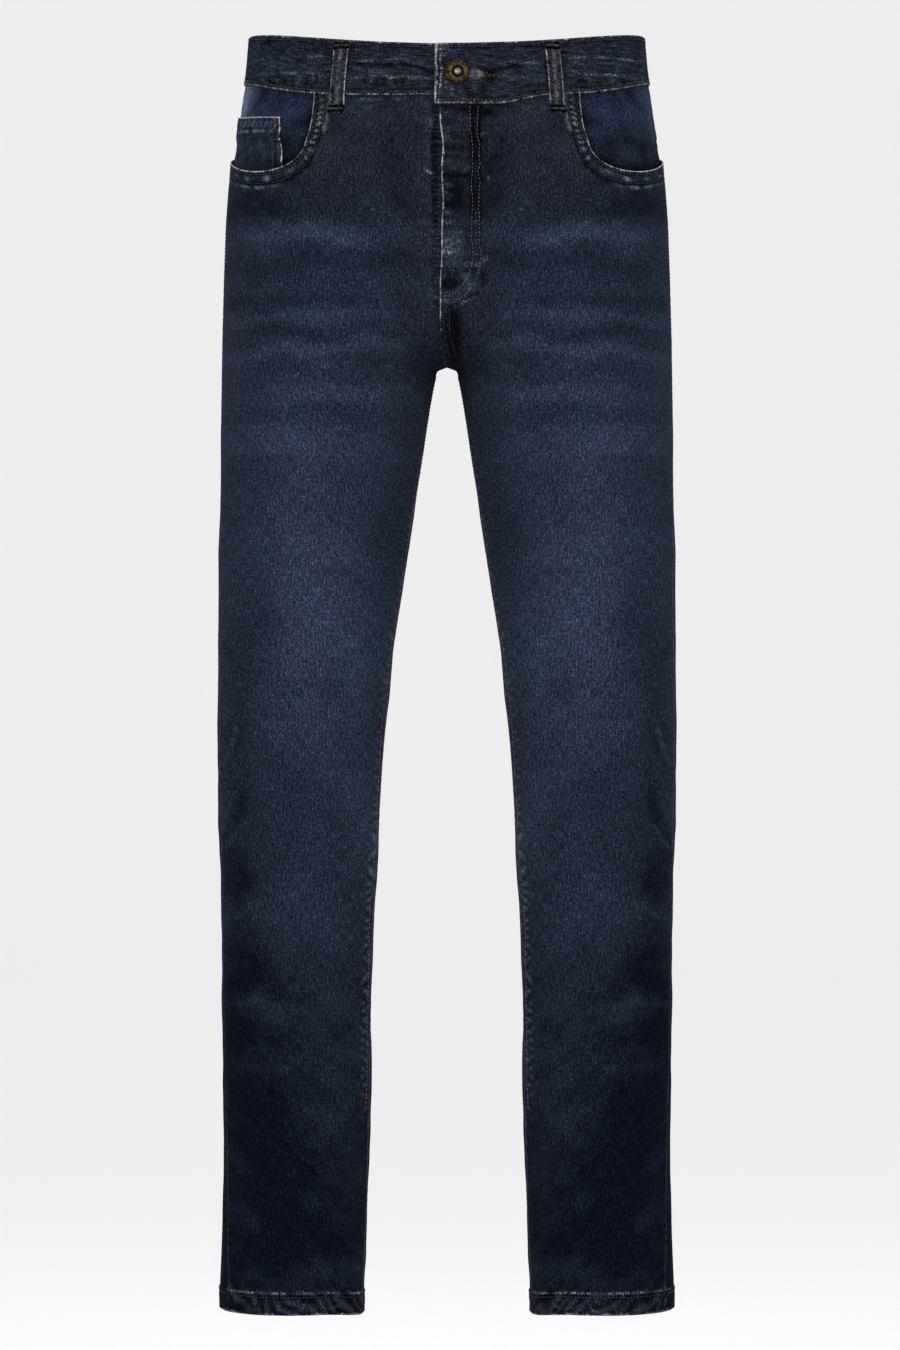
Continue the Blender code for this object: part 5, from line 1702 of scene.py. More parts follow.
        cloth.wear = washed(FRONT_FADES, across, height)
        high, low = rubbed_highs_shaded_lows(small - 0.55 * MM * (away < 14 * MM), 0.55 * MM)
        # Fold ridges are made paler as a painted highlight and fold troughs darker as painted shade, and low relief
        # is darkened as painted shade.
        fold_painted_light = 130.0 * (0.45 + 0.55 * rise(height, -860, 130))
        cloth.wear = cloth.wear + 0.95 * high - 0.20 * low + fold_painted_light * np.clip(folds, -0.001, 0.001)
        cloth.wear = cloth.wear + 0.08 * hump(near_band, 14, 10)
        near_top, blobs, ridge = self.mouth_puckers(away, along)
        cloth.wear = cloth.wear + (4.2 + 1.6 * near_top) * blobs + (2.6 + 1.4 * near_top) * unit(ridge)
        cloth.out = cloth.out + 0.35 * MM * (blobs + ridge)
        cloth.edge = unit(hump(away, 0, 0.75) + self.fly_rub(side, across, height) + hem_wear)
        # Painted shade in low relief, in the fly's sewing and the fork below it, along the mouth's lip, and just
        # under the band.
        cloth.shade = unit(0.5 * low + self.fly_shade(side, across, height)
                           + self.mouth_shade(away, along)
                           + 0.35 * hump(near_band, 0, 3))
        rub_and_shade(cloth, marked(FLY_MARKS if side is Side.LEFT else BESIDE_FLY_MARKS, point[..., 0], height),
               pale=2.3, dark=1.7)
        rub_and_shade(cloth, marked(HEM_MARKS, across, height), pale=1.6, dark=1.3)
        # The troughs of the puckers beside the inseam get painted shade.
        rope = self.rope(from_inner, height)
        cloth.out = cloth.out + 0.30 * MM * rope
        cloth.wear = cloth.wear + 1.5 * unit(rope)
        cloth.shade = unit(cloth.shade + 0.62 * unit(-rope))
        rub_and_shade(cloth, marked(LEG_MARKS, across, height), pale=1.5, dark=1.5)
        cells = np.ones((share.shape[0] - 1, share.shape[1] - 1), bool)
        cells[:mouth_row, :mouth_column] = False
        front = cloth_piece("front_" + side.word, cloth, denim, cells=cells)
        pieces: dict[str, object] = {"form": form, "front": front}
        pieces["facing"] = self.facing_piece(side, cloth, away, (mouth_row, mouth_column), facing)
        if side is Side.RIGHT:
            pieces["coin"] = self.coin_pocket(form, denim)
        return pieces

    def facing_piece(self, side: Side, front: Cloth, away: Array, corner: tuple[int, int],
                     facing: bpy.types.Material) -> bpy.types.Object:
        """The facing behind a pocket mouth, on the part of the front's grid that it lies under.

        Args:
            side: which front.
            front: the front's grid.
            away: its points' distances from the mouth.
            corner: the row and column of the mouth's corner.
            facing: the facing's finish.

        Returns:
            The facing.
        """
        row, column = corner
        part = slice(0, row + 12), slice(0, column + 9)
        cloth = front.part(*part)
        u, v = cloth.u, cloth.v
        cloth.out = -self.facing_inset(cloth) + 0.15 * MM * Waves(26, 61).at(u, v)
        outer = 1 - rise(u, 12, 48)
        upper, lower = rise(v, -60, 16), drop(v, -56, 14)
        cloth.wear = 0.38 + 0.42 * outer * upper - 0.10 * lower + 0.10 * Waves(24, 62).at(u, v)
        if side is Side.RIGHT:
            cloth.wear = cloth.wear + 1.45 * outer * upper - 0.08 * (1 - outer) * drop(v, -48, 10)
        cloth.soil = 0.6 * lower
        outside_mouth = np.zeros(u.shape)
        outside_mouth[row:, :] = 1
        outside_mouth[:, column:] = 1
        # Painted shade along the inside of the lip, on the part that the front covers, and low in the pocket.
        cloth.shade = 0.75 * hump(away[part], 0, 6) + 0.8 * outside_mouth + 0.22 * lower
        cloth.shade = np.clip(cloth.shade, 0, 0.9)
        return cloth_piece("facing_" + side.word, cloth, facing)

    def fly_rub(self, side: Side, across: Array, height: Array) -> Array:
        """How bare the lapped front's edge is rubbed, most a little below the band."""
        if side is Side.RIGHT:
            return np.zeros(across.shape)
        bare = 0.80 + 0.16 * hump(height, -74, 18) + 0.14 * Waves(9, 37).along(height)
        return hump(across - CUT.fly_edge_at(side, height), 0, 0.95) * bare * between(height, -232, -36, 60)

    def mouth_puckers(self, away: Array, along: Array) -> tuple[Array, Array, Array]:
        """The pale blocks between the mouth's two rows, and the ridge outside them.

        Args:
            away: distances from the mouth.
            along: places along it.

        Returns:
            How near a point is to the band, the blocks and the ridge.
        """
        near_top = 1 - rise(along, 26, 18)
        blocks = unit(ripples(along, 4.6 * MM, 2 * Waves(30, 33).along(along)))
        blocks = blocks * hump(away, 6.4, 2.3) * (0.65 + 0.45 * Waves(34, 35).along(along))
        ends = np.maximum(near_top, rise(along, 66, 20))
        middle, width = away - 13.0 * MM + 1.2 * MM * near_top, 1.0 * MM + 0.9 * MM * near_top
        ridge = bell(middle, width) * np.maximum(ends, 0.25) * (0.8 + 0.5 * Waves(11, 39).along(along))
        return near_top, blocks, ridge

    def facing_inset(self, cloth: Cloth) -> Array:
        """How far the facing lies inside the front's skin, nothing where both meet the side seam."""
        below = drop(cloth.v, -55, 14)
        return 3.3 * MM * np.maximum(rise(cloth.u, 0, 22), below)

    def coin_pocket(self, form: PanelForm, denim: bpy.types.Material) -> bpy.types.Object:
        """The small pocket on the right facing: its top is a doubled band, its side a folded edge.

        Its grid runs from the side seam to a wavering upright edge, and from its top to below the mouth.
        """
        fall = graded(50 * MM, 1.2 * MM, low=(2 * MM, 0.8 * MM))
        part = graded(62 * MM, 1.2 * MM, low=(2 * MM, 0.9 * MM), high=(4 * MM, 0.8 * MM))
        level = self.coin_top + (self.coin_foot - self.coin_top) * fall
        bend = 1.3 * MM * hump(level, -61, 5) - 0.6 * MM * hump(level, -76, 9)
        share = form.share_at(self.coin_side + bend, level)[:, None] * part
        height = level[:, None] - self.coin_slope * part * (1 - fall[:, None])
        point, normal = form.place(share, height)
        cloth = Cloth(point, normal, share * form.width(height), height)
        down = cloth.v[0] - cloth.v
        right = cloth.u[:, -1:] - cloth.u
        band = Roping(rows=(8.4 * MM,), ripple=0.18 * MM, pitch=6 * MM, proud=0.4 * MM, seed=71)
        side_edge = Roping(rows=(2.6 * MM,), ripple=0.18 * MM, pitch=7 * MM, proud=0.3 * MM, seed=73)
        relief = band.relief(down, cloth.u) + side_edge.relief(right, cloth.v)
        relief = relief * rise(cloth.v, -93, 8)
        cloth.out = CUT.wall + CUT.gap - self.facing_inset(cloth) + relief
        ridge = hump(down, 11.4, 1.1) * (0.75 + 0.6 * Waves(9, 76).at(cloth.u, down))
        blocks = ripples(cloth.u, 6.0 * MM, 1.5 * Waves(20, 74).along(cloth.u))
        blocks = blocks * between(down, 1.5, 7.6, 1.6)
        cloth.wear = 0.42 + 0.12 * Waves(16, 72).at(cloth.u, cloth.v) + 1.2 * unit(blocks)
        cloth.wear = cloth.wear + 0.22 * between(down, 1.5, 9.0, 1.6)
        cloth.wear = cloth.wear + 1.9 * unit(ridge) + 1.1 * hump(right, 3.5, 1.4) * (down > 12 * MM) \
            * unit(Waves(7, 75).at(cloth.v, right))
        bare = 0.75 + 0.35 * Waves(8, 77).at(cloth.u, cloth.v)
        cloth.edge = unit(0.95 * hump(down, 0, 0.8) + bare * hump(right, 0, 0.75) + 0.8 * hump(cloth.u, 0, 0.8)
                          + 0.30 * ridge)
        # Painted shade in the dents by its sewing, in the troughs of its puckers, beside its folded side, and low
        # down near the foot of the mouth.
        cloth.shade = unit(0.55 * hump(down, 8.6, 1.1) + 0.30 * hump(down, 13.6, 1.4)
                           + 0.42 * unit(-blocks) + 0.60 * hump(right, 5.8, 1.8)
                           + 0.45 * hump(down, 2.2, 0.8)
                           + 0.5 * drop(cloth.v, -80, 9))
        cloth.soil = 0.2 + 0 * cloth.u
        return cloth_piece("coin_pocket", cloth, denim)

    def fly_relief(self, side: Side, across: Array, height: Array, zone: Array) -> Array:
        """Puckers along the fly: short folds across its edge, dying out away from it."""
        edge = CUT.fly_edge_at(side, height)
        away = across - edge
        wander = 2.0 * Waves(40, 81).along(height)
        wave = np.sin(2 * math.pi * height / (10.5 * MM) + wander + 60 * np.clip(away, 0, 0.05))
        reach = np.exp(-np.clip(away, 0, None) / (15 * MM))
        sewing = sum(bell(across - row, 1.1 * MM) for row in FLY_ROWS)
        if side is Side.LEFT:
            dents = 0.30 * MM * sewing * between(height, -168, 0, 10)
            return zone * (0.22 * MM * wave * reach - dents)
        rung, ladder = self.fly_ladder(across, height)
        return zone * 0.15 * MM * wave * reach - 0.28 * MM * rung * ladder

    def fly_ladder(self, across: Array, height: Array) -> tuple[Array, Array]:
        """The even wave of the puckers beside the fly, on the right front, and where it shows."""
        wave = ripples(height, 4.1 * MM, 2 * Waves(30, 83).along(height))
        return wave, hump(across, 8.6, 2.9) * between(height, -205, -40, 16)

    def fly_shade(self, side: Side, across: Array, height: Array) -> Array:
        """Painted shade in the fork below the fly, in the troughs of the puckers beside it and in its sewing, and
        darker bands beside its edge, near the band and at its bartack.
        """
        fork = hump(across, 0, 12) * between(height, -1000, -203, 16) * 0.50
        fork = fork * rise(height, -290, 55)
        if side is Side.RIGHT:
            rung, ladder = self.fly_ladder(across, height)
            return fork + 0.34 * ladder * (0.60 + 0.60 * rung)
        sewing = sum(bell(across - row, 2.2 * MM) for row in FLY_ROWS)
        high = rise(height, -150, 30)
        beside = 0.40 * hump(across, 23.4, 6) + 0.18 * hump(across, 37, 9)
        upper = 0.50 * hump(across, 7, 14) * rise(height, -96, 34)
        tack = hump(across, -0.5, 6.5) * hump(height, -177, 5)
        return (0.34 * sewing * between(height, -172, 0, 8) + high * beside + upper + 0.32 * tack + fork
                + 0.22 * hump(across, 8, 16) * between(height, -150, -60, 30))

    def seam_relief(self, u: Array, from_inner: Array, height: Array) -> Array:
        """Roping beside the side seam and the inseam."""
        side_seam = Roping(rows=(4.5 * MM,), ripple=0.16 * MM, pitch=10 * MM, proud=0.15 * MM, seed=91)
        inseam = Roping(rows=(4.5 * MM,), ripple=0.28 * MM, pitch=9.5 * MM, proud=0.35 * MM, seed=93)
        below = rise(CROTCH + 30 * MM - height, 0, 40)
        return side_seam.relief(u, height) * drop(height, -90, 20) \
            + inseam.relief(from_inner, height) * below

    def rope(self, from_inner: Array, height: Array) -> Array:
        """Slanting puckers beside the inseam, about zero, strongest below the knee."""
        wander = 1.6 * Waves(24, 95).along(height)
        wave = ripples(height + from_inner**2 / (120 * MM), 6.4 * MM, wander)
        reach = hump(from_inner, 13.0, 7.6) * between(height, -865, -300, 60)
        return wave * reach * (0.6 + 0.6 * between(height, -840, -640, 80))


def hem_relief(u: Array, height: Array, foot: Array, seed: int) -> tuple[Array, Array, Array]:
    """The turned-up hem: a doubled band, a dent at its sewing, slanting ripples, and its rubbed edges.

    Args:
        u: distances round the leg.
        height: heights.
        foot: the hem's foot at each point.
        seed: the seed of its ripples.

    Returns:
        The small relief in metres, how bare the cloth is rubbed, and how far the doubled band stands out.
    """
    up = height - foot
    band = smooth_step((CUT.hem_height - up) / (1.6 * MM) + 0.5)
    wander = 2.4 * Waves(52, seed).at(u, up)
    wave = ripples(u + 0.9 * up, 15 * MM, wander)
    ripple = 0.28 * MM * wave * plateau(up, -5 * MM, CUT.hem_height + 1 * MM, 5 * MM)
    sewing = 0.45 * MM * hump(up - HEM_SEWING, 0, 0.9)
    ridge = 0.35 * MM * hump(up, 17.0, 1.0)
    relief = ripple - sewing + ridge
    edges = 0.52 * hump(up, 17.0, 0.9) + 0.50 * hump(up, 0, 1.1)
    rub = edges * (0.85 + 0.4 * Waves(20, seed + 1).at(u, up))
    return relief, rub, CUT.hem_proud * band


# ---------------------------------------------------------------- backs


@dataclass
class BackPanels:
    """The two backs with their yokes and patch pockets.

    Attributes:
        middle: distance of a pocket's middle from the centre back.
        top: height of its top.
        tilt: how much lower its inner corner is than its middle.
        top_half: half its width at the top.
        foot_half: half its width at the foot.
        side: its length at the side.
        point: how much longer it is in the middle.
        lift: the gap under it.
        level_from: the height below which a panel's rows straighten out.
    """

    middle: float = 98 * MM
    top: float = -97 * MM
    tilt: float = 7 * MM
    top_half: float = 72 * MM
    foot_half: float = 60 * MM
    side: float = 104 * MM
    point: float = 27 * MM
    lift: float = 0.7 * MM
    level_from: float = -90 * MM

    def build(self, side: Side, denim: bpy.types.Material) -> dict[str, object]:
        """Makes one back, its yoke and its pocket.

        Args:
            side: which back.
            denim: the denim finish.

        Returns:
            The pieces by name, and the form.
        """
        form = PanelForm(side, Face.BACK)
        share = graded(270 * MM, 3.6 * MM, low=(8 * MM, 1.4 * MM), high=(10 * MM, 1.4 * MM))
        seam = CUT.yoke_side + (CUT.yoke_centre - CUT.yoke_side) * share - CUT.gap
        hem_top = CUT.hem_foot + CUT.hem_height
        steps = graded(920 * MM, 3.6 * MM, low=(12 * MM, 1.4 * MM), high=(4 * MM, 1.4 * MM))
        level = self.level_from - (self.level_from - hem_top) * steps
        level[np.argmin(np.abs(level - CROTCH))] = CROTCH
        fade = 1 - drop(level, -90, 110)
        height = level[:, None] + (seam - self.level_from) * fade[:, None]
        hem = np.linspace(0, 1, 16)[1:, None]
        height = np.vstack([height, hem_top + (CUT.hem_foot_at(share) - hem_top) * hem])
        shares = np.tile(share, (len(height), 1))
        cloth = self.cloth(form, shares, height)
        u, v = cloth.u, cloth.v
        from_inner = form.width(height) - u
        under_yoke = seam[None, :] - height
        sewn = Roping(rows=DOUBLE_ROWS, ripple=0.25 * MM, proud=0.5 * MM, seed=101)
        middle = Roping(rows=DOUBLE_ROWS, ripple=0.25 * MM, proud=0.5 * MM, seed=103)
        lower = Roping(rows=(4.5 * MM,), ripple=0.2 * MM, pitch=10 * MM, proud=0.15 * MM, seed=105)
        above = rise(height - CROTCH, 0, 20)
        seams = middle.relief(from_inner, height) * above * (side is Side.LEFT) \
            + lower.relief(u, height) + lower.relief(from_inner, height) * (1 - above)
        small = sewn.relief(under_yoke, u) + seams
        hem_up, hem_wear, doubled = hem_relief(u, height, CUT.hem_foot_at(shares), 57 + side.value)
        small = small + hem_up
        folds = folded(BACK_CREASES, u, v) * rise(u, 0, 14) * rise(from_inner, 0, 14)
        folds = folds * rise(under_yoke, 12, 20)
        folds = folds * (1 - self.under_pocket(form, shares, height))
        cloth.out = small + folds + doubled
        cloth.thick = np.where(height < hem_top - 1 * MM, CUT.hem_thick, cloth.thick)
        high, low = rubbed_highs_shaded_lows(small - 0.2 * MM, 0.55 * MM)
        across = cloth.point[..., 0] * side.value
        # Painted highlight on the folds' ridges and painted shade in their troughs, and below painted shade in low
        # relief.
        cloth.wear = washed(BACK_FADES, across, height) + 0.8 * high + 130 * np.clip(folds, -0.001, 0.001)
        cloth.edge = unit(hem_wear + 0.3 * hump(under_yoke, 0, 1.2))
        cloth.shade = unit(0.45 * low)
        back = cloth_piece("back_" + side.word, cloth, denim)
        yoke = self.yoke(form, share, side, denim)
        pocket = self.pocket(form, side, denim)
        return {"form": form, "back": back, "yoke": yoke, "pocket": pocket}

    def cloth(self, form: PanelForm, share: Array, height: Array) -> Cloth:
        """A plain cloth on these points of the panel."""
        point, normal = form.place(share, height)
        return Cloth(point, normal, share * form.width(height), height)

    def yoke(self, form: PanelForm, share: Array, side: Side, denim: bpy.types.Material) -> bpy.types.Object:
        """The yoke: from the band's seam down to the slanting yoke seam."""
        top = np.full_like(share, CUT.band_foot_back)
        for _ in range(4):
            point, _ = form.place(share, top)
            top = CUT.band_foot(point[..., 0] * side.value, Face.BACK, side)
        top = top - CUT.gap
        fall = graded(56 * MM, 3.2 * MM, high=(6 * MM, 1.4 * MM))[:, None]
        foot = CUT.yoke_side + (CUT.yoke_centre - CUT.yoke_side) * share
        height = top + (foot - top) * fall
        cloth = self.cloth(form, np.tile(share, (len(height), 1)), height)
        from_inner = form.width(height) - cloth.u
        middle = Roping(rows=DOUBLE_ROWS, ripple=0.25 * MM, proud=0.5 * MM, seed=107)
        relief = middle.relief(from_inner, height) * (side is Side.LEFT)
        cloth.out = relief + 0.25 * MM * Waves(60, 109).at(cloth.u, height) * rise(height - foot, 0, 9)
        high, low = rubbed_highs_shaded_lows(relief - 0.2 * MM, 0.55 * MM)
        cloth.wear = washed((), cloth.point[..., 0] * side.value, height) + 0.25 * high
        # Painted shade in low relief and along the yoke's foot at its seam.
        cloth.shade = 0.45 * low + 0.35 * hump(height - foot, 0, 2)
        return cloth_piece("yoke_" + side.word, cloth, denim)

    def pocket_place(self, form: PanelForm, across: Array, down: Array) -> tuple[Array, Array]:
        """Shares and heights of points of the pocket, by parts of its half width and of its length."""
        half = self.top_half + (self.foot_half - self.top_half) * down
        length = self.side + self.point * (1 - np.abs(across))
        height = self.top + self.tilt * across - down * length
        middle_height = self.top - down * (self.side + self.point)
        share = 1 - (self.middle + across * half) / form.width(middle_height + 0 * across)
        return share, height

    def under_pocket(self, form: PanelForm, share: Array, height: Array) -> Array:
        """1 where the pocket covers the panel and 0 away from it."""
        width = form.width(height)
        off = np.abs((1 - share) * width - self.middle) - self.top_half
        low = self.top - self.side - self.point
        return smooth_step(-off / (14 * MM) + 1) * plateau(height, low - 12 * MM, self.top + 16 * MM, 24 * MM)

    def pocket(self, form: PanelForm, side: Side, denim: bpy.types.Material) -> bpy.types.Object:
        """The patch pocket: folded edges sewn twice, a doubled top, narrower at its blunt point."""
        across = np.linspace(-1, 1, 57)[None, :]
        down = graded(120 * MM, 2.6 * MM, low=(18 * MM, 1.6 * MM), high=(8 * MM, 1.4 * MM))[:, None]
        across, down = np.broadcast_arrays(across, down)
        share, height = self.pocket_place(form, across, down)
        cloth = self.cloth(form, share, height)
        half = self.top_half + (self.foot_half - self.top_half) * down
        from_side = (1 - np.abs(across)) * half
        from_foot = (1 - down) * (self.side + self.point * (1 - np.abs(across))) * 0.93
        from_top = down * (self.side + self.point)
        edge = np.minimum(from_side, from_foot)
        sewn = Roping(rows=PATCH_ROWS, ripple=0.25 * MM, proud=0.45 * MM, seed=111)
        relief = sewn.relief(edge, from_side + from_foot)
        hem = Roping(rows=PATCH_TOP_ROWS, ripple=0.2 * MM, proud=0.5 * MM, seed=113)
        relief = np.maximum(relief, 0) + hem.relief(from_top, share * 0.25)
        cloth.out = self.lift + CUT.wall + relief + 0.9 * MM * hump(from_top, 0, 9) * rise(from_side, 0, 30)
        high, low = rubbed_highs_shaded_lows(relief - 0.35 * MM, 0.5 * MM)
        cloth.wear = washed(BACK_FADES, cloth.point[..., 0] * side.value, height) + 0.03 + 0.25 * high
        cloth.edge = unit(0.55 * hump(edge, 0, 1.2) + 0.6 * hump(from_top, 0, 1.2))
        # Painted shade in low relief.
        cloth.shade = 0.45 * low
        return cloth_piece("back_pocket_" + side.word, cloth, denim)


# ---------------------------------------------------------------- waistband, loops and button


@dataclass
class Waistband:
    """The band round the waist, its left end lapped over its right end at the front.

    Attributes:
        thick: its thickness.
        proud: how far it stands in front of the panels.
        end: the upper end's distance right of the middle.
        under_end: the lower end's distance left of the middle.
        rise: how far the upper end is raised.
        sink: how far the lower end is sunk.
        shift_from: how far past the other end this starts to fade.
        shift_fade: over which length it fades.
    """

    thick: float = 2.6 * MM
    proud: float = 1.0 * MM
    end: float = 9 * MM
    under_end: float = 32 * MM
    rise: float = 2.1 * MM
    sink: float = 1.5 * MM
    shift_from: float = 4 * MM
    shift_fade: float = 26 * MM

    def skin(self, angle: Array, height: Array) -> tuple[Array, Array]:
        """Skin points at angles round the waist's middle: 0 is the front, rising to the wearer's left."""
        level = Level(height)
        sin, cos = np.sin(angle), np.cos(angle)

        def inside(reach: Array) -> Array:
            """Whether points this far out are inside the jeans."""
            return level.outside(reach * sin, -reach * cos) < 0

        reach = halve(inside, np.zeros_like(angle), np.full_like(angle, FAR_REACH))
        return reach * sin, -reach * cos

    def angle_at(self, across: float) -> float:
        """The angle round the waist of a point on the front at a distance from the middle."""
        depth = float(skin_depth(np.array([across]), np.array([-16 * MM]))[0])
        return math.atan2(across, -depth)

    def cloth(self) -> Cloth:
        """The band's grid, from its upper end round by the wearer's left and the back to its lower end."""
        start, end = self.angle_at(-self.end), 2 * math.pi + self.angle_at(self.under_end)
        steps = graded(900 * MM, 3.0 * MM, low=(185 * MM, 1.35 * MM), high=(205 * MM, 1.35 * MM))
        angle = start + (end - start) * steps
        turn = np.mod(angle + math.pi, 2 * math.pi) - math.pi
        is_back = np.abs(turn) > math.pi / 2
        first_half = angle < math.pi
        foot = np.full_like(angle, -25 * MM)
        for _ in range(4):
            x, _ = self.skin(angle, foot)
            front_left = CUT.band_foot(np.where(first_half, x, np.abs(x)), Face.FRONT, Side.LEFT)
            front_right = CUT.band_foot(x, Face.FRONT, Side.RIGHT)
            back = CUT.band_foot(x, Face.BACK, Side.LEFT)
            foot = np.where(is_back, back, np.where(first_half, front_left, front_right))
        blend_back = smooth_step((np.abs(turn) - math.pi / 2) / 0.2 + 0.5)
        foot = foot + CUT.gap
        x, _ = self.skin(angle, foot)
        top_front = CUT.band_top(x, np.zeros_like(x, bool))
        top_back = CUT.band_top(x, np.ones_like(x, bool))
        top = top_front + (top_back - top_front) * blend_back
        rows = graded(41 * MM, 1.25 * MM, low=(5 * MM, 0.8 * MM), high=(5 * MM, 0.8 * MM))[:, None]
        height = foot + (top - foot) * rows
        angles = np.broadcast_to(angle, height.shape)
        x, y = self.skin(angles, height)
        sample = np.sign(x) + (x == 0)
        normal = normals_at(np.abs(x), y, height)
        normal[..., 0] *= sample
        normal[..., 2] = 0.0
        normal /= np.linalg.norm(normal, axis=-1, keepdims=True)
        point = np.stack([x, y, height], axis=-1)
        run = np.hypot(np.diff(x[0]), np.diff(y[0]))
        around = np.concatenate([[0.0], np.cumsum(run)])
        cloth = Cloth(point, normal, height - foot, np.broadcast_to(around, height.shape))
        upper = self.rise * (1 - smooth_step((x - self.under_end - self.shift_from) / self.shift_fade))
        lower = -self.sink * (1 - smooth_step((-x - self.end - self.shift_from) / self.shift_fade))
        shift = np.where(is_back, 0.0, np.where(first_half, upper, lower))
        cloth.out = self.proud + shift
        cloth.thick = np.full(height.shape, self.thick)
        return cloth

    def build(self, denim: bpy.types.Material) -> bpy.types.Object:
        """Makes the band with its sewn edges, its rubbed level wrinkles and its puckers."""
        cloth = self.cloth()
        height, around = cloth.point[..., 2], cloth.v
        foot, top = height[0], height[-1]
        up, down = height - foot, top - height
        lower = Roping(rows=BAND_ROWS[:1], ripple=0.20 * MM, pitch=8 * MM, proud=0.0, seed=121)
        upper = Roping(rows=BAND_ROWS[1:], ripple=0.15 * MM, pitch=9 * MM, proud=0.0, seed=123)
        wrinkles = np.zeros(height.shape)
        behind = rise(cloth.point[..., 1], 0, 30)
        for share, size, seed in ((0.34, 0.42, 2), (0.68, 0.36, 3)):
            line = share * (top - foot) + 2.0 * MM * Waves(62, 130 + seed).along(around)
            strength = 0.5 + 0.7 * Waves(48, 140 + seed).along(around)
            wrinkles = wrinkles + size * MM * np.clip(strength, 0, 1.3) * hump(up - line, 0, 1.6)
        wrinkles = wrinkles * (0.25 + 0.75 * behind)
        inner = between(up, 4, 1000, 5) * between(down, 4, 1000, 5)
        wrinkles = (wrinkles - 0.08 * MM) * inner
        small = lower.relief(up, around) + upper.relief(down, around) + wrinkles
        swell = 0.35 * MM * Waves(110, 127).at(around, height)
        cloth.out = cloth.out + small + 0.5 * swell * inner
        high, low = rubbed_highs_shaded_lows(small, 0.42 * MM)
        ends = np.minimum(around, around.max() - around)
        streaks = (Waves(1000, 132).at(around / (34 * MM), up / (3.6 * MM))
                   + Waves(1000, 133).at(around / (16 * MM), up / (1.9 * MM)))
        cloth.wear = 0.40 + 0.7 * high + 0.13 * streaks + 0.08 * Waves(30, 128).at(around, height)
        sway = around + 0.9 * MM * Waves(13, 129).along(height)
        bare = 0.88 + 0.30 * Waves(6, 134).at(height, around)
        upper_end = (0.66 * hump(sway, 0.3, 0.9) + 0.56 * hump(sway, 3.7, 1.1)) * bare
        corner = hump(around, 5, 5) * hump(down, 1, 4)
        cloth.edge = unit(0.55 * hump(up, 0, 0.8) + 0.34 * hump(down, 0, 0.8) + 0.30 * hump(ends, 0, 0.7)
                          + upper_end + 0.22 * corner)
        cloth.wear = cloth.wear + 1.2 * corner + 0.8 * hump(sway, 3.6, 1.6)
        # Painted shade in the hollows of its wrinkles, beside its rows of sewing and between the folds at its upper
        # end, with a slight even darkening.
        cloth.shade = unit(0.45 * low + 0.40 * hump(up, 3.4, 1.4) + 0.45 * hump(down, 3.2, 1.6)
                           + 0.05 + 0.45 * hump(sway, 1.9, 0.8))
        front = 1.0 * (cloth.point[..., 1] < 0)
        outer = rise(np.abs(cloth.point[..., 0]), 60, 60)
        rub_and_shade(cloth, front * marked(BAND_MARKS, cloth.point[..., 0], height - 3.2 * MM * outer), 0.55 * MM)
        self.laid = cloth
        return cloth_piece("waistband", cloth, denim)


@dataclass(frozen=True)
class LoopPlace:
    """Where a belt loop sits: its side, its face, and its top's and foot's distances from the middle."""

    name: str
    side: Side
    face: Face
    top: float
    foot: float


LOOP_PLACES = (
    LoopPlace("loop_front_right", Side.RIGHT, Face.FRONT, 84.5 * MM, 89.8 * MM),
    LoopPlace("loop_front_left", Side.LEFT, Face.FRONT, 84.5 * MM, 89.8 * MM),
    LoopPlace("loop_back_right", Side.RIGHT, Face.BACK, 128.0 * MM, 130.0 * MM),
    LoopPlace("loop_back_left", Side.LEFT, Face.BACK, 128.0 * MM, 130.0 * MM),
    LoopPlace("loop_back_centre", Side.LEFT, Face.BACK, 0.0, 0.0),
)


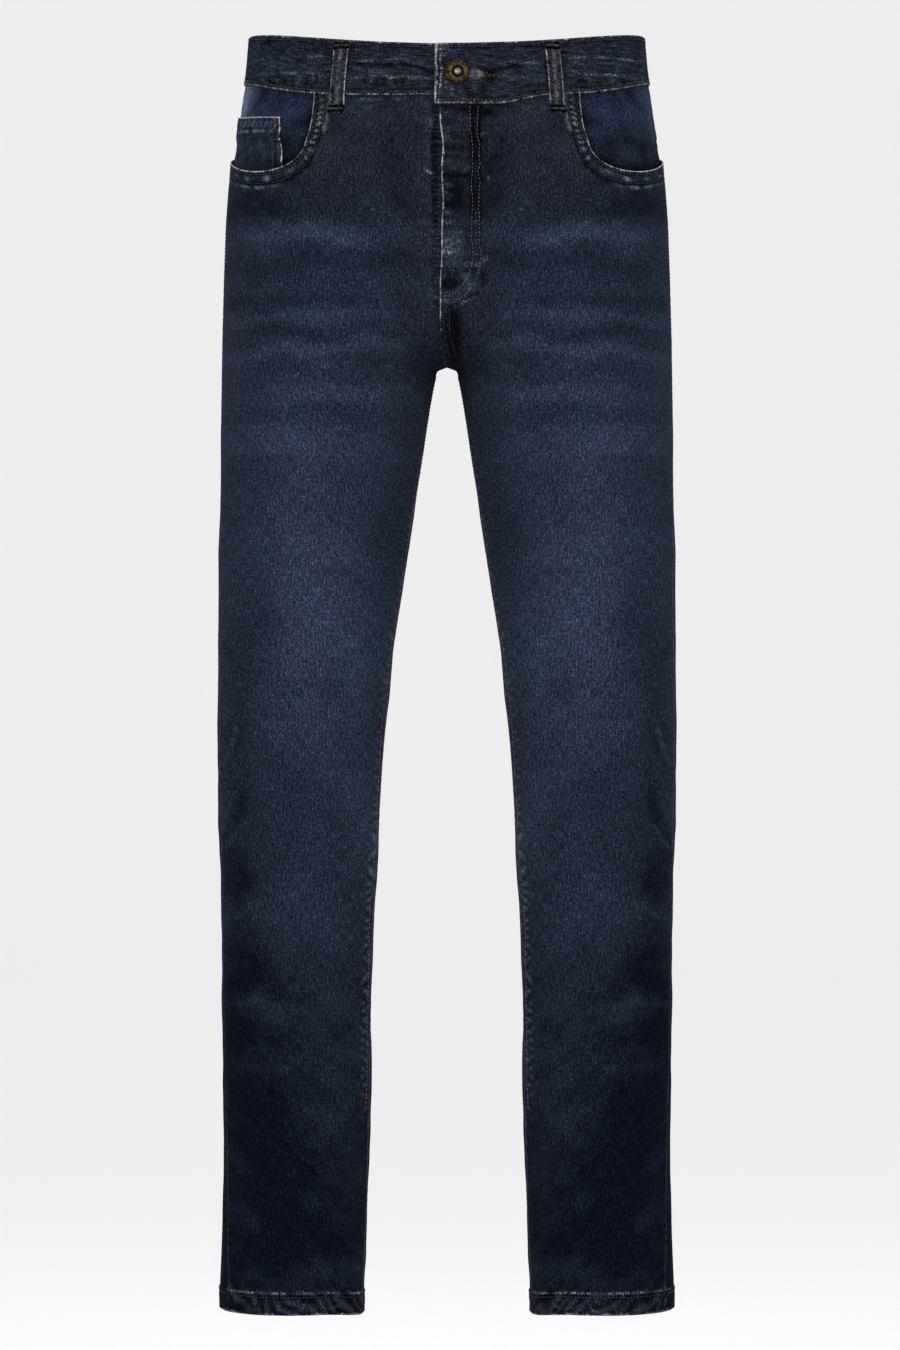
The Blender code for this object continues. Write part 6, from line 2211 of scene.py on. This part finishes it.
@dataclass
class BeltLoops:
    """Folded strips sewn over the band, bowed a little between their ends.

    Attributes:
        width: a loop's width.
        thick: its thickness.
        below: how far the front ones reach below the band.
        below_back: the same for the back ones.
        rest: the gap under a loop's ends.
        bulge: how far its middle bows out.
        step_down: the height over which it comes off the band's face.
    """

    width: float = 12.2 * MM
    thick: float = 1.5 * MM
    below: float = 15.5 * MM
    below_back: float = 12 * MM
    rest: float = 0.45 * MM
    bulge: float = 1.0 * MM
    step_down: float = 4 * MM

    def build(self, place: LoopPlace, denim: bpy.types.Material, sewing: Sewing) -> bpy.types.Object:
        """Makes one loop and sews its two rows and its bartacks.

        Args:
            place: where it sits.
            denim: the denim finish.
            sewing: takes its stitches.

        Returns:
            The loop.
        """
        top = float(CUT.band_top(np.array(place.top), place.face is Face.BACK)) - CUT.gap
        seam = float(CUT.band_foot(np.array(place.foot), place.face, place.side))
        foot = seam - (self.below_back if place.face is Face.BACK else self.below)
        fall = graded(56 * MM, 1.7 * MM, low=(5 * MM, 0.8 * MM), high=(5 * MM, 0.8 * MM))
        height = top + (foot - top) * fall
        across = place.top + (place.foot - place.top) * fall
        depth = skin_depth(across, height, place.face)
        normal = normals_at(across, depth, height)
        normal[:, 0] *= place.side.value
        normal[:, 2] = 0.0
        normal /= np.linalg.norm(normal, axis=-1, keepdims=True)
        over_band = smooth_step((height - seam + self.step_down) / self.step_down)
        bulge = np.sin(np.pi * unit((height - seam) / (top - seam)))
        out = self.rest + 1.0 * MM * over_band + self.bulge * bulge + self.thick
        along = np.stack([-normal[:, 1], normal[:, 0], 0 * height], axis=-1)
        middle = np.stack([place.side.value * across, depth, height], axis=-1) + normal * out[:, None]
        part = graded(self.width, 1.0 * MM, low=(1 * MM, 0.5 * MM), high=(1 * MM, 0.5 * MM)) - 0.5
        end = np.minimum(height - foot, top - height)
        flare = 1 + 0.17 * hump(end, 0, 6) - 0.06 * rise(end, 0, 10)
        off = part * self.width * flare[:, None]
        point = middle[:, None] + along[:, None] * off[..., None]
        cloth = Cloth(point, np.broadcast_to(normal[:, None], point.shape).copy(), off + 0.5,
                      np.broadcast_to(height[:, None], off.shape))
        from_side = self.width / 2 * flare[:, None] - np.abs(off)
        from_end = np.minimum(height - foot, top - height)[:, None] + 0 * off
        sewn = bell(from_side - LOOP_ROW, 0.8 * MM)
        seed = 151 + 7 * LOOP_PLACES.index(place)
        ripple = 0.16 * MM * Waves(9, seed).at(cloth.v, 3 * off) * between(from_side, -1000, 1000, 1000)
        relief = 0.30 * MM * hump(off, 0, 1.7) - 0.28 * MM * sewn + ripple + 0.4 * MM * hump(from_end, 3, 2)
        cloth.out = relief
        cloth.thick = np.full(off.shape, self.thick)
        high, low = rubbed_highs_shaded_lows(relief - 0.1 * MM, 0.4 * MM)
        tucks = between(from_end, 1.2, 6.2, 1.6)
        cloth.wear = (0.55 - 0.55 * tucks + 0.25 * high + 0.72 * hump(off, 0, 2.2) * (1 - tucks)
                      + 0.30 * Waves(9, seed + 1).at(cloth.v, off))
        cloth.edge = unit(0.60 * hump(from_side, 0, 0.6) * (1 - 0.7 * tucks) + 0.20 * hump(from_end, 0, 0.6))
        # Painted shade in its hollows, in the dents of its sewing and at its tucked, sewn-down ends.
        cloth.shade = unit(0.30 * low + 0.60 * sewn + 0.95 * tucks + 0.5 * drop(from_end, 8, 6))
        cloth.soil = 0.1 + 0 * off
        piece = cloth_piece(place.name, cloth, denim)
        face = cloth.face_points()
        for sign in (-1, 1):
            column = int(np.argmin(np.abs(off[len(off) // 2] - sign * (self.width / 2 - LOOP_ROW))))
            sewing.row(face[3:-3, column], cloth.normal[3:-3, column], seed=seed + sign)
        for row in (int(np.argmin(np.abs(fall - 0.055))), int(np.argmin(np.abs(fall - 0.945)))):
            sewing.tack(face[row, 2], face[row, -3], normal[row], 2.2 * MM)
        return piece


@dataclass
class WaistButton:
    """The shank button: a rolled rim, a sunk ring and a raised post, on the band's upper end.

    Attributes:
        across: distance of its middle from the centre.
        height: its height.
        profile: radius and distance out from the band, in millimetres, with how bright it is rubbed.
        post: the same for the raised post in its middle.
        spin: points round it.
    """

    across: float = 8.5 * MM
    height: float = -17.2 * MM
    profile: tuple[tuple[float, float, float], ...] = (
        (0.0, 0.0, 0.0), (3.6, 0.0, 0.0), (4.2, 0.2, 0.0), (4.3, 0.8, 0.0), (8.6, 0.8, 0.0), (9.6, 1.0, 0.0),
        (10.1, 1.5, 0.0), (10.3, 2.2, 0.1), (10.1, 2.8, 0.2), (9.7, 3.2, 0.3), (9.2, 3.3, 0.15), (8.8, 3.15, 0.35),
        (7.6, 3.25, 0.5), (6.4, 3.4, 0.6), (5.6, 3.4, 0.75), (5.1, 3.1, 0.5), (4.7, 2.5, 0.0), (4.45, 1.9, 0.0),
        (4.0, 1.55, 0.0), (3.4, 1.5, 0.0), (2.9, 1.6, 0.0),
    )
    post: tuple[tuple[float, float, float], ...] = (
        (0.0, 1.4, 0.0), (2.5, 1.4, 0.0), (2.6, 2.3, 0.3), (2.5, 2.9, 0.8), (2.2, 3.2, 1.0), (1.8, 3.25, 0.6),
        (1.5, 3.0, 0.2), (1.2, 2.95, 0.3), (0.9, 3.25, 0.9), (0.5, 3.45, 1.0), (0.0, 3.5, 1.0),
    )
    spin: int = 72

    def turned(self, name: str, profile: tuple[tuple[float, float, float], ...], base: Array, normal: Array,
               along: Array, up: Array) -> bpy.types.Object:
        """A profile spun about the button's axis, closed at both ends."""
        data = np.array(profile)
        if data[-1, 0] > 0:
            data = np.vstack([data, [0.0, data[-1, 1], 0.0]])
        turn = np.arange(self.spin) * 2 * math.pi / self.spin
        ring = np.cos(turn)[:, None] * along + np.sin(turn)[:, None] * up
        body = data[1:-1]
        grid = base + normal * body[:, None, 1:2] * MM + ring[None] * body[:, None, 0:1] * MM
        points = np.concatenate([[base + normal * data[0, 1] * MM], grid.reshape(-1, 3),
                                 [base + normal * data[-1, 1] * MM]])
        rows = len(body)
        index = 1 + np.arange(rows * self.spin).reshape(rows, self.spin)
        after = np.roll(index, -1, axis=1)
        quads = np.stack([index[:-1], after[:-1], after[1:], index[1:]], axis=-1).reshape(-1, 4)
        none = np.full(self.spin, -1)
        first = np.stack([np.zeros(self.spin, int), after[0], index[0], none], axis=-1)
        last = np.stack([np.full(self.spin, len(points) - 1), index[-1], after[-1], none], axis=-1)
        rub = np.concatenate([[data[0, 2]], np.repeat(body[:, 2], self.spin), [data[-1, 2]]])
        return make_mesh(name, points, np.concatenate([quads, first, last]), None, {"wear": rub})

    def build(self, brass: bpy.types.Material, steel: bpy.types.Material, band: Surface) -> bpy.types.Object:
        """Makes the button square to the band's face.

        Args:
            brass: the cap's finish.
            steel: the post's finish.
            band: the band's face.

        Returns:
            The cap.
        """
        depth = skin_depth(np.array([self.across]), np.array([self.height]))
        normal = normals_at(np.array([self.across]), depth, np.array([self.height]))[0]
        point = np.array([[self.across, depth[0], self.height]])
        laid, _ = band.lay(point, normal[None])
        along = np.array([-normal[1], normal[0], 0.0]) / np.hypot(normal[0], normal[1])
        up = np.cross(normal, along)
        base = laid[0] + normal * 0.1 * MM
        cap = self.turned("button_cap", self.profile, base, normal, along, up)
        dress(cap, brass, ["button"])
        post = self.turned("button_post", self.post, base, normal, along, up)
        dress(post, steel)
        return cap


# ---------------------------------------------------------------- where the sewing goes


@dataclass
class SeamLines:
    """Lays every row of sewing on the finished pieces.

    Attributes:
        fronts: the front pieces by side.
        backs: the back pieces by side.
        band: the waistband and its cloth.
        dark: takes the dark thread.
        rust: takes the rust-brown thread.
        grey: takes the pale grey thread.
        rope: takes the inseam's thick stitches.
    """

    fronts: dict[Side, dict[str, object]]
    backs: dict[Side, dict[str, object]]
    band: bpy.types.Object
    band_cloth: Cloth
    dark: Sewing
    rust: Sewing
    grey: Sewing
    rope: Sewing

    def on_panel(self, form: PanelForm, surface: Surface, u: Array, v: Array) -> tuple[Array, Array]:
        """Points of a face at distances from the side seam and heights."""
        inside = (u > 0) & (u < form.width(v))
        point, normal = form.place(u[inside] / form.width(v[inside]), v[inside])
        return surface.lay(point, normal)

    def sew(self, sewing: Sewing, laid: tuple[Array, Array], seed: int = 1, slant: float = 0.0) -> None:
        """Adds a row where the line met cloth."""
        if len(laid[0]) > 2:
            sewing.row(laid[0], laid[1], seed=seed, slant=slant)

    def mouths(self, panels: FrontPanels) -> None:
        """Two rows round each pocket mouth."""
        for side, pieces in self.fronts.items():
            surface = Surface(pieces["front"])
            for n, offset in enumerate(panels.mouth_rows):
                u, v = panels.mouth_line(pieces["form"], offset)
                foot = CUT.band_foot(np.array(110 * MM), Face.FRONT, side)
                keep = v < foot - 1.5 * MM
                self.sew(self.dark, self.on_panel(pieces["form"], surface, u[keep], v[keep]), 11 + n)

    def fly(self) -> None:
        """The fly's two rows, straight down and then curving in to its edge, and its bartacks."""
        pieces = self.fronts[Side.LEFT]
        form, surface = pieces["form"], Surface(pieces["front"])
        for n, across in enumerate(FLY_ROWS):
            straight = np.linspace(-44 * MM, -166 * MM, 60)
            turn = np.linspace(0, math.pi / 2, 40)
            wide, tall = across + 1.5 * MM, (31 + 5 * n) * MM
            x = np.concatenate([np.full(60, across), across - wide * (1 - np.cos(turn))])
            z = np.concatenate([straight, -166 * MM - tall * np.sin(turn)])
            x = x + 0.7 * MM * Waves(22, 88 + n).along(z) - 2.2 * MM * hump(z, -58, 14)
            self.front_line(form, surface, x, z, self.grey, 21 + n)
        z = np.linspace(-206 * MM, CROTCH + 6 * MM, 40)
        for n, off in enumerate((2.6 * MM, 7.4 * MM)):
            x = CUT.fly_edge_at(Side.LEFT, z) + off
            self.front_line(form, surface, x, z, self.dark, 25 + n)
        for height in (-171 * MM, -174 * MM, -177 * MM):
            x = np.linspace(-3.5 * MM, 7 * MM, 12)
            self.front_line(form, surface, x, np.full(12, height), self.dark, 29)

    def front_line(self, form: PanelForm, surface: Surface, x: Array, z: Array, sewing: Sewing, seed: int) -> None:
        """A row on a front, by distances from the middle and heights."""
        depth = skin_depth(x, z)
        point = np.stack([x * form.side.value, depth, z], axis=-1)
        normal = normals_at(x, depth, z)
        normal[:, 0] *= form.side.value
        self.sew(sewing, surface.lay(point, normal), seed)

    def legs(self) -> None:
        """Rust thread down the inseam and at the side seam, and the hems' row."""
        for side in Side:
            front, back = self.fronts[side], self.backs[side]
            form, surface = front["form"], Surface(front["front"])
            v = np.linspace(CROTCH - 14 * MM, -1010 * MM, 420)
            self.sew(self.rust, self.on_panel(form, surface, form.width(v) - 1.6 * MM, v), 31)
            v = np.linspace(CROTCH - 70 * MM, -865 * MM, 260)
            self.sew(self.rope, self.on_panel(form, surface, form.width(v) - 9.0 * MM, v), 37, 0.85)
            v = np.linspace(-100 * MM, -660 * MM, 260)
            self.sew(self.rust, self.on_panel(form, surface, 0 * v + 1.4 * MM, v), 33)
            hem = CUT.hem_foot + HEM_SEWING
            for pieces, face in ((front, "front"), (back, "back")):
                u = np.linspace(1.5 * MM, pieces["form"].width(np.array(hem)) - 1.5 * MM, 160)
                share = u / pieces["form"].width(np.array(hem))
                v = CUT.hem_foot_at(share) + HEM_SEWING
                self.sew(self.rust, self.on_panel(pieces["form"], Surface(pieces[face]), u, v), 35)

    def backs_rows(self, panels: BackPanels) -> None:
        """Double rows under the yokes, down the centre back and round the patch pockets."""
        for side in Side:
            pieces = self.backs[side]
            form = pieces["form"]
            surface = Surface(pieces["back"])
            share = np.linspace(0.004, 0.996, 180)
            for n, off in enumerate(DOUBLE_ROWS):
                v = CUT.yoke_side + (CUT.yoke_centre - CUT.yoke_side) * share - off
                self.sew(self.dark, self.on_panel(form, surface, share * form.width(v), v), 41 + n)
                if side is Side.LEFT:
                    v = np.linspace(-16 * MM, CROTCH + 12 * MM, 180)
                    both = Surface(pieces["back"], pieces["yoke"])
                    self.sew(self.dark, self.on_panel(form, both, form.width(v) - off, v), 43 + n)
            pocket = Surface(pieces["pocket"])
            for n, inset in enumerate(PATCH_ROWS):
                line = self.pocket_line(panels, form, inset)
                self.sew(self.dark, pocket.lay(*line), 45 + n)
            for n, down in enumerate(PATCH_TOP_ROWS):
                across = np.linspace(-0.94, 0.94, 80)
                place = panels.pocket_place(form, across, np.full(80, down / (panels.side + panels.point)))
                self.sew(self.dark, pocket.lay(*form.place(*place)), 47 + n)

    def pocket_line(self, panels: BackPanels, form: PanelForm, inset: float) -> tuple[Array, Array]:
        """A line just inside a patch pocket's sides and foot."""
        half = 1 - inset / panels.foot_half
        foot = 1 - inset / (panels.side + panels.point / 2)
        down = np.linspace(0.02, foot, 70)
        over = np.linspace(-half, half, 90)
        across = np.concatenate([np.full(70, -half), over, np.full(70, half)])
        fall = np.concatenate([down, np.full(90, foot), down[::-1]])
        return form.place(*panels.pocket_place(form, across, fall))

    def waist(self) -> None:
        """Rows just inside the band's two edges."""
        face, normal = self.band_cloth.face_points(), self.band_cloth.normal
        height = self.band_cloth.point[..., 2]
        for n, line in enumerate((height[0] + BAND_ROWS[0], height[-1] - BAND_ROWS[1])):
            row = np.argmin(np.abs(height - line), axis=0)
            pick = np.arange(height.shape[1])
            points, outs = face[row, pick].copy(), normal[row, pick]
            points[:, 2] = line
            self.sew(self.dark if n else self.rust, (points[2:-2], outs[2:-2]), 51 + n)

    def coin(self) -> None:
        """The coin pocket's band row, its side rows and its rust bartack."""
        pieces = self.fronts[Side.RIGHT]
        form, surface = pieces["form"], Surface(pieces["coin"])
        x = np.linspace(181 * MM, 145 * MM, 60)
        z = (-51.4 * MM - 6.4 * MM * (186 * MM - x) / (50 * MM))
        self.sew(self.dark, surface.lay(*form.place(form.share_at(x, z), z)), 61)
        z = np.linspace(-60 * MM, -86 * MM, 40)
        for n, edge in enumerate((138.8 * MM, 143.4 * MM)):
            share = form.share_at(np.full(40, edge), z)
            self.sew(self.dark, surface.lay(*form.place(share, z)), 63 + n)
        z = np.array([-50.6 * MM, -58.4 * MM])
        points, normals = surface.lay(*form.place(form.share_at(np.full(2, 141.8 * MM), z), z))
        if len(points) == 2:
            self.rust.tack(points[0], points[1], normals[0] / np.linalg.norm(normals[0]), 4.6 * MM, 12)

    def buttonhole(self) -> None:
        """The buttonhole left of the button: close grey threads round a slit, and rust ones at its end."""
        surface = Surface(self.band)
        turn = np.linspace(0, 2 * math.pi, 44, endpoint=False)
        for wide, tall, sewing in ((7.0 * MM, 3.2 * MM, self.grey), (5.6 * MM, 1.6 * MM, self.grey)):
            x, z = 21.5 * MM + wide * np.cos(turn), -18.8 * MM + tall * np.sin(turn)
            depth = skin_depth(np.abs(x), z)
            points, outs = surface.lay(np.stack([x, depth, z], axis=-1), normals_at(x, depth, z))
            outs /= np.linalg.norm(outs, axis=1, keepdims=True)
            radial = np.stack([np.cos(turn), 0 * turn, np.sin(turn)], axis=-1)
            sewing.middles.append(points)
            sewing.alongs.append(radial * 1.1)
            sewing.outs.append(outs)
        tail = np.linspace(0, 1, 30)
        for n, spread in enumerate((-3.4, -1.6, 0.0, 1.8, 3.2)):
            x = (24.5 + 15.0 * tail) * MM
            z = (-18.9 - 1.2 * tail + spread * (1 - tail) ** 1.4 + 0.3 * np.sin(7 * tail + n)) * MM
            self.band_line(surface, x, z, self.rust, 71 + n)
        for n in range(7):
            x = np.linspace(9 + 1.5 * n, 37 - 0.6 * n, 24) * MM
            z = (-37.4 - 1.3 * n) * MM - 0.11 * (x - 9 * MM)
            self.band_line(surface, x, z, (self.dark, self.grey, self.dark)[n % 3], 81 + n)

    def band_line(self, surface: Surface, x: Array, z: Array, sewing: Sewing, seed: int) -> None:
        """A row on the band's front, by distances from the middle and heights."""
        depth = skin_depth(np.abs(x), z)
        self.sew(sewing, surface.lay(np.stack([x, depth, z], axis=-1), normals_at(x, depth, z)), seed)


# ---------------------------------------------------------------- the room


@dataclass
class Studio:
    """A pale floor and backdrop, soft lights, and the camera at the photograph's angle.

    Attributes:
        distance: the camera's distance.
        pixel: millimetres a pixel at the middle of the jeans, for a picture 1350 high.
        middle: the camera's height.
        aside: how far it stands to the side.
        floor: the floor's height.
        picture_height: the picture's height in pixels.
    """

    distance: float = 4.6
    pixel: float = 0.83 * MM
    middle: float = -0.5055
    aside: float = 0.0025
    floor: float = -1.16
    picture_height: int = 1350

    def camera(self) -> None:
        """A level camera with no shift, its lens from the picture's height at the jeans."""
        data = bpy.data.cameras.new("camera")
        data.sensor_fit = "AUTO"
        data.sensor_width = 36.0
        data.lens = 36.0 * self.distance / (self.picture_height * self.pixel)
        data.clip_end = 60.0
        camera = bpy.data.objects.new("camera", data)
        camera.location = (self.aside, -self.distance, self.middle)
        camera.rotation_euler = (math.pi / 2, 0.0, 0.0)
        bpy.context.scene.collection.objects.link(camera)
        bpy.context.scene.camera = camera

    def room(self) -> None:
        """Floor and backdrop as one swept sheet: flat, then a quarter circle, then upright."""
        radius, reach, wide = 2.0, 7.0, 12.0
        turn = np.linspace(0, math.pi / 2, 24)
        y = np.concatenate([[-30.0], reach + radius * np.sin(turn), [reach + radius]])
        z = np.concatenate([[0.0], radius * (1 - np.cos(turn)), [7.0]]) + self.floor
        x = np.linspace(-wide, wide, 3)
        grid = np.stack(np.broadcast_arrays(x[None, :], y[:, None], z[:, None]), axis=-1)
        index = np.arange(grid.shape[0] * 3).reshape(-1, 3)
        quads = np.stack([index[:-1, :-1], index[:-1, 1:], index[1:, 1:], index[1:, :-1]], axis=-1).reshape(-1, 4)
        sheet = make_mesh("studio_floor", grid.reshape(-1, 3), quads)
        bench = NodeBench("studio paper")
        bench.surface(Base_Color=(0.30, 0.30, 0.30), Emission_Color=(1.0, 1.0, 1.0), Emission_Strength=0.515,
                      Roughness=0.9, Specular_IOR_Level=0.1)
        sheet.data.materials.append(bench.material)

    def light(self, name: str, place: tuple[float, float, float], size: tuple[float, float], power: float,
              target: tuple[float, float, float] = (0.0, 0.0, -0.5), spread: float = 180.0) -> None:
        """A soft rectangular light turned to a target, its beam so many degrees wide."""
        data = bpy.data.lights.new(name, "AREA")
        data.shape = "RECTANGLE"
        data.size, data.size_y = size
        data.energy = power
        data.spread = math.radians(spread)
        lamp = bpy.data.objects.new(name, data)
        lamp.location = place
        lamp.rotation_euler = (Vector(target) - Vector(place)).to_track_quat("-Z", "Y").to_euler()
        bpy.context.scene.collection.objects.link(lamp)

    def build(self) -> None:
        """Sets up the room, the lights, the even light of the surroundings and the camera."""
        self.room()
        for name, aside in (("key_left", -2.6), ("key_right", 2.6)):
            self.light(name, (aside, -3.4, 0.9), (1.6, 2.6), 79.0)
        self.light("above", (0.0, -0.6, 2.6), (3.0, 2.4), 50.0)
        self.light("behind", (0.0, 4.6, 1.5), (2.4, 0.9), 12.0, spread=34.0)
        self.light("wall", (0.0, 5.0, 3.6), (4.0, 1.5), 44.0, target=(0.0, 9.0, 0.6))
        world = bpy.data.worlds.new("studio")
        world.use_nodes = True
        sky = world.node_tree.nodes["Background"].inputs
        sky["Color"].default_value = (1.0, 1.0, 1.0, 1.0)
        sky["Strength"].default_value = 0.88
        bpy.context.scene.world = world
        bpy.context.scene.view_settings.view_transform = "Standard"
        self.camera()


# ---------------------------------------------------------------- putting it together


def flat_cut(obj: bpy.types.Object) -> tuple[float, float, float]:
    """Width, length and area of a panel's flat cut, from its own weave coordinates and half its surface."""
    mesh = obj.data
    area = np.empty(len(mesh.polygons), np.float32)
    mesh.polygons.foreach_get("area", area)
    uv = np.empty(len(mesh.loops) * 2, np.float32)
    mesh.uv_layers["cloth"].data.foreach_get("uv", uv)
    low, high = uv.reshape(-1, 2).min(axis=0), uv.reshape(-1, 2).max(axis=0)
    return float(high[0] - low[0]), float(high[1] - low[1]), float(area.sum() / 2)


def declare_cloth(obj: bpy.types.Object) -> None:
    """Works out the width, length and area of a piece's flat cut; nothing is done with them."""
    width, length, area = flat_cut(obj)


def main() -> None:
    """Loads the frame and builds the jeans round it, piece by piece."""
    logging.basicConfig(level=logging.INFO, format="%(name)s: %(message)s")
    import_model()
    denim = DenimFinish().build()
    facing = DenimFinish(name="facing denim", washed=(0.030, 0.041, 0.080)).build()
    loop_denim = DenimFinish(name="loop denim", washed=(0.034, 0.0355, 0.044),
                             pale=(0.105, 0.108, 0.118)).build()
    dark_thread = ThreadFinish("dark thread", (0.016, 0.017, 0.022), (0.075, 0.070, 0.070)).build()
    rust_thread = ThreadFinish("rust thread", (0.060, 0.026, 0.015), (0.13, 0.075, 0.050)).build()
    grey_thread = ThreadFinish("grey thread", (0.060, 0.058, 0.062), (0.165, 0.155, 0.155)).build()
    inseam_thread = ThreadFinish("inseam thread", (0.032, 0.031, 0.036), (0.110, 0.106, 0.106)).build()
    brass = MetalFinish("antique brass", (0.110, 0.074, 0.030), (0.012, 0.008, 0.004), 0.36).build()
    steel = MetalFinish("grey post", (0.26, 0.29, 0.32), (0.04, 0.04, 0.045), 0.30).build()

    front_panels, back_panels = FrontPanels(), BackPanels()
    fronts = {side: front_panels.build(side, denim, facing) for side in Side}
    backs = {side: back_panels.build(side, denim) for side in Side}
    waistband = Waistband()
    band = waistband.build(denim)
    dark, rust, grey = Sewing(Stitch()), Sewing(Stitch()), Sewing(Stitch())
    rope = Sewing(Stitch(length=3.4 * MM, radius=0.62 * MM, pitch=3.7 * MM))
    loops = BeltLoops()
    loop_pieces = [loops.build(place, loop_denim, dark) for place in LOOP_PLACES]
    WaistButton().build(brass, steel, Surface(band))

    seams = SeamLines(fronts, backs, band, waistband.laid, dark, rust, grey, rope)
    seams.mouths(front_panels)
    seams.fly()
    seams.legs()
    seams.backs_rows(back_panels)
    seams.waist()
    seams.coin()
    seams.buttonhole()
    for sewing, name, thread in ((dark, "dark", dark_thread), (rust, "rust", rust_thread),
                                 (grey, "grey", grey_thread), (rope, "inseam", inseam_thread)):
        dress(sewing.build("sewing_" + name), thread)

    for side in Side:
        pieces = {**fronts[side], **backs[side]}
        for name in ("front", "facing", "coin", "back", "yoke", "pocket"):
            if name in pieces:
                declare_cloth(pieces[name])
    for piece in (band, *loop_pieces):
        declare_cloth(piece)

    Studio().build()


if __name__ == "__main__":
    main()
